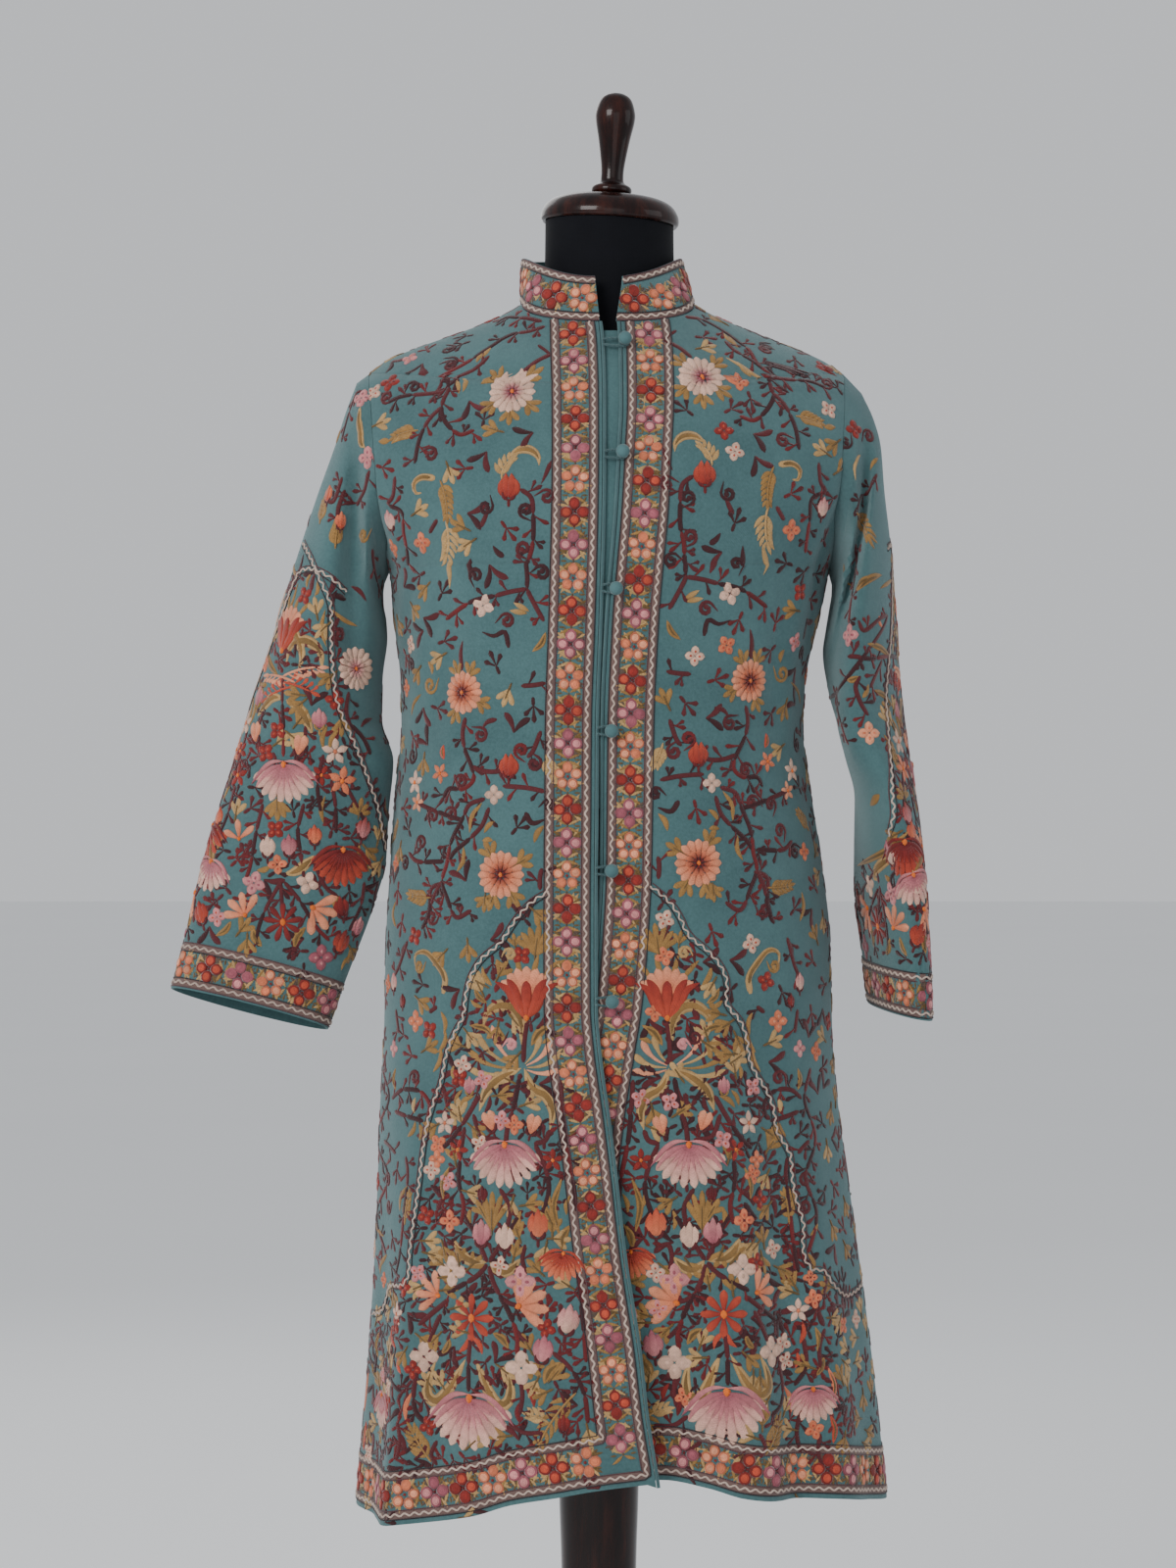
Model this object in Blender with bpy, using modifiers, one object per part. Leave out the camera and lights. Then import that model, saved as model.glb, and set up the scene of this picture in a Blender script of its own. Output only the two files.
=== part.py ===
"""Long embroidered wool jacket on a limbless dress form with a turned wooden stand.

Sizes in the tables are millimetres and degrees; the finished objects are in metres, +Z up.
The front of the jacket faces -Y. The origin is the centre of the stand's foot, on the floor.
Left and right are the wearer's: the right front lies on top and shows at -X.
"""

import math
from collections import namedtuple

import bmesh
import bpy
import numpy as np
from mathutils import Matrix, Vector

MM = 0.001

# Cloth
CLOTH = 2.0
SEAM_GAP = 0.3
ARMPIT_Z = 1200.0
SHOULDER_Z = 1378.0
NECK_SIDE_Z = 1440.0
NECK_FRONT_Z = 1416.0
NECK_BACK_Z = 1447.0
ARMHOLE_X_BOTTOM = 197.0
ARMHOLE_X_TOP = 212.2

# Grid of the panels
SKIRT_ROWS = 14
ARMHOLE_ROWS = 10
ARMPIT_DIP = 5.0
SHOULDER_SEAM_Z = (1394.0, 1405.0, 1415.0, 1426.0, NECK_SIDE_Z)
FRONT_COLUMNS = (0, 0.1, 0.2, 0.3, 0.38, 0.45, 0.52, 0.6, 0.68, 0.78, 0.89, 1)
BACK_COLUMNS = 20
RING_SIDES = 2 * ARMHOLE_ROWS

# Body of the jacket: horizontal sections, each a superellipse about (centre, 0)
Section = namedtuple("Section", "z centre half_width front back square")
BODY = (
    Section(340, 20.5, 241.0, 153, 151, 2.25),
    Section(401, 20.0, 235.4, 150, 147, 2.25),
    Section(482, 19.0, 227.7, 147, 143, 2.25),
    Section(570, 16.5, 219.0, 144, 139, 2.25),
    Section(657, 12.5, 211.0, 141, 136, 2.25),
    Section(728, 9.0, 205.0, 139, 134, 2.25),
    Section(787, 8.3, 201.0, 137, 132, 2.25),
    Section(868, 8.3, 199.3, 135, 128, 2.25),
    Section(949, 6.0, 192.5, 134, 118, 2.25),
    Section(1010, 3.5, 185.7, 133, 108, 2.25),
    Section(1060, 3.0, 180.0, 133, 102, 2.3),
    Section(1101, 3.7, 181.5, 135, 102, 2.3),
    Section(1164, 7.0, 191.8, 139, 106, 2.3),
    Section(1200, 9.0, 197.0, 141, 109, 2.3),
    Section(1220, 9.0, 205.0, 141, 110, 2.3),
    Section(1250, 9.0, 219.0, 139, 112, 2.3),
    Section(1280, 8.5, 232.0, 134, 112, 2.3),
    Section(1310, 8.0, 238.0, 125, 110, 2.25),
    Section(1335, 8.0, 240.0, 115, 104, 2.1),
    Section(1360, 7.0, 235.0, 104, 94, 1.95),
    Section(1378, 6.5, 212.2, 97, 86, 1.85),
    Section(1390, 5.0, 195.5, 91, 79, 1.75),
    Section(1400, 5.0, 171.5, 87, 75, 1.7),
    Section(1410, 7.0, 145.5, 83, 71, 1.7),
    Section(1420, 8.0, 118.0, 80, 68, 1.8),
    Section(1430, 8.0, 94.5, 79, 66, 1.9),
    Section(1440, 8.0, 77.5, 78, 64, 2.0),
    Section(1465, 8.0, 68.0, 78, 62, 2.0),
)

# Height of the hem by the angle round the body, 0 at the centre front and positive to +X
Hem = namedtuple("Hem", "angle z")
HEM = (
    Hem(-180, 372),
    Hem(-130, 370),
    Hem(-90, 366),
    Hem(-55, 363),
    Hem(-48, 366),
    Hem(-30, 377),
    Hem(-21, 388),
    Hem(-11, 396),
    Hem(-3, 403),
    Hem(6, 408),
    Hem(16, 402),
    Hem(22, 395),
    Hem(30, 391),
    Hem(47, 388),
    Hem(65, 380),
    Hem(90, 372),
    Hem(130, 372),
    Hem(180, 372),
)

# Largest folds: rise is outwards at the hem and fades to nothing at the height top
Fold = namedtuple("Fold", "angle width top rise")
FOLDS = (
    Fold(-53, 7, 760, 13),
    Fold(-74, 9, 800, -9),
    Fold(-4, 12, 820, 6),
    Fold(26, 9, 900, 11),
    Fold(39, 6, 820, -11),
    Fold(52, 8, 900, 7),
    Fold(70, 9, 760, -5),
    Fold(112, 9, 860, 8),
    Fold(131, 9, 900, -8),
    Fold(152, 10, 940, 9),
    Fold(174, 10, 900, -9),
    Fold(-112, 9, 840, -7),
    Fold(-133, 10, 920, 9),
    Fold(-156, 10, 900, -7),
)

# Front edges, and how far the left front is tucked under the right one
Edge = namedtuple("Edge", "z right_x left_x tuck")
EDGES = (
    Edge(340, 60, -56, 25),
    Edge(408, 52, -50, 22),
    Edge(465, 43, -46, 19),
    Edge(522, 36.5, -42, 17),
    Edge(603, 24, -37, 14),
    Edge(672, 16, -30, 11),
    Edge(716, 10.5, -25, 9),
    Edge(785, 1.3, -14, 6.5),
    Edge(816, -1, -9, 5.6),
    Edge(880, -1.2, -3, 4.8),
    Edge(935, -1, 0, 4.3),
    Edge(980, -0.5, 0.4, 4),
    Edge(1060, 0, 0.9, 1.6),
    Edge(1150, 3, 4.6, 0),
    Edge(1200, 4.5, 8.6, 0),
    Edge(1243, 5.6, 12.3, 0),
    Edge(1300, 6.2, 15.5, 0),
    Edge(1345, 6.2, 17.5, 0),
    Edge(1395, 5, 17, 0),
    Edge(1430, 1, 14.5, 0),
)
TUCK_FULL_ANGLE = 7.0
TUCK_END_ANGLE = 24.0

# Piping along the front edges
PIPING_RADIUS = 1.6

# Placket behind the front opening
PLACKET_HALF_WIDTH = 15.0
PLACKET_WALL = 1.0
PLACKET_TOP_Z = 1410.0
PLACKET_BOTTOM_Z = 985.0
PLACKET_SET_BACK = 0.5

# Buttons and loops
Button = namedtuple("Button", "z x")
BUTTONS = (
    Button(1396, 22),
    Button(1294.5, 20.3),
    Button(1179, 14.5),
    Button(1056, 10.6),
    Button(935, 10.8),
    Button(822, 11.2),
)
BUTTON_RADIUS = 6.0
BUTTON_CENTRE = 9.4
SHANK_RADIUS = 1.8
LOOP_RADIUS = 1.2
LOOP_TURN = 3.6
LOOP_LEVEL = 1.8
LOOP_ROOT_LEVEL = 2.9

# Collar: a stand band over the neckline
COLLAR_HEIGHT = 41.0
COLLAR_ROWS = 2
COLLAR_COLUMNS = 28
COLLAR_TOP_HALF_WIDTH = 71.3
COLLAR_TOP_CENTRE = 2.6
COLLAR_TOP_FRONT = 72.0
COLLAR_TOP_BACK = 62.0
COLLAR_EDGE_BASE_X = (0.6, 14.8)
COLLAR_EDGE_TOP_X = (-3.7, 21.3)

# Sleeves: rings given by their outer and inner points in the front view. depth is half the
# ring's size along Y, twist turns its front towards +X, groove is a fold pressed inwards
Ring = namedtuple(
    "Ring", "outer_x outer_z inner_x inner_z depth centre_y twist drop groove groove_at"
)
RIGHT_SLEEVE = (
    Ring(-216.5, 1369, -192.3, 1189.5, 69, -6, 0, 0, 5, 80),
    Ring(-226, 1344, -193.5, 1180, 70, -6, 0, 0, 13, 82),
    Ring(-236, 1313, -193.0, 1169, 70, -6, 0, 0, 17, 88),
    Ring(-251, 1271, -190.5, 1156, 69, -7, 0, 0, 17, 98),
    Ring(-266.5, 1224, -189.5, 1139, 68, -9, 0, 0, 12, 108),
    Ring(-280, 1181, -193.5, 1105, 65, -12, 0, 0, 6, 120),
    Ring(-296.5, 1124, -194.5, 1068, 60, -15, 0, 0, 0, 120),
    Ring(-313, 1073, -183.5, 1030, 52, -18, 0, 0, 0, 120),
    Ring(-328, 1023, -187.5, 984, 44, -21, 0, 2, 0, 120),
    Ring(-343, 974, -189.5, 944, 38, -24, 0, 4, 0, 120),
    Ring(-356.5, 926, -199.5, 905, 34, -26, 0, 6, 0, 120),
    Ring(-370.5, 867, -226.0, 834, 32, -28, 0, 10, 0, 120),
    Ring(-381, 828, -241.0, 792, 30, -30, 0, 13, 0, 120),
)
LEFT_SLEEVE = (
    Ring(235, 1360, 209.5, 1187, 69, -6, 0, 0, 5, 50),
    Ring(245.5, 1337, 209.0, 1176, 71, -6, -4, 0, 14, 55),
    Ring(252, 1313, 206.5, 1162, 73, -6, -7, 0, 18, 72),
    Ring(255.5, 1274, 203.5, 1146, 75, -6, -10, 0, 18, 96),
    Ring(261, 1230, 200.5, 1126, 78, -7, -12, 0, 14, 120),
    Ring(266, 1177, 203.0, 1098, 80, -8, -14, 0, 7, 140),
    Ring(271, 1115, 209.5, 1066, 80, -9, -16, 0, 0, 140),
    Ring(276.5, 1058, 219.5, 1031, 80, -10, -10, 0, 0, 140),
    Ring(282, 1010, 229.0, 997, 79, -10, -2, 0, 0, 140),
    Ring(286, 963, 230.5, 950, 78, -10, 8, -2, 0, 140),
    Ring(289, 923, 231.5, 917, 77, -10, 13, -3, 0, 140),
    Ring(291.5, 877, 236.0, 878, 75, -10, 13, -4, 0, 140),
    Ring(294, 838, 240.0, 843, 72, -10, 14, -5, 0, 140),
    Ring(294.5, 804, 244.0, 810, 70, -10, 15, -6, 0, 140),
)
GROOVE_WIDTH = 20.0

# Dress form: sections of its own, its shoulder line just under the cloth
FORM = (
    Section(800, 3.0, 142, 86, 98, 2.2),
    Section(870, 3.0, 150, 92, 104, 2.2),
    Section(950, 3.0, 142, 92, 94, 2.2),
    Section(1010, 3.0, 128, 88, 82, 2.2),
    Section(1060, 3.0, 121, 88, 75, 2.2),
    Section(1120, 4.0, 129, 98, 80, 2.2),
    Section(1200, 7.0, 152, 116, 90, 2.2),
    Section(1260, 8.0, 170, 114, 95, 2.2),
    Section(1310, 8.0, 179, 101, 93, 2.1),
    Section(1345, 7.0, 185, 91, 86, 2.0),
    Section(1372, 6.0, 188, 82, 76, 1.85),
)
FORM_NECK = (
    Section(1438, 8.5, 71, 60, 55, 2.0),
    Section(1452, 9.0, 61, 58, 54, 2.0),
    Section(1475, 9.5, 58, 57.5, 54, 2.0),
    Section(1512, 9.5, 57.5, 57.5, 54, 2.0),
)
FORM_SIDES = 32
FORM_UNDER_SHOULDER = 2.8
FORM_BEHIND_FRONT = 17.0
FORM_BEHIND_BACK = 17.0

# Neck cap, finial and stand, turned from wood: profiles of (radius, height)
WOOD_SIDES = 24
CAP_CENTRE = (9.7, 1.0, 1512.35)
CAP_TILT = 3.0
CAP_PROFILE = ((60, 0), (62, 3), (61, 10), (55, 18), (43, 23), (20, 25), (0, 25))
FINIAL_BASE = 25.3
FINIAL_PROFILE = (
    (12, 0),
    (17.5, 3),
    (17.5, 8),
    (11.5, 12),
    (10.2, 17),
    (10.7, 28),
    (14.2, 50),
    (17.6, 67),
    (17.6, 76),
    (13.8, 87),
    (7.5, 91.8),
    (0, 93),
)
FOOT_RADIUS = 195.0
FOOT_PROFILE = (
    (FOOT_RADIUS - 3, 0),
    (FOOT_RADIUS, 4),
    (FOOT_RADIUS, 16),
    (FOOT_RADIUS - 10, 24),
    (120, 31),
    (62, 38),
    (0, 38),
)
POLE_BOTTOM_Z = 38.3
POLE_PROFILE = (
    (46, 0),
    (46, 14),
    (33, 30),
    (31, 90),
    (33.5, 262),
    (35.5, 330),
    (35.5, 372),
    (27, 392),
    (19, 405),
    (19, 761.4),
)

BLACK_JERSEY = ("black_jersey", (0.012, 0.013, 0.016), 0.85, 0.0)
DARK_WOOD = ("dark_mahogany", (0.035, 0.009, 0.008), 0.18, 0.0)
TEAL_WOOL = ("teal_wool", (0.085, 0.19, 0.195), 0.9, 0.0)
TEAL_BINDING = ("teal_binding", (0.09, 0.21, 0.22), 0.85, 0.0)


def material_of(finish):
    """A Principled material from (name, colour, roughness, metallic), made once."""
    name, colour, roughness, metallic = finish
    found = bpy.data.materials.get(name)
    if found:
        return found
    made = bpy.data.materials.new(name)
    made.use_nodes = True
    shader = made.node_tree.nodes["Principled BSDF"]
    shader.inputs["Base Color"].default_value = (*colour, 1.0)
    shader.inputs["Roughness"].default_value = roughness
    shader.inputs["Metallic"].default_value = metallic
    return made


def smooth_table(rows, at):
    """All columns but the first of a table of rows, on a smooth curve through them."""
    table = np.array(rows, float)
    x, y = table[:, 0], table[:, 1:]
    at = np.clip(at, x[0], x[-1])
    slope = np.diff(y, axis=0) / np.diff(x)[:, None]
    left, right = slope[:-1], slope[1:]
    same_way = left * right > 0
    total = np.where(same_way, left + right, 1.0)
    middle = np.where(same_way, 2 * left * right / total, 0.0)
    tangent = np.vstack([slope[:1], middle, slope[-1:]])
    i = np.clip(np.searchsorted(x, at, side="right") - 1, 0, len(x) - 2)
    h = x[i + 1] - x[i]
    t = (at - x[i]) / h
    h00 = (1 + 2 * t) * (1 - t) ** 2
    h01 = t * t * (3 - 2 * t)
    h10 = t * (1 - t) ** 2 * h
    h11 = t * t * (t - 1) * h
    return h00 * y[i] + h01 * y[i + 1] + h10 * tangent[i] + h11 * tangent[i + 1]


def section_point(row, angle):
    """The point of a section at an angle from the front, positive to +X, flat in its plane."""
    centre, half_width, front, back, square = row
    turn = math.radians(angle)
    depth = front if math.cos(turn) > 0 else back
    power = 2 / square
    x = centre + half_width * math.copysign(abs(math.sin(turn)) ** power, math.sin(turn))
    y = -depth * math.copysign(abs(math.cos(turn)) ** power, math.cos(turn))
    return x, y


def fold_rise(angle, z):
    """How far the folds stand out from the plain section, in mm."""
    rise = 0.0
    for fold in FOLDS:
        away = (angle - fold.angle + 180) % 360 - 180
        reach = min(max((fold.top - z) / (fold.top - 380), 0), 1.15)
        rise += fold.rise * reach * math.exp(-((away / fold.width) ** 2))
    return rise


def tuck_of(angle, z):
    """How far the left front lies inside the plain section near the opening."""
    share = (TUCK_END_ANGLE - angle) / (TUCK_END_ANGLE - TUCK_FULL_ANGLE)
    share = min(max(share, 0), 1)
    return smooth_table(EDGES, z)[2] * share * share * (3 - 2 * share)


def body_point(angle, z, tucked=False):
    """A point of the jacket's outer surface, in mm."""
    x, y = section_point(smooth_table(BODY, z), angle)
    out = fold_rise(angle, z) - (tuck_of(angle, z) if tucked else 0)
    turn = math.radians(angle)
    return np.array([x + out * math.sin(turn), y - out * math.cos(turn), z])


def body_normal(angle, z, tucked=False):
    """The outward normal of the jacket's surface."""
    across = body_point(angle + 1, z, tucked) - body_point(angle - 1, z, tucked)
    up = body_point(angle, z + 2, tucked) - body_point(angle, z - 2, tucked)
    normal = np.cross(across, up)
    return normal / np.linalg.norm(normal)


def armhole_angle(z):
    """The angle at which the armhole cuts a section, or 90 where there is no armhole."""
    if not ARMPIT_Z < z < SHOULDER_Z:
        return 90.0
    share = (z - ARMPIT_Z) / (SHOULDER_Z - ARMPIT_Z)
    armhole_x = ARMHOLE_X_BOTTOM + share * (ARMHOLE_X_TOP - ARMHOLE_X_BOTTOM)
    _, half_width, _, _, square = smooth_table(BODY, z)
    return math.degrees(math.asin(min(armhole_x / half_width, 1) ** (square / 2)))


def opening_heights():
    """Heights of the panels' rows at the opening, from the hem to the neckline."""
    hem = hem_height(0.0)
    skirt = [hem + (ARMPIT_Z - hem) * row / SKIRT_ROWS for row in range(SKIRT_ROWS)]
    above = range(len(side_heights()))
    return skirt + [row_height(row, NECK_FRONT_Z, 0.0) for row in above]


def edge_angle(z, x):
    """The angle at which a front edge at x cuts a section."""
    centre, half_width, _, _, square = smooth_table(BODY, z)
    share = (x - centre) / half_width
    return math.degrees(math.copysign(math.asin(abs(share) ** (square / 2)), share))


def side_heights():
    """Heights of the panels' rows at the side above the armpit."""
    middle, half = (ARMPIT_Z + SHOULDER_Z) / 2, (SHOULDER_Z - ARMPIT_Z) / 2
    armhole = [
        middle - half * math.cos(math.pi * k / ARMHOLE_ROWS)
        for k in range(ARMHOLE_ROWS + 1)
    ]
    return [*armhole, *SHOULDER_SEAM_Z]


def row_height(row, middle_z, across):
    """Height of a row above the armpit, across running from 0 at the middle to 1 at the side."""
    sides = side_heights()
    side_z = sides[row]
    if across < 1 and row == 0:
        side_z = ARMPIT_Z - ARMPIT_DIP
    elif across < 1 and row < len(sides) - 1:
        side_z = (sides[row - 1] + sides[row + 1]) / 2
    share = (side_z - ARMPIT_Z) / (NECK_SIDE_Z - ARMPIT_Z)
    at_middle = ARMPIT_Z + share * (middle_z - ARMPIT_Z)
    return side_z - (side_z - at_middle) * math.cos(across * math.pi / 2) ** 2


def hem_height(angle):
    """Height of the hem at an angle round the body."""
    return smooth_table(HEM, angle)[0]


def pulled_in(grid, rows=True, columns=True):
    """The grid with its outer edge drawn in by half a seam gap."""
    grid = grid.copy()
    moves = []
    if rows:
        moves += [(grid[0], grid[1]), (grid[-1], grid[-2])]
    if columns:
        moves += [(grid[:, 0], grid[:, 1]), (grid[:, -1], grid[:, -2])]
    for edge, inside in moves:
        way = inside - edge
        edge += way / np.linalg.norm(way, axis=-1, keepdims=True) * SEAM_GAP / 2
    return grid


def panel_grids(angles_of, heights_of, count, tucked=False):
    """Outer and inner points of a panel, row by row from the hem to the neckline."""
    sides = side_heights()
    outer, normals = [], []
    for row in range(SKIRT_ROWS + len(sides)):
        points, ways = [], []
        for column in range(count):
            angle, z = angles_of(row, column), heights_of(row, column)
            points.append(body_point(angle, z, tucked))
            ways.append(body_normal(angle, z, tucked))
        outer.append(points)
        normals.append(ways)
    outer, normals = np.array(outer), np.array(normals)
    return pulled_in(outer), pulled_in(outer - CLOTH * normals)


def lofted_wall(name, outer, inner, finish, ring=False):
    """A closed wall between two grids of points. ring joins the ends of each row."""
    rows, columns = outer.shape[:2]
    mesh = bpy.data.meshes.new(name)
    shape = bmesh.new()
    skins = [
        [[shape.verts.new(Vector(p) * MM) for p in row] for row in grid]
        for grid in (outer, inner)
    ]
    steps = columns if ring else columns - 1
    for skin in skins:
        for i in range(rows - 1):
            for j in range(steps):
                k = (j + 1) % columns
                shape.faces.new((skin[i][j], skin[i][k], skin[i + 1][k], skin[i + 1][j]))
    front, back = skins
    for i in (0, rows - 1):
        for j in range(steps):
            k = (j + 1) % columns
            shape.faces.new((front[i][j], front[i][k], back[i][k], back[i][j]))
    for j in () if ring else (0, columns - 1):
        for i in range(rows - 1):
            shape.faces.new((front[i][j], front[i + 1][j], back[i + 1][j], back[i][j]))
    bmesh.ops.recalc_face_normals(shape, faces=shape.faces)
    shape.to_mesh(mesh)
    shape.free()
    return placed(name, mesh, finish)


def placed(name, data, finish):
    """A new object of the jacket's collection, smooth shaded where it is a mesh."""
    made = bpy.data.objects.new(name, data)
    data.materials.append(material_of(finish))
    bpy.data.collections["long_jacket"].objects.link(made)
    if isinstance(data, bpy.types.Mesh):
        data.shade_smooth()
        data.set_sharp_from_angle(angle=math.radians(40))
    return made


def tube(name, points, radius, finish, resolution=1):
    """A round cord along points in mm."""
    curve = bpy.data.curves.new(name, "CURVE")
    curve.dimensions = "3D"
    curve.bevel_depth = radius * MM
    curve.bevel_resolution = resolution
    curve.use_fill_caps = True
    spline = curve.splines.new("POLY")
    spline.points.add(len(points) - 1)
    for target, point in zip(spline.points, points):
        target.co = (*(Vector(point) * MM), 1.0)
    return placed(name, curve, finish)


def turned(name, profile, centre, finish, sides=WOOD_SIDES, tilt=0.0):
    """A turned solid: profile of (radius, height) from the foot up, about Z at centre."""
    outline = [(r, h) for r, h in profile]
    if outline[0][0] > 0:
        outline.insert(0, (0, outline[0][1]))
    if outline[-1][0] > 0:
        outline.append((0, outline[-1][1]))
    mesh = bpy.data.meshes.new(name)
    points = [(r * MM, 0, h * MM) for r, h in reversed(outline)]
    mesh.from_pydata(points, [(i, i + 1) for i in range(len(points) - 1)], [])
    made = placed(name, mesh, finish)
    screw = made.modifiers.new("Turning", "SCREW")
    screw.steps = screw.render_steps = sides
    screw.use_merge_vertices = True
    screw.merge_threshold = 0.00001
    made.location = Vector(centre) * MM
    made.rotation_euler = (0, math.radians(tilt), 0)
    return made


def panel_start(z, right):
    """The angle at which a front begins, beside its piping."""
    sign = -1 if right else 1
    edge_x = smooth_table(EDGES, z)[0 if right else 1]
    return edge_angle(z, edge_x + sign * (2 * PIPING_RADIUS + SEAM_GAP))


def front_panel(name, right):
    """One front of the jacket, from its edge at the opening to the side seam."""
    sign = -1 if right else 1
    sides = side_heights()
    armpit_row = SKIRT_ROWS

    def height(row, column):
        across = FRONT_COLUMNS[column]
        if row >= armpit_row:
            return row_height(row - armpit_row, NECK_FRONT_Z, across)
        edge_x = smooth_table(EDGES, hem_height(0.0))[0 if right else 1]
        start = edge_angle(hem_height(0.0), edge_x)
        hem = hem_height(start + across * (sign * 90 - start)) if across else None
        hem = hem or hem_height(0.0)
        return hem + (ARMPIT_Z - hem) * row / SKIRT_ROWS

    def angle(row, column):
        across = FRONT_COLUMNS[column]
        z = height(row, 0)
        start = panel_start(z, right)
        end = 90.0 if row < armpit_row else armhole_angle(sides[row - armpit_row])
        return start + across * (sign * end - start)

    outer, inner = panel_grids(angle, height, len(FRONT_COLUMNS), tucked=not right)
    return lofted_wall(name, outer, inner, TEAL_WOOL)


def back_panel():
    """The back of the jacket, from side seam to side seam."""
    sides = side_heights()

    def height(row, column):
        across = 2 * column / BACK_COLUMNS - 1
        if row >= SKIRT_ROWS:
            return row_height(row - SKIRT_ROWS, NECK_BACK_Z, abs(across))
        angle_here = 180 - 90 * abs(across)
        hem = hem_height(math.copysign(angle_here, across))
        return hem + (ARMPIT_Z - hem) * row / SKIRT_ROWS

    def angle(row, column):
        across = 2 * column / BACK_COLUMNS - 1
        side = 90.0 if row < SKIRT_ROWS else armhole_angle(sides[row - SKIRT_ROWS])
        return 180 - across * side

    outer, inner = panel_grids(angle, height, BACK_COLUMNS + 1)
    return lofted_wall("back", outer, inner, TEAL_WOOL)


def armhole_ring(sign):
    """Points of an armhole, from the shoulder down the front and up the back, and the
    directions that point out of the panels into the opening."""
    heights = side_heights()[: ARMHOLE_ROWS + 1]
    front = [(sign * armhole_angle(z), z) for z in reversed(heights)]
    back = [(sign * (180 - armhole_angle(z)), z) for z in heights[1:-1]]
    around = front + back
    outer = np.array([body_point(a, z) for a, z in around])
    normal = np.array([body_normal(a, z) for a, z in around])
    tangent = np.roll(outer, -1, axis=0) - np.roll(outer, 1, axis=0)
    away = np.cross(tangent, normal)
    away /= np.linalg.norm(away, axis=-1, keepdims=True)
    towards = outer.mean(axis=0) - outer
    away *= np.sign(np.sum(away * towards, axis=-1, keepdims=True))
    return outer, away


def sleeve_ring(ring, sign):
    """Points of one ring of a sleeve, starting at its outer side and passing the front."""
    outer_point = np.array([ring.outer_x, 0, ring.outer_z])
    inner_point = np.array([ring.inner_x, 0, ring.inner_z])
    middle = (outer_point + inner_point) / 2 + np.array([0, ring.centre_y, 0])
    reach = np.linalg.norm(outer_point - inner_point) / 2
    outwards = (outer_point - inner_point) / (2 * reach)
    twist = math.radians(ring.twist) * sign
    deep = ring.depth
    thin = math.sqrt(max(reach**2 - (deep * math.sin(twist)) ** 2, 1)) / math.cos(twist)
    points = []
    for j in range(RING_SIDES):
        turn = 2 * math.pi * j / RING_SIDES
        away = math.degrees(turn) - ring.groove_at
        shrink = ring.groove * math.exp(-((away / GROOVE_WIDTH) ** 2))
        wide = (thin - shrink * abs(math.cos(turn))) * math.cos(turn)
        front = (deep - shrink * abs(math.sin(turn))) * math.sin(turn)
        out = wide * math.cos(twist) + front * math.sin(twist)
        forward = front * math.cos(twist) - wide * math.sin(twist)
        point = middle + outwards * out + np.array([0, -forward, 0])
        point[2] += ring.drop * forward / deep / 2
        points.append(point)
    return np.array(points)


def ring_normals(rings):
    """Outward normals of a tube of rings."""
    around = np.roll(rings, -1, axis=1) - np.roll(rings, 1, axis=1)
    along = np.gradient(rings, axis=0)
    normal = np.cross(around, along)
    normal /= np.linalg.norm(normal, axis=-1, keepdims=True)
    middle = rings.mean(axis=1, keepdims=True)
    facing = np.sum(normal * (rings - middle), axis=(1, 2))
    return normal * np.sign(facing)[:, None, None]


def sleeve(name, table, sign):
    """A set-in sleeve, from the armhole seam to the cuff."""
    edge, away = armhole_ring(sign)
    rings = np.array([edge + SEAM_GAP * away] + [sleeve_ring(row, sign) for row in table])
    inwards = -CLOTH * ring_normals(rings)
    into_panel = np.minimum(np.sum(inwards[0] * away, axis=-1, keepdims=True), 0)
    inwards[0] -= into_panel * away
    return lofted_wall(name, rings, rings + inwards, TEAL_WOOL, ring=True)


def neck_height(angle):
    """Height of the neckline at an angle round the body."""
    turn = abs((angle + 180) % 360 - 180)
    if turn > 90:
        return row_height(len(side_heights()) - 1, NECK_BACK_Z, (180 - turn) / 90)
    right = (angle + 180) % 360 - 180 < 0
    start = panel_start(NECK_FRONT_Z, right)
    across = (turn - abs(start)) / (90 - abs(start))
    return row_height(len(side_heights()) - 1, NECK_FRONT_Z, max(across, 0))


def neck_angles():
    """Angles of the collar's columns, from the right front edge round the back."""
    first = edge_angle(NECK_FRONT_Z, COLLAR_EDGE_BASE_X[0])
    last = edge_angle(NECK_FRONT_Z, COLLAR_EDGE_BASE_X[1])
    return np.linspace(first, last - 360, COLLAR_COLUMNS + 1)


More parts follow.
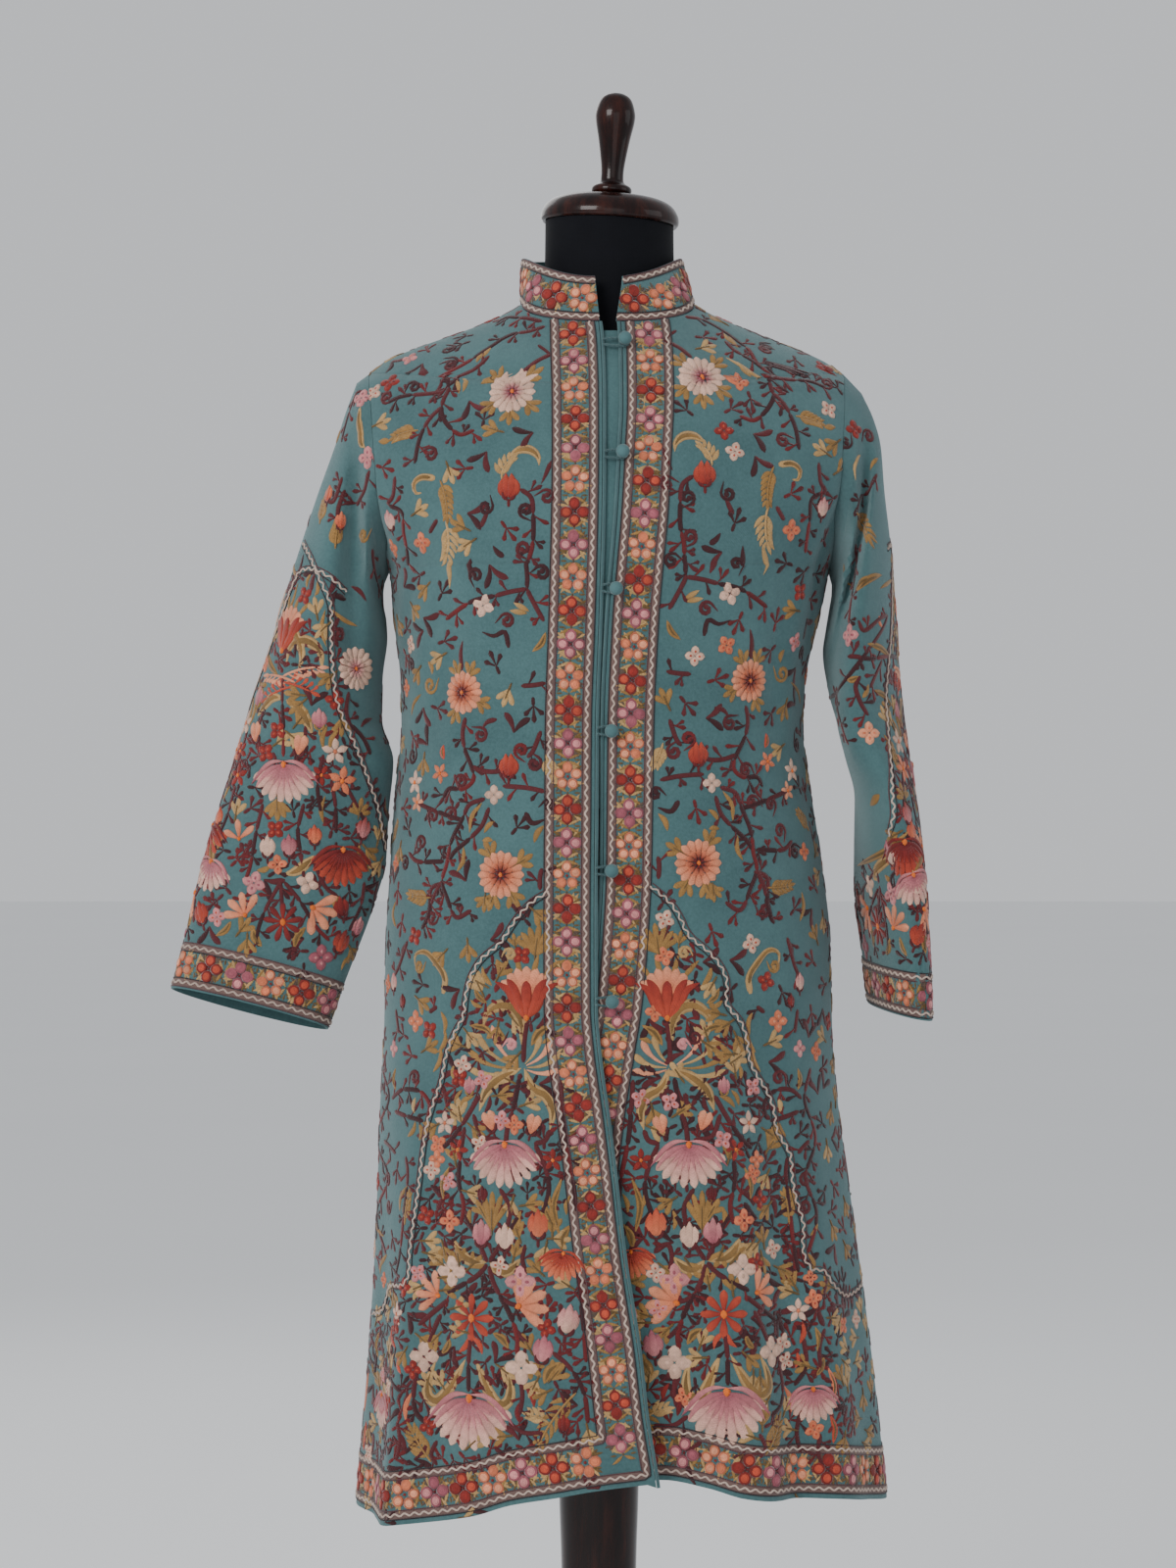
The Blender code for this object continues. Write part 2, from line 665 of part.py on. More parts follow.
def collar():
    """The stand collar, a band leaning in to its top edge, open at the front."""
    base, top = [], []
    angles = neck_angles()
    for i, angle in enumerate(angles):
        z = neck_height(angle)
        foot = body_point(angle, z)
        row = (
            COLLAR_TOP_CENTRE,
            COLLAR_TOP_HALF_WIDTH,
            COLLAR_TOP_FRONT,
            COLLAR_TOP_BACK,
            2.0,
        )
        x, y = section_point(row, angle)
        head = np.array([x, y, z + COLLAR_HEIGHT])
        for end, edge in ((0, 0), (COLLAR_COLUMNS, 1)):
            near = max(1 - abs(i - end) / 3, 0)
            head[0] += near * (COLLAR_EDGE_TOP_X[edge] - head[0]) if near == 1 else 0
        base.append(foot)
        top.append(head)
    base, top = np.array(base), np.array(top)
    up = (top - base) / np.linalg.norm(top - base, axis=-1, keepdims=True)
    base = base + up * (SEAM_GAP + 0.25)
    outer = np.array(
        [base + (top - base) * i / COLLAR_ROWS for i in range(COLLAR_ROWS + 1)]
    )
    around = np.gradient(outer, axis=1)
    inwards = np.cross(around, np.broadcast_to(up, outer.shape))
    inwards /= np.linalg.norm(inwards, axis=-1, keepdims=True)
    middle = outer.mean(axis=(0, 1))
    inwards *= np.sign(np.sum(inwards * (middle - outer)))
    return lofted_wall("collar", outer, outer + CLOTH * inwards, TEAL_WOOL)


def opening_point(z, x, depth, tucked):
    """A point by the opening at height z and x, depth mm under the outer surface."""
    angle = edge_angle(z, x)
    return body_point(angle, z, tucked) - depth * body_normal(angle, z, tucked)


def piping(name, right):
    """The narrow bound edge of one front, from hem to neckline."""
    sign = -1 if right else 1
    points = []
    for z in opening_heights():
        x = smooth_table(EDGES, z)[0 if right else 1] + sign * PIPING_RADIUS
        points.append(opening_point(z, x, CLOTH / 2, not right))
    return tube(name, points, PIPING_RADIUS, TEAL_BINDING, resolution=2)


def placket():
    """The plain strip behind the opening that shows between the upper buttons."""
    outer, inner = [], []
    for z in opening_heights():
        if not PLACKET_BOTTOM_Z < z < PLACKET_TOP_Z:
            continue
        right_x, left_x, tuck = smooth_table(EDGES, z)
        middle = (right_x + left_x) / 2 + 3
        depth = CLOTH + 0.6 + PLACKET_SET_BACK
        row = [
            opening_point(z, middle + x * PLACKET_HALF_WIDTH, depth + tuck, False)
            for x in (-1, -0.33, 0.33, 1)
        ]
        outer.append(row)
        inner.append([p + np.array([0, PLACKET_WALL, 0]) for p in row])
    return lofted_wall("placket", np.array(outer), np.array(inner), TEAL_BINDING)


def button_place(index):
    """Where a button stands on the left front: its foot and the surface's normal."""
    z, x = BUTTONS[index]
    angle = edge_angle(z, x)
    return body_point(angle, z, True), body_normal(angle, z, True)


def button(index):
    """A cloth-covered ball button on its shank."""
    foot, normal = button_place(index)
    arc = [math.radians(a) for a in (-72, -45, -20, 5, 30, 60, 90)]
    profile = [(SHANK_RADIUS, SEAM_GAP + 0.2)]
    profile += [
        (BUTTON_RADIUS * math.cos(a), BUTTON_CENTRE + BUTTON_RADIUS * math.sin(a))
        for a in arc[:-1]
    ]
    profile.append((0, BUTTON_CENTRE + BUTTON_RADIUS))
    made = turned(f"button_{index + 1}", profile, foot, TEAL_BINDING, sides=12)
    made.rotation_euler = Vector(normal).to_track_quat("Z", "Y").to_euler()
    return made


def loop(index):
    """The cord loop that leaves the right front's edge and passes round a button."""
    foot, normal = button_place(index)
    z = BUTTONS[index].z
    angle = edge_angle(z, smooth_table(EDGES, z)[0] - PIPING_RADIUS)
    root = body_point(angle, z) + body_normal(angle, z) * LOOP_ROOT_LEVEL
    across = np.cross(np.array([0, 0, 1.0]), normal)
    across /= np.linalg.norm(across)
    up = np.cross(normal, across)
    level = normal * LOOP_LEVEL
    turn_points = [
        foot
        + level
        + across * LOOP_TURN * math.sin(math.radians(a))
        + up * LOOP_TURN * math.cos(math.radians(a))
        for a in (0, 45, 90, 135, 180)
    ]
    head, tail = root + up * 2.6, root - up * 2.6
    points = [head, (head + turn_points[0]) / 2 + up * 0.6, *turn_points]
    points += [(tail + turn_points[-1]) / 2 - up * 0.6, tail]
    return tube(f"loop_{index + 1}", points, LOOP_RADIUS, TEAL_BINDING)


def form_shoulders():
    """Sections of the form just under the jacket's shoulder seams, which rest on them."""
    sections = []
    for z in SHOULDER_SEAM_Z[:-1]:
        centre, half_width, front, back, square = smooth_table(BODY, z)
        depths = front - FORM_BEHIND_FRONT, back - FORM_BEHIND_BACK
        low = z - FORM_UNDER_SHOULDER
        sections.append(Section(low, centre, half_width, *depths, square))
    return sections


def dress_form():
    """The limbless torso under the jacket, one closed smooth solid."""
    mesh = bpy.data.meshes.new("dress_form")
    shape = bmesh.new()
    rings = []
    lean = math.tan(math.radians(CAP_TILT))
    sections = [*FORM, *form_shoulders(), *FORM_NECK]
    for row in sections:
        ring = []
        for j in range(FORM_SIDES):
            x, y = section_point(row[1:], 360 * j / FORM_SIDES - 180)
            z = row.z - (lean * (x - CAP_CENTRE[0]) if row is sections[-1] else 0)
            ring.append(shape.verts.new((x * MM, y * MM, z * MM)))
        rings.append(ring)
    for low, high in zip(rings, rings[1:]):
        for j in range(FORM_SIDES):
            k = (j + 1) % FORM_SIDES
            shape.faces.new((low[j], low[k], high[k], high[j]))
    shape.faces.new(rings[0])
    shape.faces.new(rings[-1])
    bmesh.ops.recalc_face_normals(shape, faces=shape.faces)
    shape.to_mesh(mesh)
    shape.free()
    return placed("dress_form", mesh, BLACK_JERSEY)


def neck_cap_and_finial():
    """The turned cap on the neck and its handle, both leaning a little to +X."""
    turned("neck_cap", CAP_PROFILE, CAP_CENTRE, DARK_WOOD, tilt=CAP_TILT)
    lean = Matrix.Rotation(math.radians(CAP_TILT), 3, "Y") @ Vector((0, 0, FINIAL_BASE))
    centre = Vector(CAP_CENTRE) + lean
    turned("finial", FINIAL_PROFILE, centre, DARK_WOOD, tilt=CAP_TILT)


def stand():
    """The pole under the torso and its round foot."""
    turned("foot", FOOT_PROFILE, (0, 0, 0), DARK_WOOD, sides=48)
    turned("pole", POLE_PROFILE, (0, 0, POLE_BOTTOM_Z), DARK_WOOD)


def main():
    """Clears the scene and builds the jacket, the form and the stand."""
    for old in list(bpy.data.objects):
        bpy.data.objects.remove(old)
    group = bpy.data.collections.new("long_jacket")
    bpy.context.scene.collection.children.link(group)
    front_panel("front_right", right=True)
    front_panel("front_left", right=False)
    back_panel()
    sleeve("sleeve_right", RIGHT_SLEEVE, -1)
    sleeve("sleeve_left", LEFT_SLEEVE, 1)
    collar()
    piping("piping_right", right=True)
    piping("piping_left", right=False)
    placket()
    for index in range(len(BUTTONS)):
        button(index)
        loop(index)
    dress_form()
    neck_cap_and_finial()
    stand()


main()
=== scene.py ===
"""Long embroidered jacket on a dress form: its looks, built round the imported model.

Tables are in millimetres and degrees, and places read off the front view are in sheet units.
What is made is in metres, +Z up, with the jacket's front facing -Y. Left and right are the
wearer's: the right front lies on top and shows at -X.
"""

import logging
import math
from dataclasses import dataclass, field
from enum import Enum
from typing import Any, Callable, Sequence

import bpy
import numpy as np
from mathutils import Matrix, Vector


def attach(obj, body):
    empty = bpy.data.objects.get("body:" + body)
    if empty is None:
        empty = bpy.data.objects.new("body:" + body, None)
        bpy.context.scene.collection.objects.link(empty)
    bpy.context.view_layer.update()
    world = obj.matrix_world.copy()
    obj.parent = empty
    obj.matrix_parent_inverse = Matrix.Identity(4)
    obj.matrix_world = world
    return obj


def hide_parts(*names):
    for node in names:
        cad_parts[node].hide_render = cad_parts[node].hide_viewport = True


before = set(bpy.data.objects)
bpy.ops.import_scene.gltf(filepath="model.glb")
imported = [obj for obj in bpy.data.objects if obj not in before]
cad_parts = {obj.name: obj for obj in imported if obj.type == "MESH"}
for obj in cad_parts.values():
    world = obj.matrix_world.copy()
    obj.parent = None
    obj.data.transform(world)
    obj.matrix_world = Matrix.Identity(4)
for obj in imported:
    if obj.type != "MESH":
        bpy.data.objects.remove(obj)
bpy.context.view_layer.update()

FINISHED = "_finished"
LOG = logging.getLogger("long_jacket")
MM = 0.001
Array = np.ndarray
Table = Sequence[Sequence[float]]
Colour = tuple[float, float, float]

# The front view's sheet: units across and down, and how it is seen
SHEET_CENTRE = (600.0, 800.0)
SHEET_UNIT = 0.88
EYE = (-9.7, -3500.0, 1010.0)
# The back is drawn as the front is, mirrored about its own middle and moved to it
BACK_CENTRE_X = 611.0
BACK_SHIFT = 20.0
# Finding marks on a cloth: the greatest miss, what a hidden point costs, the least facing of
# a seen one, and the row and column that a mark beside the cloth gets
GREATEST_MISS = 9.0
HIDDEN_COST = 400.0
LEAST_FACING = 0.05
AWAY = -99.0

# Cloth
CLOTH = 2.0
SEAM_GAP = 0.3
ARMPIT_Z = 1200.0
SHOULDER_Z = 1378.0
NECK_SIDE_Z = 1440.0
NECK_FRONT_Z = 1416.0
NECK_BACK_Z = 1447.0
ARMHOLE_X_BOTTOM = 197.0
ARMHOLE_X_TOP = 212.2
PIPING_RADIUS = 1.6
SHOULDER_SEAM = (1378, 1394, 1405, 1415, 1426, 1440)
ARMHOLE_ROWS = 45

# z, centre, half width, front, back, squareness
BODY = (
    (340, 20.5, 241.0, 153, 151, 2.25),
    (401, 20.0, 235.4, 150, 147, 2.25),
    (482, 19.0, 227.7, 147, 143, 2.25),
    (570, 16.5, 219.0, 144, 139, 2.25),
    (657, 12.5, 211.0, 141, 136, 2.25),
    (728, 9.0, 205.0, 139, 134, 2.25),
    (787, 8.3, 201.0, 137, 132, 2.25),
    (868, 8.3, 199.3, 135, 128, 2.25),
    (949, 6.0, 192.5, 134, 118, 2.25),
    (1010, 3.5, 185.7, 133, 108, 2.25),
    (1060, 3.0, 180.0, 133, 102, 2.3),
    (1101, 3.7, 181.5, 135, 102, 2.3),
    (1164, 7.0, 191.8, 139, 106, 2.3),
    (1200, 9.0, 197.0, 141, 109, 2.3),
    (1220, 9.0, 205.0, 141, 110, 2.3),
    (1250, 9.0, 219.0, 139, 112, 2.3),
    (1280, 8.5, 232.0, 134, 112, 2.3),
    (1310, 8.0, 238.0, 125, 110, 2.25),
    (1335, 8.0, 240.0, 115, 104, 2.1),
    (1360, 7.0, 235.0, 104, 94, 1.95),
    (1378, 6.5, 212.2, 97, 86, 1.85),
    (1390, 5.0, 195.5, 91, 79, 1.75),
    (1400, 5.0, 171.5, 87, 75, 1.7),
    (1410, 7.0, 145.5, 83, 71, 1.7),
    (1420, 8.0, 118.0, 80, 68, 1.8),
    (1430, 8.0, 94.5, 79, 66, 1.9),
    (1440, 8.0, 77.5, 78, 64, 2.0),
    (1465, 8.0, 68.0, 78, 62, 2.0),
)
# angle, z
HEM = (
    (-180, 372),
    (-130, 370),
    (-90, 366),
    (-55, 363),
    (-48, 366),
    (-30, 377),
    (-21, 388),
    (-11, 396),
    (-3, 403),
    (6, 408),
    (16, 402),
    (22, 395),
    (30, 391),
    (47, 388),
    (65, 380),
    (90, 372),
    (130, 372),
    (180, 372),
)
# angle, width, top, rise
FOLDS = (
    (-53, 7, 760, 13),
    (-74, 9, 800, -9),
    (-4, 12, 820, 6),
    (26, 9, 900, 11),
    (39, 6, 820, -11),
    (52, 8, 900, 7),
    (70, 9, 760, -5),
    (112, 9, 860, 8),
    (131, 9, 900, -8),
    (152, 10, 940, 9),
    (174, 10, 900, -9),
    (-112, 9, 840, -7),
    (-133, 10, 920, 9),
    (-156, 10, 900, -7),
)
# Finer creases: angle, z, reach round, reach up, lean in degrees for each mm up, depth
CREASES = (
    (-47, 1100, 3.5, 46, 0.16, -2.2),
    (-40, 1075, 4.0, 40, 0.17, 1.6),
    (-58, 1130, 4.0, 38, 0.14, 1.8),
    (-66, 1155, 3.0, 34, 0.18, -2.4),
    (-72, 1230, 3.0, 46, 0.04, -2.6),
    (-62, 1255, 4.0, 60, 0.03, 1.8),
    (60, 1140, 5.0, 75, -0.05, 2.0),
    (52, 1120, 4.0, 70, -0.04, -1.8),
    (70, 1165, 3.5, 60, -0.07, -2.0),
    (66, 1235, 3.0, 50, -0.05, -2.4),
    (58, 1260, 4.0, 55, -0.04, 1.6),
    (30, 1085, 6.0, 34, -0.12, 1.3),
    (-20, 1090, 5.0, 30, 0.12, 1.0),
    (-14, 1330, 6.0, 30, 0.22, 1.0),
    (20, 1335, 6.0, 30, -0.22, 1.0),
    (-40, 960, 5.0, 60, 0.05, 1.3),
    (44, 950, 5.0, 70, -0.06, 1.6),
    (75, 990, 5.0, 60, -0.05, -1.8),
    (-78, 1000, 5.0, 60, 0.05, -1.8),
    (118, 1080, 6.0, 50, 0.10, 2.0),
    (140, 1070, 5.0, 46, -0.10, -1.8),
    (165, 1090, 6.0, 40, 0.10, 1.6),
    (-118, 1075, 6.0, 50, -0.10, 2.0),
    (-141, 1085, 5.0, 46, 0.12, -1.8),
    (-166, 1065, 6.0, 40, -0.08, 1.5),
    (104, 1235, 4.0, 50, 0.06, -2.4),
    (-104, 1235, 4.0, 50, -0.06, -2.4),
    (150, 1330, 7.0, 28, -0.15, 1.4),
    (-150, 1330, 7.0, 28, 0.15, 1.4),
)
# z, right edge's x, left edge's x, how far the left front is tucked under
EDGES = (
    (340, 60, -56, 25),
    (408, 52, -50, 22),
    (465, 43, -46, 19),
    (522, 36.5, -42, 17),
    (603, 24, -37, 14),
    (672, 16, -30, 11),
    (716, 10.5, -25, 9),
    (785, 1.3, -14, 6.5),
    (816, -1, -9, 5.6),
    (880, -1.2, -3, 4.8),
    (935, -1, 0, 4.3),
    (980, -0.5, 0.4, 4),
    (1060, 0, 0.9, 1.6),
    (1150, 3, 4.6, 0),
    (1200, 4.5, 8.6, 0),
    (1243, 5.6, 12.3, 0),
    (1300, 6.2, 15.5, 0),
    (1345, 6.2, 17.5, 0),
    (1395, 5, 17, 0),
    (1430, 1, 14.5, 0),
)
TUCK_FULL_ANGLE = 7.0
TUCK_END_ANGLE = 24.0

# Sleeves: outer x, z, inner x, z, depth, centre y, twist, drop, groove, groove at
RIGHT_SLEEVE = (
    (-216.5, 1369, -192.3, 1189.5, 69, -6, 0, 0, 5, 80),
    (-226, 1344, -193.5, 1180, 70, -6, 0, 0, 13, 82),
    (-236, 1313, -193.0, 1169, 70, -6, 0, 0, 17, 88),
    (-251, 1271, -190.5, 1156, 69, -7, 0, 0, 17, 98),
    (-266.5, 1224, -189.5, 1139, 68, -9, 0, 0, 12, 108),
    (-280, 1181, -193.5, 1105, 65, -12, 0, 0, 6, 120),
    (-296.5, 1124, -194.5, 1068, 60, -15, 0, 0, 0, 120),
    (-313, 1073, -183.5, 1030, 52, -18, 0, 0, 0, 120),
    (-328, 1023, -187.5, 984, 44, -21, 0, 2, 0, 120),
    (-343, 974, -189.5, 944, 38, -24, 0, 4, 0, 120),
    (-356.5, 926, -199.5, 905, 34, -26, 0, 6, 0, 120),
    (-370.5, 867, -226.0, 834, 32, -28, 0, 10, 0, 120),
    (-381, 828, -241.0, 792, 30, -30, 0, 13, 0, 120),
)
LEFT_SLEEVE = (
    (235, 1360, 209.5, 1187, 69, -6, 0, 0, 5, 50),
    (245.5, 1337, 209.0, 1176, 71, -6, -4, 0, 14, 55),
    (252, 1313, 206.5, 1162, 73, -6, -7, 0, 18, 72),
    (255.5, 1274, 203.5, 1146, 75, -6, -10, 0, 18, 96),
    (261, 1230, 200.5, 1126, 78, -7, -12, 0, 14, 120),
    (266, 1177, 203.0, 1098, 80, -8, -14, 0, 7, 140),
    (271, 1115, 209.5, 1066, 80, -9, -16, 0, 0, 140),
    (276.5, 1058, 219.5, 1031, 80, -10, -10, 0, 0, 140),
    (282, 1010, 229.0, 997, 79, -10, -2, 0, 0, 140),
    (286, 963, 230.5, 950, 78, -10, 8, -2, 0, 140),
    (289, 923, 231.5, 917, 77, -10, 13, -3, 0, 140),
    (291.5, 877, 236.0, 878, 75, -10, 13, -4, 0, 140),
    (294, 838, 240.0, 843, 72, -10, 14, -5, 0, 140),
    (294.5, 804, 244.0, 810, 70, -10, 15, -6, 0, 140),
)
GROOVE_WIDTH = 20.0

# Creases of a sleeve: millimetres along it, degrees round it, reach along, reach round,
# lean, depth
RIGHT_CREASES = (
    (40, 60, 26, 16, 0.3, -3.0),
    (70, 110, 30, 14, -0.3, -3.0),
    (120, 70, 26, 16, 0.35, 2.0),
    (165, 120, 24, 16, 0.5, -3.0),
    (200, 100, 24, 14, 0.4, 2.4),
    (240, 60, 26, 14, -0.3, 2.0),
    (262, 130, 20, 18, 0.6, -3.2),
    (300, 95, 22, 14, 0.4, 2.6),
    (330, 60, 24, 14, -0.3, -2.4),
    (372, 110, 20, 15, 0.5, 2.6),
    (395, 70, 22, 14, 0.3, -2.6),
    (440, 120, 26, 14, 0.4, 2.2),
    (480, 60, 30, 12, -0.2, 1.8),
    (130, 250, 30, 20, 0.4, -2.6),
    (220, 280, 30, 20, -0.4, 2.4),
    (300, 240, 28, 18, 0.4, -2.6),
    (380, 290, 28, 18, -0.3, 2.2),
)
LEFT_CREASES = (
    (40, 70, 26, 16, 0.3, -3.0),
    (72, 110, 30, 14, -0.3, -3.0),
    (130, 80, 26, 16, 0.35, 2.0),
    (180, 140, 24, 16, 0.5, -3.0),
    (225, 110, 24, 14, 0.4, 2.4),
    (262, 75, 26, 14, 0.5, 2.4),
    (285, 110, 16, 24, 0.6, -3.4),
    (310, 95, 22, 16, 0.5, 3.0),
    (340, 130, 24, 14, 0.2, -2.4),
    (378, 90, 30, 10, 0.0, -3.0),
    (440, 88, 40, 9, 0.0, -3.0),
    (130, 250, 30, 20, 0.4, -2.6),
    (220, 280, 30, 20, -0.4, 2.4),
    (300, 240, 28, 18, 0.4, -2.6),
    (380, 290, 28, 18, -0.3, 2.2),
)

# z, centre, half width, front, back, squareness
FORM = (
    (800, 3.0, 142, 86, 98, 2.2),
    (870, 3.0, 150, 92, 104, 2.2),
    (950, 3.0, 142, 92, 94, 2.2),
    (1010, 3.0, 128, 88, 82, 2.2),
    (1060, 3.0, 121, 88, 75, 2.2),
    (1120, 4.0, 129, 98, 80, 2.2),
    (1200, 7.0, 152, 116, 90, 2.2),
    (1260, 8.0, 170, 114, 95, 2.2),
    (1310, 8.0, 179, 101, 93, 2.1),
    (1345, 7.0, 185, 91, 86, 2.0),
    (1372, 6.0, 188, 82, 76, 1.85),
    (1391.2, 5.0, 187.0, 72, 60, 1.74),
    (1402.2, 5.5, 158.0, 68, 56, 1.7),
    (1412.2, 7.5, 132.0, 65, 53, 1.74),
    (1423.2, 8.0, 103.0, 62, 50, 1.86),
    (1438, 8.5, 71, 60, 55, 2.0),
    (1452, 9.0, 61, 58, 54, 2.0),
    (1475, 9.5, 58, 57.5, 54, 2.0),
    (1512, 9.5, 57.5, 57.5, 54, 2.0),
)
CAP_CENTRE = (9.7, 1.0, 1512.35)
CAP_TILT = 3.0
CAP_PROFILE = ((60, 0), (62, 3), (61, 10), (55, 18), (43, 23), (20, 25), (0, 25))
FINIAL_BASE = 25.3
FINIAL_PROFILE = (
    (12, 0),
    (17.5, 3),
    (17.5, 8),
    (11.5, 12),
    (10.2, 17),
    (10.7, 28),
    (14.2, 50),
    (17.6, 67),
    (17.6, 76),
    (13.8, 87),
    (7.5, 91.8),
    (0, 93),
)
FOOT_PROFILE = ((192, 0), (195, 4), (195, 16), (185, 24), (120, 31), (62, 38), (0, 38))
POLE_BOTTOM_Z = 38.3
POLE_PROFILE = (
    (46, 0),
    (46, 14),
    (33, 30),
    (31, 90),
    (33.5, 262),
    (35.5, 330),
    (35.5, 372),
    (27, 392),
    (19, 405),
    (19, 761.4),
)

# Collar
COLLAR_HEIGHT = 41.0
COLLAR_TOP = (2.6, 71.3, 72.0, 62.0, 2.0)
COLLAR_EDGE_BASE_X = (0.6, 14.8)
COLLAR_EDGE_TOP_X = (-3.7, 21.3)

# Buttons: z, x
BUTTONS = ((1396, 22), (1294.5, 20.3), (1179, 14.5), (1056, 10.6), (935, 10.8), (822, 11.2))
BUTTON_RADIUS = 6.0
BUTTON_CENTRE = 9.4
SHANK_RADIUS = 1.8
LOOP_RADIUS = 1.2
LOOP_TURN = 3.6
LOOP_LEVEL = 1.8
LOOP_ROOT_LEVEL = 2.9
# A twisted strand's radius and its distance from the cord's middle, as shares of the cord's
# radius
STRAND_RADIUS = 0.56
STRAND_OFF = 0.5

PLACKET_HALF_WIDTH = 15.0
PLACKET_SET_BACK = 0.5
PLACKET_TOP_Z = 1410.0
PLACKET_BOTTOM_Z = 985.0

# Needlework: side, height and colour factor of each point of a stroke's section, the factor
# halving the colour at the edges as painted shade where the yarn dips into the cloth; the most
# faces of a piece, and how deep a stroke's rim sits in the cloth
CROSS = ((-1, 0.0, 0.5), (-0.58, 0.86, 1.0), (0.58, 0.86, 1.0), (1, 0.0, 0.5))
PIECE_FACES = 85000
STITCH_SINK = 0.18
# Millimetres from step to step of a stroke, steps added at its ends, its fewest and most
# points, and the share of its marks that may lie beside the cloth
STROKE_STEP = 4.0
STROKE_EXTRA = 4
STROKE_POINTS = (5, 61)
STROKE_OUTSIDE = 0.34
# A stroke's ends: the share of its height there, and the share of its run over which that
# would rise from nothing to the whole
END_HEIGHT = 0.35
END_RUN = 0.12
# A vine's stem is laid in parts of this length, with this many steps each
STEM_PART = 26.0
STEM_STEPS = 8
# Small sprigs: bare millimetres round each, and how many places are tried
ARCH_FILL = (4.6, 7500)
FRONT_SIDE_FILL = (11, 2600)
BACK_ARCH_FILL = (5.0, 9000)
BACK_SIDE_FILL = (11, 2200)
SLEEVE_FILL = (5.6, 4200)
# The kinds among them: up to the first share sprigs, up to the second pairs of leaves, up to
# the third palmate leaves, and the rest blossoms
FILL_KINDS = (0.5, 0.64, 0.9)
# Where they begin beside the opening's border, below and above the arch's top
FILL_INSIDE = 51.0
FILL_OUTSIDE = 54.0
# How far up from the hem they begin inside an arch
ARCH_FOOT = 50.0
# The back's columns where they begin, meet and end
BACK_FILL_COLUMNS = (2.0, 53.0, 105.0)

# Place down the sheet, the drawing's middle line there, and how far down the left half's
# marks are moved
LEAN_IN = ((390, 619.5, -15), (700, 618.5, -12), (890, 612, -12), (1000, 609, 0),
           (1180, 609, 0), (1445, 610.5, -7))
# The cream braid's arches on the fronts and on a sleeve, as marks on the sheet
RIGHT_ARCH = ((560, 910), (542, 921), (526, 939), (510, 963), (491, 979), (480, 998), (475, 1019),
              (473, 1038), (464, 1054), (455, 1078), (451, 1102), (443, 1124), (436, 1148),
              (431, 1180), (427, 1215), (424, 1236), (421, 1256), (418, 1281), (414, 1309),
              (398, 1312), (395, 1325), (389, 1339), (381, 1340), (377, 1350))
LEFT_ARCH = ((664, 904), (683, 920), (694, 936), (703, 955), (723, 971), (736, 987), (742, 1003),
             (741, 1025), (755, 1041), (762, 1062), (766, 1086), (782, 1113), (790, 1134),
             (792, 1153), (806, 1177), (808, 1201), (812, 1223), (820, 1250), (819, 1274),
             (827, 1295), (841, 1296), (850, 1311), (864, 1322), (879, 1309))
SLEEVE_ARCH = ((310, 554), (319, 573), (335, 609), (338, 627), (338, 663), (341, 697), (348, 728),
               (360, 755), (374, 791), (386, 827), (390, 850), (396, 868))
# A mark on the right sleeve's middle line, about which its drawing is folded
SLEEVE_MIDDLE = (289, 720)
# Rows of the left sleeve, and the columns by which its drawing is turned there
SLEEVE_TURN = ((0, 15.0), (23, 15.0), (31, -15.0), (60, -18.0), (200, -18.0))

# Name, place and target in metres, size in metres, power in watts, colour
LIGHTS = (
    ("window", (-1.9, -2.6, 2.5), (0, 0, 1.05), 1.6, 90, (1.0, 0.985, 0.965)),
    ("front", (0.5, -4.4, 1.5), (0, 0, 0.95), 2.6, 18, (1.0, 0.99, 0.975)),
    ("right", (2.9, -0.6, 1.9), (0, 0, 1.0), 1.8, 12, (0.97, 0.985, 1.0)),
    ("behind", (-1.2, 3.0, 2.6), (0, 0, 1.1), 2.2, 20, (1.0, 0.99, 0.98)),
)
ROOM_COLOUR = (0.66, 0.675, 0.70, 1.0)
SENSOR = 36.0


class Wool(Enum):
    """The yarn colours of the embroidery, as sRGB out of 255."""

    CREAM = (222, 182, 160)
    IVORY = (232, 190, 168)
    PEACH = (220, 126, 88)
    SALMON = (234, 158, 122)
    CORAL = (192, 78, 52)
    RED = (146, 42, 34)
    CRIMSON = (112, 28, 32)
    PINK = (212, 140, 140)
    MAUVE = (168, 92, 104)
    MAROON = (96, 32, 38)
    WINE = (68, 24, 30)
    GOLD = (160, 122, 68)
    OCHRE = (190, 154, 102)
    OLIVE = (116, 90, 50)
    ORANGE = (236, 120, 34)
    TAUPE = (100, 82, 70)

    @property
    def linear(self) -> Array:
        """The colour as linear RGB, deepened a little, because raised yarn catches more light."""
        flat = np.array(linear(self.value))
        return np.maximum(flat.mean() + (flat - flat.mean()) * 0.98, 0.003) ** 1.08


def linear(srgb: Sequence[float]) -> Array:
    """Linear RGB of an sRGB colour out of 255."""
    share = np.array(srgb, float) / 255
    return np.where(share <= 0.04045, share / 12.92, ((share + 0.055) / 1.055) ** 2.4)


def signed_power(base: Array, power: Array) -> Array:
    """The power of a number's size, with the number's sign."""
    return np.sign(base) * np.abs(base) ** power


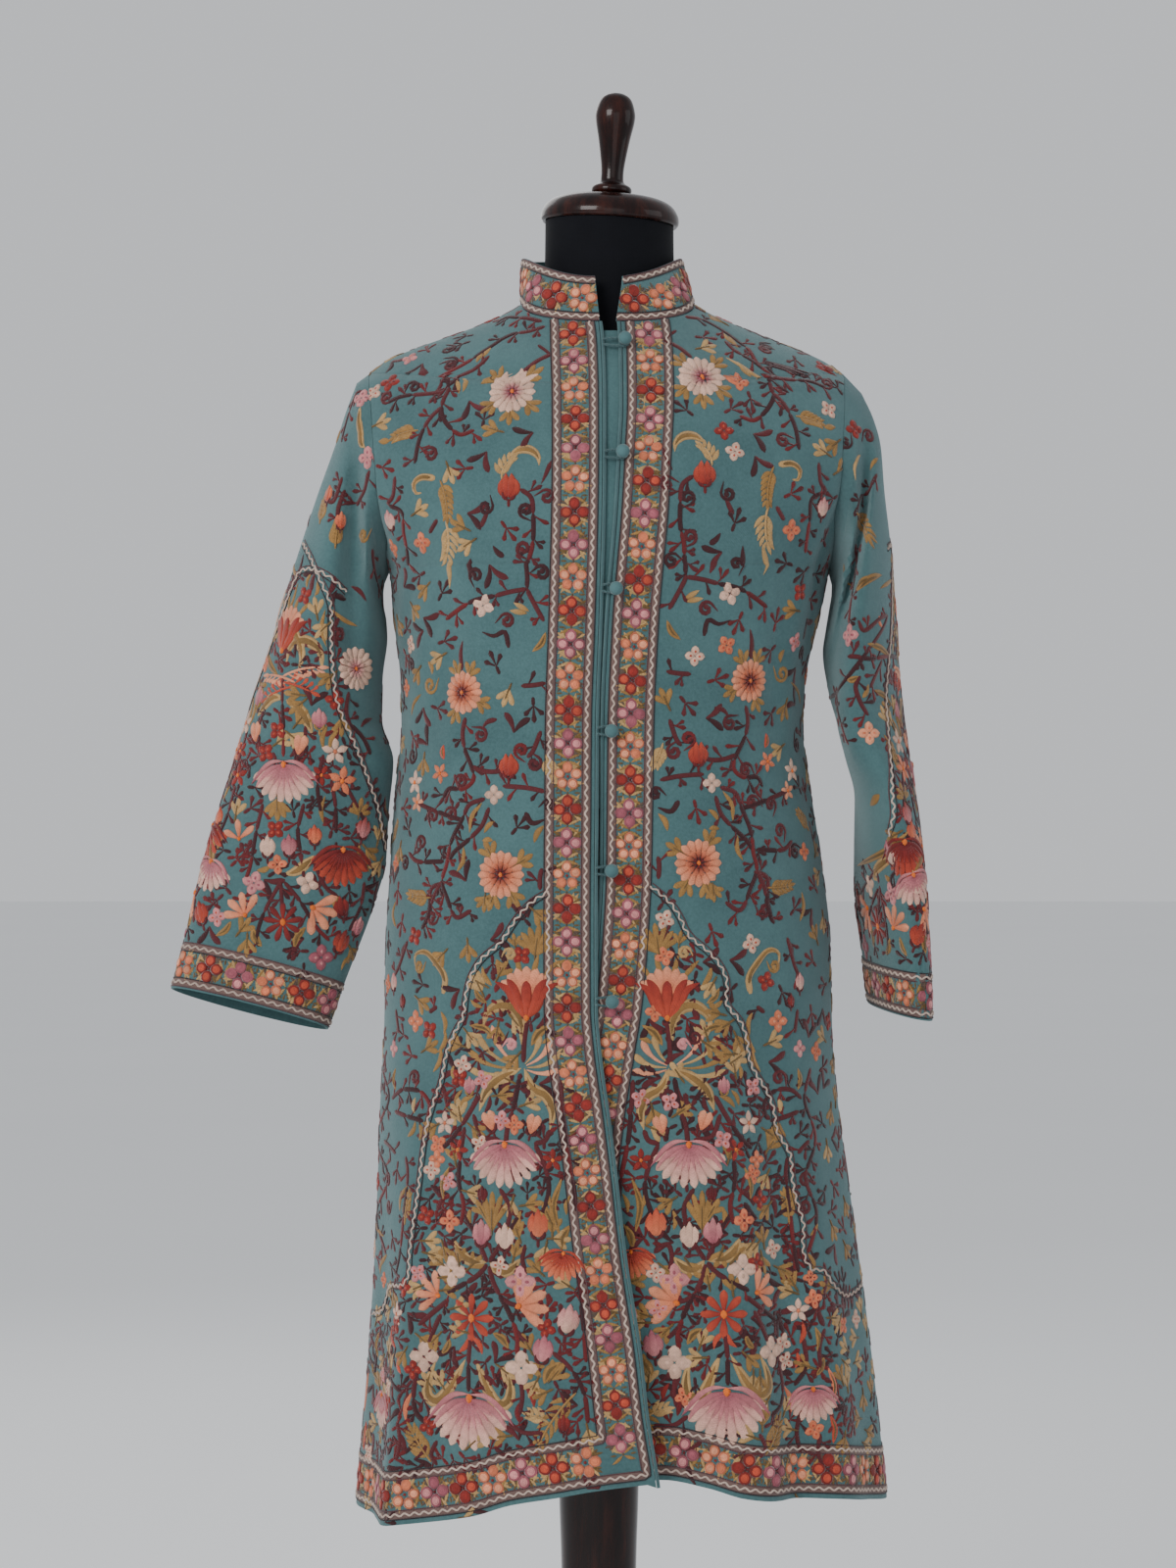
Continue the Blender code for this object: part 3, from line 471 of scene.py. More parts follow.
def curve(rows: Table, at: Any) -> Array:
    """Columns of a table on a smooth curve without overshoot.

    Args:
        rows: rows of numbers, the first of each being the position.
        at: the positions wanted, of any shape.

    Returns:
        An array with one more axis than at, for the table's other columns.
    """
    table = np.array(rows, float)
    x, y = table[:, 0], table[:, 1:]
    at = np.clip(np.asarray(at, float), x[0], x[-1])
    slope = np.diff(y, axis=0) / np.diff(x)[:, None]
    low, high = slope[:-1], slope[1:]
    same_way = low * high > 0
    total = np.where(same_way, low + high, 1.0)
    middle = np.where(same_way, 2 * low * high / total, 0.0)
    tangent = np.vstack([slope[:1], middle, slope[-1:]])
    i = np.clip(np.searchsorted(x, at, side="right") - 1, 0, len(x) - 2)
    h = (x[i + 1] - x[i])[..., None]
    t = (at - x[i])[..., None] / h
    return (
        (1 + 2 * t) * (1 - t) ** 2 * y[i]
        + t * t * (3 - 2 * t) * y[i + 1]
        + t * (1 - t) ** 2 * h * tangent[i]
        + t * t * (t - 1) * h * tangent[i + 1]
    )


def through(points: Sequence[Sequence[float]], count: int) -> Array:
    """Points evenly spaced along a smooth curve through a few given ones."""
    points = np.array(points, float)
    if len(points) == 2:
        return points[0] + (points[1] - points[0]) * np.linspace(0, 1, count)[:, None]
    ends = [2 * points[0] - points[1], *points, 2 * points[-1] - points[-2]]
    ends = np.array(ends)
    fine = []
    for k in range(len(points) - 1):
        a, b, c, d = ends[k : k + 4]
        t = np.linspace(0, 1, 12, endpoint=False)[:, None]
        fine.append(
            0.5
            * (
                2 * b
                + (c - a) * t
                + (2 * a - 5 * b + 4 * c - d) * t * t
                + (3 * b - a - 3 * c + d) * t**3
            )
        )
    fine = np.vstack([*fine, points[-1:]])
    along = np.r_[0, np.cumsum(np.linalg.norm(np.diff(fine, axis=0), axis=1))]
    want = np.linspace(0, along[-1], count)
    return np.stack([np.interp(want, along, fine[:, k]) for k in range(fine.shape[1])], 1)


def unit(vectors: Array) -> Array:
    """The vectors at length one."""
    return vectors / np.maximum(np.linalg.norm(vectors, axis=-1, keepdims=True), 1e-9)


def section_point(columns: Array, angle: Array) -> tuple[Array, Array]:
    """x and y on sections at angles from the front, positive to +X."""
    centre, half_width, front, back, square = np.moveaxis(columns, -1, 0)
    sine, cosine = np.sin(np.radians(angle)), np.cos(np.radians(angle))
    depth = np.where(cosine > 0, front, back)
    return (
        centre + half_width * signed_power(sine, 2 / square),
        -depth * signed_power(cosine, 2 / square),
    )


def fold_rise(angle: Array, z: Array) -> Array:
    """How far folds and creases stand out from the plain section."""
    rise = np.zeros(np.broadcast(angle, z).shape)
    for at, width, top, height in FOLDS:
        away = (angle - at + 180) % 360 - 180
        reach = np.clip((top - z) / (top - 380), 0, 1.15)
        rise = rise + height * reach * np.exp(-((away / width) ** 2))
    for at, level, width, tall, lean, depth in CREASES:
        away = (angle - at - lean * (z - level) + 180) % 360 - 180
        rise = rise + depth * np.exp(-((away / width) ** 2) - ((z - level) / tall) ** 2)
    return rise


def body_point(angle: Any, z: Any, tucked: bool = False) -> Array:
    """Points of the jacket's outer surface.

    Args:
        angle: degrees round the body, 0 at the centre front.
        z: heights.
        tucked: whether the left front's tuck under the right one applies.

    Returns:
        Points, with one more axis than angle and z.
    """
    angle, z = np.broadcast_arrays(np.asarray(angle, float), np.asarray(z, float))
    x, y = section_point(curve(BODY, z), angle)
    out = fold_rise(angle, z)
    if tucked:
        share = (TUCK_END_ANGLE - angle) / (TUCK_END_ANGLE - TUCK_FULL_ANGLE)
        share = np.clip(share, 0, 1)
        out = out - curve(EDGES, z)[..., 2] * share * share * (3 - 2 * share)
    turn = np.radians(angle)
    return np.stack([x + out * np.sin(turn), y - out * np.cos(turn), z + 0 * x], -1)


def body_normal(angle: Any, z: Any, tucked: bool = False) -> Array:
    """Outward normals of the jacket's surface."""
    angle, z = np.broadcast_arrays(np.asarray(angle, float), np.asarray(z, float))
    across = body_point(angle + 0.6, z, tucked) - body_point(angle - 0.6, z, tucked)
    up = body_point(angle, z + 2, tucked) - body_point(angle, z - 2, tucked)
    return unit(np.cross(across, up))


def armhole_angle(z: Any) -> Array:
    """The angle at which the armhole cuts a section, or 90 where there is no armhole."""
    z = np.asarray(z, float)
    share = np.clip((z - ARMPIT_Z) / (SHOULDER_Z - ARMPIT_Z), 0, 1)
    armhole_x = ARMHOLE_X_BOTTOM + share * (ARMHOLE_X_TOP - ARMHOLE_X_BOTTOM)
    columns = curve(BODY, z)
    half_width, square = columns[..., 1], columns[..., 4]
    cut = np.degrees(np.arcsin(np.minimum(armhole_x / half_width, 1) ** (square / 2)))
    return np.where((z > ARMPIT_Z) & (z < SHOULDER_Z), cut, 90.0)


def edge_angle(z: Any, x: Any) -> Array:
    """The angle at which a front edge at x cuts a section."""
    columns = curve(BODY, z)
    share = (x - columns[..., 0]) / columns[..., 1]
    turn = np.arcsin(np.abs(share) ** (columns[..., 4] / 2))
    return np.degrees(np.copysign(turn, share))


def side_to_middle(side_z: Any, middle_z: float, across: Any) -> Array:
    """Heights of a row above the armpit, across being 0 at the middle and 1 at the side."""
    share = (side_z - ARMPIT_Z) / (NECK_SIDE_Z - ARMPIT_Z)
    at_middle = ARMPIT_Z + share * (middle_z - ARMPIT_Z)
    return side_z - (side_z - at_middle) * np.cos(np.asarray(across) * math.pi / 2) ** 2


def opening_point(z: Any, x: Any, depth: Any, tucked: bool) -> Array:
    """Points by the opening at heights z and x, depth under the outer surface."""
    angle = edge_angle(z, x)
    depth = np.asarray(depth, float)[..., None]
    return body_point(angle, z, tucked) - depth * body_normal(angle, z, tucked)


def new_piece(
    name: str,
    points: Array,
    faces: Sequence[Sequence[int]] | Array,
    finish: bpy.types.Material,
    uv: Array | None = None,
    colours: Array | None = None,
    sharp: float | None = 40.0,
) -> bpy.types.Object:
    """A mesh object at the origin.

    Args:
        name: the piece's name.
        points: vertices in millimetres.
        faces: vertex numbers, an array of quads or triangles or a list of mixed ones.
        finish: its material.
        uv: a pair in metres for each vertex.
        colours: linear RGB for each vertex, kept in the attribute yarn.
        sharp: the angle above which edges stay sharp, or None for smooth everywhere.

    Returns:
        The object.
    """
    mesh = bpy.data.meshes.new(name)
    if isinstance(faces, np.ndarray):
        count, sides = faces.shape
        mesh.vertices.add(len(points))
        mesh.vertices.foreach_set("co", (np.asarray(points) * MM).astype(np.float32).ravel())
        mesh.loops.add(count * sides)
        mesh.loops.foreach_set("vertex_index", faces.astype(np.int32).ravel())
        mesh.polygons.add(count)
        starts = np.arange(0, count * sides, sides, dtype=np.int32)
        mesh.polygons.foreach_set("loop_start", starts)
        mesh.update(calc_edges=True)
    else:
        mesh.from_pydata([tuple(p * MM) for p in np.asarray(points)], [], list(faces))
    loops = np.empty(len(mesh.loops), np.int32)
    mesh.loops.foreach_get("vertex_index", loops)
    if uv is not None:
        layer = mesh.uv_layers.new(name="weave")
        layer.data.foreach_set("uv", np.asarray(uv, np.float32)[loops].ravel())
    if colours is not None:
        layer = mesh.attributes.new("yarn", "FLOAT_COLOR", "POINT")
        rgba = np.ones((len(points), 4), np.float32)
        rgba[:, :3] = colours
        layer.data.foreach_set("color", rgba.ravel())
    mesh.shade_smooth()
    if sharp is not None:
        mesh.set_sharp_from_angle(angle=math.radians(sharp))
    mesh.materials.append(finish)
    mesh.validate()
    made = bpy.data.objects.new(name, mesh)
    bpy.context.scene.collection.objects.link(made)
    LOG.info("%s: %d faces", name, len(mesh.polygons))
    return made


def grid_quads(number: Array) -> Array:
    """Quads between the neighbouring rows and columns of a grid of point numbers."""
    low, high = number[..., :-1, :], number[..., 1:, :]
    corners = [low[..., :-1], low[..., 1:], high[..., 1:], high[..., :-1]]
    return np.stack(corners, -1).reshape(-1, 4)


def rim_quads(first: Array, second: Array) -> Array:
    """Quads between two lines of point numbers."""
    return np.stack([first[:-1], first[1:], second[1:], second[:-1]], -1)


@dataclass
class Cloth:
    """A cut piece of cloth, as a fine grid of points on its outer side.

    Attributes:
        name: the node that it stands for.
        points: rows by columns of points.
        normals: outward normals of the points.
        ring: whether the columns close into a tube.
        rests_on: what carries it.
        inner: points of its hidden side.
        right: the way to the viewer's right along the cloth at each point.
        up: the way up along the cloth at each point.
        steps: rows and columns that a millimetre to the right and a millimetre up go.
        run: millimetres across and along the cloth at each point.
        views: the sheet places of its points, once found.
    """

    name: str
    points: Array
    normals: Array
    ring: bool = False
    held: str = "draped"
    rests_on: tuple[str, ...] = ("dress_form",)
    inner: Array | None = None
    right: Array = field(init=False)
    up: Array = field(init=False)
    steps: Array = field(init=False)
    run: Array = field(init=False)
    views: dict = field(default_factory=dict)

    def __post_init__(self) -> None:
        """Works out directions at each point, and how far one step of the grid goes."""
        grid = self.points
        along = np.gradient(grid, axis=0)
        if self.ring:
            around = (np.roll(grid, -1, axis=1) - np.roll(grid, 1, axis=1)) / 2
        else:
            around = np.gradient(grid, axis=1)
        upright = np.array([0, 0, 1.0])
        lean = np.sum(self.normals * upright, axis=-1, keepdims=True)
        self.up = unit(upright - lean * self.normals)
        self.right = np.cross(self.up, self.normals)
        rows = np.stack([along, around], axis=-1)
        pair = np.stack([self.right, self.up], axis=-1)
        gram = np.einsum("...ki,...kj->...ij", rows, rows)
        self.steps = np.linalg.solve(gram, np.einsum("...ki,...kj->...ij", rows, pair))
        if self.inner is None:
            self.inner = grid - CLOTH * self.normals
        wide = np.linalg.norm(around, axis=-1)
        tall = np.linalg.norm(along, axis=-1)
        across = np.cumsum(wide, axis=1) - wide
        middle = tall.mean(axis=1)
        height = np.broadcast_to((np.cumsum(middle) - middle)[:, None], across.shape)
        self.run = np.stack([across, height], axis=-1)

    def sample(self, values: Array, place: Array) -> Array:
        """Values of a grid between its points.

        Args:
            values: an array whose first two axes are the grid's rows and columns.
            place: row and column numbers, with fractions, along the last axis.

        Returns:
            The values there.
        """
        rows, columns = self.points.shape[:2]
        r = np.clip(place[..., 0], 0, rows - 1.001)
        c = place[..., 1] % columns if self.ring else np.clip(place[..., 1], 0, columns - 1.001)
        r0, c0 = r.astype(int), c.astype(int)
        c0 = np.minimum(c0, columns - 1)
        c1 = (c0 + 1) % columns if self.ring else np.minimum(c0 + 1, columns - 1)
        extra = (1,) * (values.ndim - 2)
        fr = (r - r0).reshape(r.shape + extra)
        fc = (c - c0).reshape(r.shape + extra)
        low = values[r0, c0] * (1 - fc) + values[r0, c1] * fc
        high = values[r0 + 1, c0] * (1 - fc) + values[r0 + 1, c1] * fc
        return low * (1 - fr) + high * fr

    def moved(self, place: Array, offset: Array) -> Array:
        """Grid places moved by millimetres to the right and up, in short steps."""
        for _ in range(4):
            steps = self.sample(self.steps, place)
            place = place + np.einsum("...ij,...j->...i", steps, offset / 4)
        return place

    def sideways(self, places: Array) -> Array:
        """Rows and columns that a millimetre to the right of lines of grid places goes."""
        here = self.sample(self.points, places)
        normal = unit(self.sample(self.normals, places))
        side = unit(np.cross(unit(np.gradient(here, axis=-2)), normal))
        right, up = self.sample(self.right, places), self.sample(self.up, places)
        way = np.stack([np.sum(side * right, -1), np.sum(side * up, -1)], -1)
        return np.einsum("...ij,...j->...i", self.sample(self.steps, places), way)

    def outside(self, place: Array) -> Array:
        """Whether places lie beyond the cloth's edges."""
        rows, columns = self.points.shape[:2]
        out = (place[..., 0] < 0) | (place[..., 0] > rows - 1)
        if not self.ring:
            out = out | (place[..., 1] < 0) | (place[..., 1] > columns - 1)
        return out

    def seen(self, back: bool = False) -> tuple[Array, Array]:
        """Sheet places of the grid's points, and how far each faces the viewer.

        Args:
            back: whether it is seen from behind, on a sheet of the same scale.

        Returns:
            An array of places across and down, and an array of facings.
        """
        if back in self.views:
            return self.views[back]
        x, y, z = np.moveaxis(self.points, -1, 0)
        if back:
            flat = [BACK_CENTRE_X - x / SHEET_UNIT, SHEET_CENTRE[1] - (z - EYE[2]) / SHEET_UNIT]
            self.views[back] = np.stack(flat, -1), self.normals[..., 1]
            return self.views[back]
        scale = -EYE[1] / ((y - EYE[1]) * SHEET_UNIT)
        flat = [
            SHEET_CENTRE[0] + (x - EYE[0]) * scale,
            SHEET_CENTRE[1] - (z - EYE[2]) * scale,
        ]
        towards = unit(np.array(EYE) - self.points)
        self.views[back] = np.stack(flat, -1), np.sum(self.normals * towards, axis=-1)
        return self.views[back]

    def place(self, marks: Sequence[Sequence[float]], back: bool = False) -> Array:
        """Grid places of marks given on the sheet.

        Args:
            marks: places across and down on the front or back sheet.
            back: whether they are on the back one.

        Returns:
            Row and column numbers, with fractions, or AWAY for marks beside the cloth.
        """
        marks = np.array(marks, float)
        flat, facing = self.seen(back)
        cost = np.where(facing > LEAST_FACING, 0, HIDDEN_COST)
        found = []
        for mark in marks:
            away = np.linalg.norm(flat - mark, axis=-1) + cost
            found.append(np.unravel_index(np.argmin(away), away.shape))
        place = np.array(found, float)
        for _ in range(3):
            here = self.sample(flat, place)
            ahead = self.sample(flat, place + np.array([0.5, 0]))
            behind = self.sample(flat, place - np.array([0.5, 0]))
            right = self.sample(flat, place + np.array([0, 0.5]))
            left = self.sample(flat, place - np.array([0, 0.5]))
            slope = np.stack([ahead - behind, right - left], axis=-1)
            spread = np.linalg.det(slope)
            good = np.abs(spread) > 0.05
            slope = np.where(good[:, None, None], slope, np.eye(2) * 1e6)
            step = np.linalg.solve(slope, (marks - here)[..., None])[..., 0]
            place = place + np.clip(step, -3, 3)
        miss = np.linalg.norm(self.sample(flat, place) - marks, axis=-1)
        return np.where(((miss > GREATEST_MISS) | self.outside(place))[:, None], AWAY, place)

    def heading(self, start: Array, end: Array) -> float:
        """The lean to the right of the way from one grid place to another, in degrees."""
        way = self.sample(self.points, end[None])[0] - self.sample(self.points, start[None])[0]
        right = float(way @ self.sample(self.right, start[None])[0])
        up = float(way @ self.sample(self.up, start[None])[0])
        return math.degrees(math.atan2(right, up))

    def build(self, finish: bpy.types.Material) -> bpy.types.Object:
        """The cloth as a thin closed wall, in its material."""
        rows, columns = self.points.shape[:2]
        front = np.arange(rows * columns).reshape(rows, columns)
        if self.ring:
            front = np.concatenate([front, front[:, :1]], axis=1)
        rear = front + rows * columns
        quads = [
            grid_quads(front),
            grid_quads(rear)[:, [0, 3, 2, 1]],
            rim_quads(front[0], rear[0])[:, [1, 0, 3, 2]],
            rim_quads(front[-1], rear[-1]),
        ]
        if not self.ring:
            quads.append(rim_quads(front[:, 0], rear[:, 0]))
            quads.append(rim_quads(front[:, -1], rear[:, -1])[:, [1, 0, 3, 2]])
        faces = np.concatenate(quads)
        points = np.concatenate([self.points.reshape(-1, 3), self.inner.reshape(-1, 3)])
        run = np.tile(self.run.reshape(-1, 2), (2, 1)) * MM
        made = new_piece(self.name + FINISHED, points, faces, finish, uv=run)
        if not self.facing_out(faces, points):
            made.data.flip_normals()
        return made

    def facing_out(self, faces: Array, points: Array) -> bool:
        """Whether the first wall's faces point the way the cloth's normals do."""
        some = faces[: (self.points.shape[0] - 1)]
        a, b, c = points[some[:, 0]], points[some[:, 1]], points[some[:, 2]]
        way = np.cross(b - a, c - a)
        flat = self.normals.reshape(-1, 3)[some[:, 0]]
        return float(np.sum(way * flat)) > 0

    def cut_size(self) -> tuple[float, float, float]:
        """The flat width, length and area of the cloth, in metres."""
        wide = self.run[:, -1, 0].max()
        tall = self.run[-1, :, 1].max()
        a = self.points[:-1, :-1]
        across = self.points[:-1, 1:] - a
        along = self.points[1:, :-1] - a
        area = np.linalg.norm(np.cross(across, along), axis=-1).sum()
        if self.ring:
            last = self.points[:-1, -1]
            more = np.cross(self.points[:-1, 0] - last, self.points[1:, -1] - last)
            area += np.linalg.norm(more, axis=-1).sum()
            wide += np.linalg.norm(self.points[:, 0] - self.points[:, -1], axis=-1).max()
        return wide * MM, tall * MM, area * MM * MM


def steps_between(marks: Sequence[float], pitch: float) -> Array:
    """Numbers from the first mark to the last, through each, about pitch apart."""
    parts = [
        np.linspace(a, b, max(round(abs(b - a) / pitch), 1), endpoint=False)
        for a, b in zip(marks, marks[1:])
    ]
    return np.concatenate([*parts, [marks[-1]]])


def side_levels() -> Array:
    """Heights of the rows at the side above the armpit."""
    middle, half = (ARMPIT_Z + SHOULDER_Z) / 2, (SHOULDER_Z - ARMPIT_Z) / 2
    share = np.linspace(0, 1, ARMHOLE_ROWS)
    armhole = middle - half * (0.6 * np.cos(math.pi * share) + 0.4 * (1 - 2 * share))
    return np.concatenate([armhole, steps_between(SHOULDER_SEAM, 5)[1:]])


@dataclass
class JacketBody:
    """The fronts and the back.

    Attributes:
        skirt_rows: rows from the hem to the armpit.
        front_columns: columns of a front.
        back_columns: columns of the back.
    """

    skirt_rows: int = 150
    front_columns: int = 62
    back_columns: int = 108

    def front(self, right: bool) -> Cloth:
        """One front of the jacket, from its edge at the opening to the side seam."""
        sign = -1 if right else 1
        across = steps_between((0, 0.15, 1), 1 / (self.front_columns - 1))[None]
        sides = side_levels()[:, None]
        hem_middle = curve(HEM, 0.0)[0]
        edge = curve(EDGES, hem_middle)[0 if right else 1]
        first = edge_angle(hem_middle, edge)
        hem = curve(HEM, first + across * (sign * 90 - first))[..., 0]
        hem = np.where(across == 0, hem_middle, hem)
        share = np.linspace(0, 1, self.skirt_rows, endpoint=False)[:, None]
        below = hem + (ARMPIT_Z - hem) * share
        above = side_to_middle(sides, NECK_FRONT_Z, across)
        z = np.vstack([below, above])
        start = self.start(z[:, :1], right)
        end = np.vstack([np.full_like(share, 90.0), armhole_angle(sides)])
        angle = start + across * (sign * end - start)
        return self.cut("front_right" if right else "front_left", angle, z, not right)

    def back(self) -> Cloth:
        """The back of the jacket, from side seam to side seam."""
        across = np.linspace(-1, 1, self.back_columns)[None]
        sides = side_levels()[:, None]
        hem = curve(HEM, np.copysign(180 - 90 * np.abs(across), across))[..., 0]
        share = np.linspace(0, 1, self.skirt_rows, endpoint=False)[:, None]
        below = hem + (ARMPIT_Z - hem) * share
        above = side_to_middle(sides, NECK_BACK_Z, np.abs(across))
        end = np.vstack([np.full_like(share, 90.0), armhole_angle(sides)])
        return self.cut("back", 180 - across * end, np.vstack([below, above]), False)

    def cut(self, name: str, angle: Array, z: Array, tucked: bool) -> Cloth:
        """The cloth on the body's surface at a grid of angles and heights."""
        points = body_point(angle, z, tucked)
        normals = body_normal(angle, z, tucked)
        inner = points - CLOTH * normals
        for grid in (points, inner):
            for edge, inside in (
                (grid[0], grid[1]),
                (grid[-1], grid[-2]),
                (grid[:, 0], grid[:, 1]),
                (grid[:, -1], grid[:, -2]),
            ):
                edge += unit(inside - edge) * SEAM_GAP / 2
        return Cloth(name, points, normals, inner=inner)

    @staticmethod
    def start(z: Array, right: bool) -> Array:
        """The angle at which a front begins, beside its piping."""
        sign = -1 if right else 1
        edge_x = curve(EDGES, z)[..., 0 if right else 1]
        return edge_angle(z, edge_x + sign * (2 * PIPING_RADIUS + SEAM_GAP))


@dataclass
class SleeveShape:
    """A set-in sleeve, from its armhole to the cuff.

    Attributes:
        name: the node that it stands for.
        table: its rings.
        sign: -1 for the right one and 1 for the left one.
        sides: points round a ring.
        pitch: how far apart the rings are.
        creases: millimetres along, degrees round, reach along, reach round, lean, depth.
    """

    name: str
    table: Table
    sign: int
    sides: int = 84
    pitch: float = 5.0
    creases: Table = ()

    def armhole(self) -> tuple[Array, Array]:
        """Points round the armhole, from the shoulder down the front and up the back."""
        coarse = 40
        middle, half = (ARMPIT_Z + SHOULDER_Z) / 2, (SHOULDER_Z - ARMPIT_Z) / 2
        heights = middle - half * np.cos(np.linspace(0, math.pi, coarse + 1))
        z = np.concatenate([heights[::-1], heights[1:-1]])
        angle = armhole_angle(z)
        angle[coarse + 1 :] = 180 - angle[coarse + 1 :]
        angle = self.sign * angle
        outer, normal = body_point(angle, z), body_normal(angle, z)
        tangent = np.roll(outer, -1, axis=0) - np.roll(outer, 1, axis=0)
        away = unit(np.cross(tangent, normal))
        towards = outer.mean(axis=0) - outer
        away *= np.sign(np.sum(away * towards, axis=-1, keepdims=True))
        want = np.linspace(0, 2 * coarse, self.sides, endpoint=False)
        whole = np.arange(2 * coarse + 1)
        loop = lambda values: np.stack(
            [np.interp(want, whole, np.append(values[:, k], values[0, k])) for k in range(3)], 1
        )
        return loop(outer), loop(away)

    def ring(self, row: Array) -> Array:
        """Points of one ring, starting at its outer side and passing the front."""
        outer_x, outer_z, inner_x, inner_z, deep, centre_y, twist, drop, groove, groove_at = row
        outer, inner = np.array([outer_x, 0, outer_z]), np.array([inner_x, 0, inner_z])
        middle = (outer + inner) / 2 + np.array([0, centre_y, 0])
        reach = np.linalg.norm(outer - inner) / 2
        outwards = (outer - inner) / (2 * reach)
        twist = math.radians(twist) * self.sign
        thin = math.sqrt(max(reach**2 - (deep * math.sin(twist)) ** 2, 1)) / math.cos(twist)
        turn = np.linspace(0, 2 * math.pi, self.sides, endpoint=False)
        away = np.degrees(turn) - groove_at
        shrink = groove * np.exp(-((away / GROOVE_WIDTH) ** 2))
        wide = (thin - shrink * np.abs(np.cos(turn))) * np.cos(turn)
        front = (deep - shrink * np.abs(np.sin(turn))) * np.sin(turn)
        out = wide * math.cos(twist) + front * math.sin(twist)
        forward = front * math.cos(twist) - wide * math.sin(twist)
        points = middle + outwards * out[:, None]
        points[:, 1] -= forward
        points[:, 2] += drop * forward / deep / 2
        return points

    def cut(self) -> Cloth:
        """The sleeve's cloth, with its creases."""
        edge, away = self.armhole()
        spans = [np.linalg.norm(np.array(b[:4]) - np.array(a[:4])) / 1.5 for a, b in zip(
            self.table, self.table[1:]
        )]
        stations = [0, *np.cumsum(spans)]
        rows = [[station, *row] for station, row in zip(stations, self.table)]
        rings = [self.ring(row) for row in curve(rows, steps_between(stations, self.pitch))]
        first = edge + SEAM_GAP * away
        between = [first + (rings[0] - first) * t for t in (0, 0.33, 0.66)]
        grid = np.array([*between, *rings])
        normals = self.normals_of(grid)
        along = np.arange(len(grid))[:, None] * self.pitch
        around = np.degrees(np.linspace(0, 2 * math.pi, self.sides, endpoint=False))[None]
        rise = np.zeros(grid.shape[:2])
        for down, turn, long, wide, lean, depth in self.creases:
            off = (around - turn - lean * (along - down) + 180) % 360 - 180
            rise += depth * np.exp(-(((along - down) / long) ** 2) - (off / wide) ** 2)
        rise *= np.clip(along / 25, 0, 1)
        grid = grid + rise[..., None] * normals
        normals = self.normals_of(grid)
        inwards = -CLOTH * normals
        into = np.minimum(np.sum(inwards[0] * away, axis=-1, keepdims=True), 0)
        inwards[0] -= into * away
        return Cloth(
            self.name,
            grid[::-1],
            normals[::-1],
            ring=True,
            held="hung",
            rests_on=("front_" + self.name[7:], "back"),
            inner=(grid + inwards)[::-1],
        )

    @staticmethod
    def normals_of(rings: Array) -> Array:
        """Outward normals of a tube of rings."""
        around = np.roll(rings, -1, axis=1) - np.roll(rings, 1, axis=1)
        normal = unit(np.cross(around, np.gradient(rings, axis=0)))
        middle = rings.mean(axis=1, keepdims=True)
        facing = np.sum(normal * (rings - middle), axis=(1, 2))
        return normal * np.sign(facing)[:, None, None]


@dataclass
class CollarShape:
    """The stand collar, a band that leans in to its top edge, open at the front."""

    columns: int = 120
    rows: int = 11

    @staticmethod
    def neck_height(angle: Array) -> Array:
        """Height of the neckline at an angle round the body."""
        around = (angle + 180) % 360 - 180
        turn = np.abs(around)
        right = JacketBody.start(np.array(NECK_FRONT_Z), True)
        left = JacketBody.start(np.array(NECK_FRONT_Z), False)
        start = np.abs(np.where(around < 0, right, left))
        front = np.clip((turn - start) / (90 - start), 0, 1)
        return np.where(
            turn > 90,
            side_to_middle(NECK_SIDE_Z, NECK_BACK_Z, (180 - turn) / 90),
            side_to_middle(NECK_SIDE_Z, NECK_FRONT_Z, front),
        )

    def cut(self) -> Cloth:
        """The collar's cloth, from the right front edge round the back to the left one."""
        first = edge_angle(NECK_FRONT_Z, COLLAR_EDGE_BASE_X[0])
        last = edge_angle(NECK_FRONT_Z, COLLAR_EDGE_BASE_X[1])
        angle = np.linspace(first, last - 360, self.columns)
        z = self.neck_height(angle)
        foot = body_point(angle, z)
        x, y = section_point(np.array(COLLAR_TOP), angle)
        near = np.clip(1 - np.arange(self.columns) / (self.columns / 28), 0, 1)
        x = x + near * (COLLAR_EDGE_TOP_X[0] - x[0]) + near[::-1] * (COLLAR_EDGE_TOP_X[1] - x[-1])
        head = np.stack([x, y, z + COLLAR_HEIGHT], -1)
        up = unit(head - foot)
        foot = foot + up * (SEAM_GAP + 0.25)
        share = np.linspace(0, 1, self.rows)[:, None, None]
        grid = foot + (head - foot) * share
        bulge = 0.8 * np.sin(np.pi * share)
        around = np.gradient(grid, axis=1)
        normals = unit(np.cross(around, np.broadcast_to(up, grid.shape)))
        middle = grid.mean(axis=(0, 1))
        normals *= np.sign(np.sum(normals * (grid - middle)))
        return Cloth("collar", grid + bulge * normals, normals, rests_on=("neckline",))


def plug(tree: bpy.types.NodeTree, socket: Any, value: Any) -> None:
    """Links a value to a node's input, or sets the input where it is no link."""
    if isinstance(value, Wire):
        value = value.socket
    if isinstance(value, bpy.types.NodeSocket):
        tree.links.new(value, socket)
    else:
        socket.default_value = value


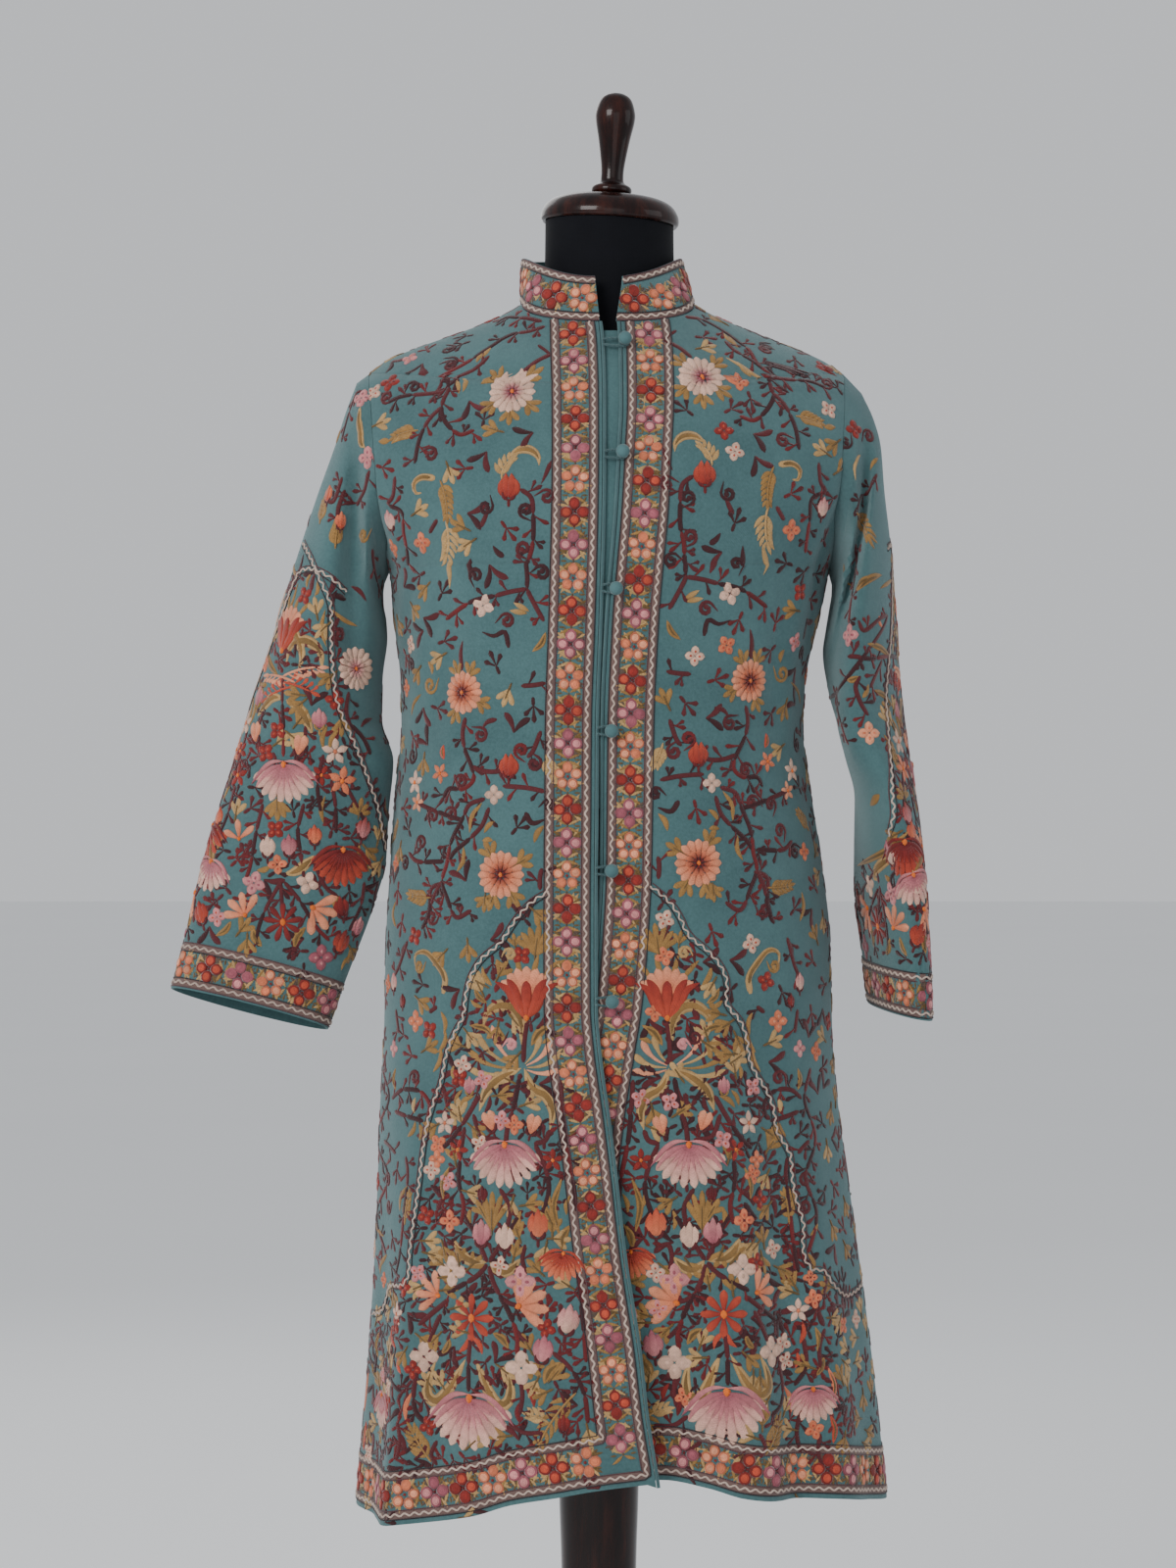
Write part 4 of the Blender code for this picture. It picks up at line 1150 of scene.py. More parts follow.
class Wire:
    """A shader value that can be used in Python expressions."""

    def __init__(self, tree: bpy.types.NodeTree, socket: Any) -> None:
        """Wraps an output socket of a node tree."""
        self.tree, self.socket = tree, socket

    def maths(self, operation: str, *others: Any) -> "Wire":
        """A Math node on this value and further values or numbers."""
        made = self.tree.nodes.new("ShaderNodeMath")
        made.operation = operation
        for socket, value in zip(made.inputs, (self, *others)):
            plug(self.tree, socket, value)
        return Wire(self.tree, made.outputs[0])

    def __add__(self, other: Any) -> "Wire":
        """Sum."""
        return self.maths("ADD", other)

    def __radd__(self, other: Any) -> "Wire":
        """Sum, reflected."""
        return self.maths("ADD", other)

    def __sub__(self, other: Any) -> "Wire":
        """Difference."""
        return self.maths("SUBTRACT", other)

    def __mul__(self, other: Any) -> "Wire":
        """Product."""
        return self.maths("MULTIPLY", other)

    def __truediv__(self, other: Any) -> "Wire":
        """Quotient."""
        return self.maths("DIVIDE", other)

    def __abs__(self) -> "Wire":
        """Size without sign."""
        return self.maths("ABSOLUTE")

    def wave(self) -> "Wire":
        """The sine, from -1 to 1."""
        return self.maths("SINE")

    def held(self) -> "Wire":
        """The value kept from 0 to 1."""
        return self.maths("MAXIMUM", 0.0).maths("MINIMUM", 1.0)


class Finish:
    """A surface finish: one Principled material built from nodes.

    Args:
        name: the material's name.
        constants: the shader's fixed values, by socket name.
    """

    def __init__(self, name: str, **constants: Any) -> None:
        """Makes the material with its fixed values."""
        self.material = bpy.data.materials.new(name)
        self.material.use_nodes = True
        self.tree = self.material.node_tree
        self.shader = self.tree.nodes["Principled BSDF"]
        for key, value in constants.items():
            self.shader.inputs[key.replace("_", " ")].default_value = value
        self.coordinates = self.tree.nodes.new("ShaderNodeTexCoord")

    def node(self, kind: str, settings: dict[str, Any], inputs: dict[Any, Any]) -> bpy.types.Node:
        """Any other node.

        Args:
            kind: its type without the ShaderNode prefix.
            settings: its properties, or stops for a ramp.
            inputs: values or links by socket name or number.

        Returns:
            The node.
        """
        made = self.tree.nodes.new("ShaderNode" + kind)
        for key, value in settings.items():
            if key == "stops":
                while len(made.color_ramp.elements) < len(value):
                    made.color_ramp.elements.new(0.5)
                for stop, (position, colour) in zip(made.color_ramp.elements, value):
                    stop.position, stop.color = position, (*colour, 1.0)
            else:
                setattr(made, key, value)
        for key, value in inputs.items():
            plug(self.tree, made.inputs[key], value)
        return made

    def place(self, scale: Sequence[float] = (1, 1, 1), uv: bool = False) -> Any:
        """Object coordinates, or the piece's own weave coordinates, at a scale."""
        source = self.coordinates.outputs["Object"]
        if uv:
            source = self.node("UVMap", {"uv_map": "weave"}, {}).outputs[0]
        if tuple(scale) == (1, 1, 1):
            return source
        return self.node("Mapping", {}, {"Vector": source, "Scale": scale}).outputs[0]

    def parts(self, vector: Any) -> tuple[Wire, Wire, Wire]:
        """The three numbers of a vector."""
        made = self.node("SeparateXYZ", {}, {0: vector})
        return tuple(Wire(self.tree, made.outputs[k]) for k in range(3))

    def noise(self, vector: Any, scale: float, detail: float = 2.0, rough: float = 0.5) -> Wire:
        """A soft random pattern around 0.5."""
        inputs = {"Vector": vector, "Scale": scale, "Detail": detail, "Roughness": rough}
        made = self.node("TexNoise", {}, inputs)
        return Wire(self.tree, made.outputs[0])

    def mixed(self, first: Any, second: Any, factor: Any, blend: str = "MIX") -> Any:
        """Two colours mixed."""
        made = self.tree.nodes.new("ShaderNodeMix")
        made.data_type, made.blend_type = "RGBA", blend
        for index, value in ((0, factor), (6, first), (7, second)):
            plug(self.tree, made.inputs[index], (*value, 1.0) if isinstance(value, tuple) else value)
        return made.outputs[2]

    def feed(self, name: str, value: Any) -> None:
        """Links a varying value to one of the shader's sockets."""
        plug(self.tree, self.shader.inputs[name], value)

    def relief(self, height: Wire, depth: float, strength: float = 1.0) -> None:
        """Feeds a height, with depth in metres, to the shader's normal."""
        inputs = {"Strength": strength, "Distance": depth, "Height": height}
        self.feed("Normal", self.node("Bump", {}, inputs).outputs[0])


@dataclass(frozen=True)
class TwillWool:
    """Milled wool twill.

    Attributes:
        name: the material's name.
        light: linear colour of the raised fibres, and of the lighter mottling.
        dark: linear colour of the darker mottling, and painted shade between the raised fibres.
        pitch: the twill's pitch in metres.
    """

    name: str
    light: Colour
    dark: Colour
    pitch: float = 0.0016

    def make(self) -> bpy.types.Material:
        """The material."""
        look = Finish(self.name, Roughness=0.92, Sheen_Weight=0.35, Sheen_Roughness=0.45,
                      Specular_IOR_Level=0.2, Sheen_Tint=(0.72, 0.86, 0.88, 1.0))
        weave = look.place(uv=True)
        u, v, _ = look.parts(weave)
        place = look.place()
        wander = look.noise(place, 60, 2) * 2.2
        ribs = ((u * 1.0 + v * 1.25) * (2 * math.pi / self.pitch) + wander).wave()
        yarn = ((u * 1.25 - v) * (2 * math.pi / (self.pitch * 0.8)) + wander).wave()
        fibre = look.noise(look.place((1, 1, 0.35)), 2600, 2, 0.7)
        cloud = look.noise(place, 14, 3, 0.6)
        speck = look.noise(place, 420, 2, 0.6)
        # The ribs and yarn waves darken the colour between the raised fibres as painted shade; the
        # fibre, cloud and speck noises are the wool's own uneven tone
        tone = (ribs * 0.10 + yarn * 0.06 + (fibre - 0.5) * 0.7 + (cloud - 0.5) * 0.8
                + (speck - 0.5) * 0.7 + 0.5).held()
        look.feed("Base Color", look.mixed(self.dark, self.light, tone))
        look.feed("Roughness", 0.86 + fibre * 0.12)
        look.relief(ribs * 0.5 + yarn * 0.3 + fibre * 1.2 + speck * 0.8, 0.00022, 0.8)
        return look.material


@dataclass(frozen=True)
class Jersey:
    """Fine black jersey stretched over the form."""

    name: str = "black_jersey_cover"

    def make(self) -> bpy.types.Material:
        """The material."""
        look = Finish(self.name, Sheen_Weight=0.05, Sheen_Roughness=0.4, Specular_IOR_Level=0.12)
        x, y, z = look.parts(look.place())
        around = x.maths("ARCTAN2", y)
        wales = (around * 260).wave()
        rows = (z * (2 * math.pi / 0.0011)).wave()
        soft = look.noise(look.place(), 30, 3)
        fuzz = look.noise(look.place(), 1500, 2)
        # The wales and rows waves darken the colour between the knit's loops as painted shade; the
        # soft and fuzz noises are the jersey's own uneven tone
        tone = (wales * 0.12 + rows * 0.12 + (soft - 0.5) * 0.9 + (fuzz - 0.5) * 0.6 + 0.5).held()
        look.feed("Base Color", look.mixed((0.0015, 0.0017, 0.003), (0.005, 0.0055, 0.008), tone))
        look.feed("Roughness", 0.72 + fuzz * 0.2)
        look.relief(wales * 0.5 + rows * 0.5 + fuzz, 0.0001, 0.6)
        return look.material


@dataclass(frozen=True)
class PolishedWood:
    """Dark mahogany, turned and French polished."""

    name: str = "polished_mahogany"

    def make(self) -> bpy.types.Material:
        """The material."""
        look = Finish(self.name, Coat_Roughness=0.06, Specular_IOR_Level=0.12)
        grain = look.noise(look.place((14, 14, 1.4)), 9, 5, 0.62)
        pores = look.noise(look.place((60, 60, 3)), 30, 3, 0.7)
        smear = look.noise(look.place(), 22, 3)
        tone = ((grain - 0.5) * 2.2 + (pores - 0.5) * 0.8 + 0.5).held()
        stops = [
            (0.0, (0.003, 0.0012, 0.0011)),
            (0.45, (0.011, 0.003, 0.0024)),
            (1.0, (0.034, 0.008, 0.0048)),
        ]
        ramp = look.node("ValToRGB", {"stops": stops}, {0: tone})
        look.feed("Base Color", ramp.outputs[0])
        look.feed("Roughness", 0.16 + smear * 0.16)
        look.feed("Coat Weight", 0.18 + smear * 0.12)
        look.relief(grain * 0.6 + pores, 0.00005, 0.35)
        return look.material


@dataclass(frozen=True)
class YarnLook:
    """Embroidery yarn: each stitch's colour, with plied strands across its line, and painted
    shade in the grooves between strands and stitches.
    """

    name: str = "embroidery_yarn"
    stitch: float = 0.0024
    row: float = 0.0011

    def make(self) -> bpy.types.Material:
        """The material."""
        look = Finish(self.name, Roughness=0.75, Sheen_Weight=0.3, Sheen_Roughness=0.35,
                      Specular_IOR_Level=0.35)
        colour = look.node("Attribute", {"attribute_name": "yarn"}, {}).outputs[0]
        along, across, _ = look.parts(look.place(uv=True))
        place = look.place()
        wobble = look.noise(place, 700, 2) * 1.6
        chevron = ((along + abs(across) * 0.9) * (2 * math.pi / self.stitch) + wobble).wave()
        strand = (across * (2 * math.pi / self.row) + wobble * 1.4).wave()
        patch = look.noise(place, 240, 2)
        fleck = look.noise(place, 1700, 2, 0.7)
        # The strand and chevron waves darken the grooves between plied strands and stitches as painted
        # shade; patch and fleck are the yarn's own uneven tone
        tone = 0.80 + strand * 0.10 + chevron * 0.07 + (patch - 0.5) * 0.5 + (fleck - 0.5) * 0.45
        shade = look.node("CombineXYZ", {}, {0: tone, 1: tone, 2: tone}).outputs[0]
        look.feed("Base Color", look.mixed(colour, shade, 1.0, "MULTIPLY"))
        look.feed("Roughness", 0.62 + fleck * 0.25)
        look.relief(strand * 0.6 + chevron * 0.5 + fleck * 0.6, 0.0003, 0.8)
        return look.material


@dataclass(frozen=True)
class CordLook:
    """Twisted cord or braid of one colour, along the piece's own run.

    Attributes:
        name: the material's name.
        light: linear colour of the strands.
        dark: linear colour between them, painted shade in the grooves of the twist.
        twist: the strands' pitch in metres.
    """

    name: str
    light: Colour
    dark: Colour
    twist: float = 0.0022

    def make(self) -> bpy.types.Material:
        """The material."""
        look = Finish(self.name, Roughness=0.8, Sheen_Weight=0.25, Sheen_Roughness=0.4,
                      Specular_IOR_Level=0.3)
        along, across, _ = look.parts(look.place(uv=True))
        place = look.place()
        ply = ((along + across * 1.4) * (2 * math.pi / self.twist)).wave()
        fibre = look.noise(place, 1600, 2, 0.7)
        soil = look.noise(place, 50, 3)
        # The ply wave darkens the grooves between the twisted strands as painted shade; the fibre and
        # soil noises vary the tone at random
        tone = (ply * 0.25 + (fibre - 0.5) * 0.9 + (soil - 0.5) * 0.6 + 0.6).held()
        look.feed("Base Color", look.mixed(self.dark, self.light, tone))
        look.feed("Roughness", 0.72 + fibre * 0.2)
        look.relief(ply * 0.7 + fibre * 0.5, 0.00025, 0.8)
        return look.material


@dataclass(frozen=True)
class PlainFloor:
    """The pale studio floor."""

    name: str = "pale_floor"

    def make(self) -> bpy.types.Material:
        """The material."""
        look = Finish(self.name, Roughness=0.95, Specular_IOR_Level=0.1)
        cloud = look.noise(look.place(), 0.9, 2)
        look.feed("Base Color", look.mixed((0.86, 0.87, 0.88), (0.89, 0.90, 0.905), cloud))
        return look.material


def ring_faces(count: int, sides: int) -> list[tuple[int, ...]]:
    """Faces of a solid made of rings of points, with a pole after them for each end."""
    faces = []
    for low in range(0, (count - 1) * sides, sides):
        high = low + sides
        for j in range(sides):
            k = (j + 1) % sides
            faces.append((low + j, low + k, high + k, high + j))
    last, foot, head = (count - 1) * sides, count * sides, count * sides + 1
    for j in range(sides):
        k = (j + 1) % sides
        faces.append((foot, k, j))
        faces.append((head, last + j, last + k))
    return faces


def turned(
    name: str,
    profile: Array,
    centre: Array,
    axis: Array,
    finish: bpy.types.Material,
    sides: int = 96,
) -> bpy.types.Object:
    """A turned solid with closed poles.

    Args:
        name: the piece's name.
        profile: pairs of radius and height from the foot up, ending on the axis or not.
        centre: where the profile's height 0 is.
        axis: the direction of its axis.
        finish: its material.
        sides: points round it.

    Returns:
        The object.
    """
    rotation = np.array(Vector(axis).to_track_quat("Z", "Y").to_matrix())
    turn = np.linspace(0, 2 * math.pi, sides, endpoint=False)
    outline = [row for row in profile if row[0] > 1e-6]
    rings = np.array(
        [
            np.stack([r * np.cos(turn), r * np.sin(turn), np.full(sides, float(h))], -1)
            for r, h in outline
        ]
    )
    points = rings.reshape(-1, 3)
    poles = np.array([[0, 0, profile[0][1]], [0, 0, profile[-1][1]]], float)
    points = np.vstack([points, poles]) @ rotation.T + centre
    return new_piece(name, points, ring_faces(len(outline), sides), finish)


def cord_mesh(
    points: Array, radius: float, sides: int = 10, strands: int = 1, turns: float = 0.0
) -> tuple[Array, list[tuple[int, ...]], Array]:
    """A round cord, or several strands twisted together.

    Args:
        points: its centreline.
        radius: the whole cord's radius.
        sides: points round a strand.
        strands: how many strands.
        turns: whole turns of the strands along the cord.

    Returns:
        Points, faces and a pair in metres for each point, along and round.
    """
    centre = np.asarray(points, float)
    tangent = unit(np.gradient(centre, axis=0))
    side = np.zeros_like(tangent)
    guide = np.array([0.3, -1.0, 0.2])
    for i, way in enumerate(tangent):
        guide = guide - way * np.dot(guide, way)
        guide = guide / np.linalg.norm(guide)
        side[i] = guide
    up = np.cross(tangent, side)
    along = np.r_[0, np.cumsum(np.linalg.norm(np.diff(centre, axis=0), axis=1))]
    turn = np.linspace(0, 2 * math.pi, sides, endpoint=False)
    verts, faces, run = [], [], []
    thin = radius if strands == 1 else radius * STRAND_RADIUS
    for strand in range(strands):
        phase = 2 * math.pi * (strand / strands + turns * along / along[-1])
        off = 0 if strands == 1 else radius * STRAND_OFF
        middle = centre + off * (np.cos(phase)[:, None] * side + np.sin(phase)[:, None] * up)
        ring = middle[:, None] + thin * (
            np.cos(turn)[None, :, None] * side[:, None] + np.sin(turn)[None, :, None] * up[:, None]
        )
        base = sum(len(v) for v in verts)
        verts.append(ring.reshape(-1, 3))
        length, around = np.broadcast_arrays(along[:, None], (turn * thin)[None])
        run.append(np.stack([length, around], -1).reshape(-1, 2) * MM)
        for i in range(len(centre) - 1):
            for j in range(sides):
                k = (j + 1) % sides
                a, b = base + i * sides, base + (i + 1) * sides
                faces.append((a + j, b + j, b + k, a + k))
        last = base + (len(centre) - 1) * sides
        faces.append(tuple(base + j for j in range(sides)))
        faces.append(tuple(last + j for j in reversed(range(sides))))
    return np.vstack(verts), faces, np.vstack(run)


def in_place(made: bpy.types.Object, node: str) -> bpy.types.Object:
    """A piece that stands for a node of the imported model."""
    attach(made, "root")
    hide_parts(node)
    return made


def stand_in(
    node: str,
    points: Array,
    faces: Any,
    finish: bpy.types.Material,
    run: Array | None = None,
) -> bpy.types.Object:
    """A new mesh that stands for a node."""
    made = new_piece(node + FINISHED, points, faces, finish, uv=run)
    return in_place(made, node)


@dataclass
class FrontFastening:
    """The bound edges, the placket behind them, and the buttons with their loops.

    Attributes:
        binding: the material of the bound edges, buttons and loops.
        wool: the material of the placket.
    """

    binding: bpy.types.Material
    wool: bpy.types.Material

    def build(self) -> list[bpy.types.Object]:
        """All pieces of the fastening."""
        made = [self.piping(True), self.piping(False), self.placket()]
        for index in range(len(BUTTONS)):
            made += [self.button(index), self.loop(index)]
        return made

    def piping(self, right: bool) -> bpy.types.Object:
        """The narrow bound edge of one front, from hem to neckline."""
        sign = -1 if right else 1
        z = steps_between((curve(HEM, 0.0)[0], NECK_FRONT_Z), 4)
        x = curve(EDGES, z)[..., 0 if right else 1] + sign * PIPING_RADIUS
        points = opening_point(z, x, np.full(z.shape, CLOTH / 2), not right)
        verts, faces, run = cord_mesh(points, PIPING_RADIUS, 12)
        name = "piping_right" if right else "piping_left"
        return stand_in(name, verts, faces, self.binding, run)

    def placket(self) -> bpy.types.Object:
        """The plain strip behind the opening."""
        z = steps_between((PLACKET_BOTTOM_Z + 4, PLACKET_TOP_Z - 1), 5)[:, None]
        right_x, left_x, tuck = np.moveaxis(curve(EDGES, z), -1, 0)
        x = (right_x + left_x) / 2 + 3 + np.linspace(-1, 1, 9)[None] * PLACKET_HALF_WIDTH
        depth = np.broadcast_to(CLOTH + 0.6 + PLACKET_SET_BACK + tuck, x.shape)
        z = np.broadcast_to(z, x.shape)
        grid = opening_point(z, x, depth, False)
        normals = body_normal(edge_angle(z, x), z)
        cloth = Cloth("placket", grid, normals, inner=grid + np.array([0, 1.0, 0]))
        made = in_place(cloth.build(self.wool), "placket")
        wide, tall, area = cloth.cut_size()
        return made

    def button(self, index: int) -> bpy.types.Object:
        """A cloth-covered ball button on its shank."""
        z, x = BUTTONS[index]
        angle = edge_angle(z, x)
        foot, normal = body_point(angle, z, True), body_normal(angle, z, True)
        arc = np.radians(np.linspace(-72, 88, 18))
        profile = [(SHANK_RADIUS * 0.96, SEAM_GAP + 0.2), (SHANK_RADIUS * 0.9, 2.4)]
        profile += [
            (BUTTON_RADIUS * math.cos(a), BUTTON_CENTRE + BUTTON_RADIUS * math.sin(a)) for a in arc
        ]
        profile.append((0, BUTTON_CENTRE + BUTTON_RADIUS))
        name = f"button_{index + 1}"
        made = turned(name + FINISHED, profile, foot, normal, self.binding, sides=32)
        return in_place(made, name)

    def loop(self, index: int) -> bpy.types.Object:
        """The two-strand cord loop that leaves the right front's edge round a button."""
        z, x = BUTTONS[index]
        angle = edge_angle(z, x)
        foot, normal = body_point(angle, z, True), body_normal(angle, z, True)
        edge = edge_angle(z, curve(EDGES, z)[0] - PIPING_RADIUS)
        root = body_point(edge, z) + body_normal(edge, z) * LOOP_ROOT_LEVEL
        across = unit(np.cross(np.array([0, 0, 1.0]), normal))
        up = np.cross(normal, across)
        marks = [
            foot
            + normal * LOOP_LEVEL
            + across * LOOP_TURN * math.sin(math.radians(a))
            + up * LOOP_TURN * math.cos(math.radians(a))
            for a in (0, 45, 90, 135, 180)
        ]
        head, tail = root + up * 2.6, root - up * 2.6
        line = [head, (head + marks[0]) / 2 + up * 0.6, *marks]
        line += [(tail + marks[-1]) / 2 - up * 0.6, tail]
        points = through(line, 44)
        verts, faces, run = cord_mesh(points, LOOP_RADIUS, 8, strands=2, turns=5)
        return stand_in(f"loop_{index + 1}", verts, faces, self.binding, run)


@dataclass
class FormAndStand:
    """The limbless dress form with its cap and finial, on the turned pole and foot.

    Attributes:
        jersey: the form's cover.
        wood: the material of the turned pieces.
    """

    jersey: bpy.types.Material
    wood: bpy.types.Material

    def build(self) -> list[bpy.types.Object]:
        """All pieces of the form and the stand."""
        lean = math.radians(CAP_TILT)
        axis = np.array([math.sin(lean), 0, math.cos(lean)])
        cap = np.array(CAP_CENTRE, float)
        pieces = [
            self.torso(),
            self.wooden("neck_cap", CAP_PROFILE, cap, axis, 60),
            self.wooden("finial", FINIAL_PROFILE, cap + axis * FINIAL_BASE, axis, 90),
            self.wooden("foot", FOOT_PROFILE, np.zeros(3), np.array([0, 0, 1.0]), 60, 160),
            self.wooden(
                "pole", POLE_PROFILE, np.array([0, 0, POLE_BOTTOM_Z]), np.array([0, 0, 1.0]), 90
            ),
        ]
        return pieces

    def torso(self) -> bpy.types.Object:
        """The torso under the jacket."""
        neck, top = FORM[-2][0], FORM[-1][0]
        z = steps_between((FORM[0][0], top), 6)
        angle = np.linspace(-180, 180, 120, endpoint=False)[None]
        columns = curve(FORM, z)[:, None]
        x, y = section_point(np.broadcast_to(columns, (len(z), 120, 5)), angle)
        height = np.broadcast_to(z[:, None], x.shape).copy()
        lean = math.tan(math.radians(CAP_TILT))
        near_top = np.clip((height - neck) / (top - neck), 0, 1)
        height -= near_top * lean * (x - CAP_CENTRE[0])
        rings = np.stack([x, y, height], -1)
        count, sides = rings.shape[:2]
        middle = rings.mean(axis=1)[[0, -1]]
        points = np.vstack([rings.reshape(-1, 3), middle])
        faces = ring_faces(count, sides)
        return stand_in("dress_form", points, faces, self.jersey)

    def wooden(
        self, name: str, profile: Table, centre: Array, axis: Array, count: int, sides: int = 96
    ) -> bpy.types.Object:
        """One turned piece of wood."""
        outline = through(profile, count)
        made = turned(name + FINISHED, outline, centre, axis, self.wood, sides)
        return in_place(made, name)


@dataclass
class Studio:
    """Pale floor, soft lights and the camera.

    Attributes:
        reach: half the floor's size in metres.
    """

    reach: float = 30.0

    def build(self) -> None:
        """Sets the scene round the object."""
        r = self.reach * 1000
        corners = np.array([[-r, -r, 0], [r, -r, 0], [r, r, 0], [-r, r, 0]], float)
        floor = new_piece("studio_floor", corners, np.array([[0, 1, 2, 3]]), PlainFloor().make())
        for light in LIGHTS:
            self.light(*light)
        world = bpy.data.worlds.new("soft_room")
        world.use_nodes = True
        back = world.node_tree.nodes["Background"]
        back.inputs["Color"].default_value = ROOM_COLOUR
        back.inputs["Strength"].default_value = 1.0
        bpy.context.scene.world = world
        self.camera()

    @staticmethod
    def light(
        name: str, place: Colour, target: Colour, size: float, power: float, colour: Colour
    ) -> None:
        """One square area light."""
        data = bpy.data.lights.new(name, "AREA")
        data.size, data.energy, data.color = size, power, colour
        made = bpy.data.objects.new(name, data)
        made.location = place
        way = Vector(target) - Vector(place)
        made.rotation_euler = way.to_track_quat("-Z", "Y").to_euler()
        bpy.context.scene.collection.objects.link(made)

    @staticmethod
    def camera() -> None:
        """The camera, level and straight in front."""
        data = bpy.data.cameras.new("camera")
        data.sensor_fit, data.sensor_width = "AUTO", SENSOR
        data.lens = SENSOR * -EYE[1] / (2 * SHEET_CENTRE[1] * SHEET_UNIT)
        data.clip_end = 100
        made = bpy.data.objects.new("camera", data)
        made.location = Vector(EYE) * MM
        made.rotation_euler = (math.pi / 2, 0, 0)
        bpy.context.scene.collection.objects.link(made)
        bpy.context.scene.camera = made


class Outline(Enum):
    """How wide a stroke of stitches is along its run, as pairs of share and width."""

    LEAF = ((0, 0.05), (0.12, 0.5), (0.3, 0.86), (0.5, 1), (0.7, 0.84), (0.88, 0.45), (1, 0.05))
    PETAL = ((0, 0.25), (0.25, 0.58), (0.55, 0.95), (0.76, 1), (0.92, 0.74), (1, 0.2))
    BLADE = ((0, 0.35), (0.2, 0.95), (0.5, 0.85), (0.8, 0.48), (1, 0.05))
    ROD = ((0, 0.45), (0.08, 1), (0.92, 1), (1, 0.45))
    SPOT = ((0, 0.1), (0.12, 0.68), (0.5, 1), (0.88, 0.68), (1, 0.1))
    DROP = ((0, 0.15), (0.5, 0.5), (0.8, 1), (0.94, 0.7), (1, 0.15))
    TAIL = ((0, 0.2), (0.3, 0.75), (0.6, 1), (0.95, 1), (1, 0.5))


@dataclass
class Pen:
    """Where a motif is stitched.

    Attributes:
        cloth: the cloth it is on.
        origin: its row and column on the cloth's grid.
        turn: degrees that its upward way leans to the right.
        size: its scale.
        flip: whether it is mirrored.
    """

    cloth: Cloth
    origin: Array
    turn: float = 0.0
    size: float = 1.0
    flip: bool = False

    def at(self, marks: Sequence[Sequence[float]]) -> Array:
        """Grid places of marks given in millimetres right and up of the motif's own foot."""
        x, y = np.array(marks, float).T * self.size
        a = math.radians(self.turn)
        right, up = x * math.cos(a) + y * math.sin(a), y * math.cos(a) - x * math.sin(a)
        offset = np.stack([-right if self.flip else right, up], -1)
        origin = np.broadcast_to(self.origin, offset.shape)
        return self.cloth.moved(origin, offset)

    def shifted(self, x: float, y: float, turn: float = 0.0, size: float = 1.0) -> "Pen":
        """A pen at a place of this motif."""
        origin = self.at([(x, y)])[0]
        return Pen(self.cloth, origin, self.turn + turn, self.size * size, self.flip)


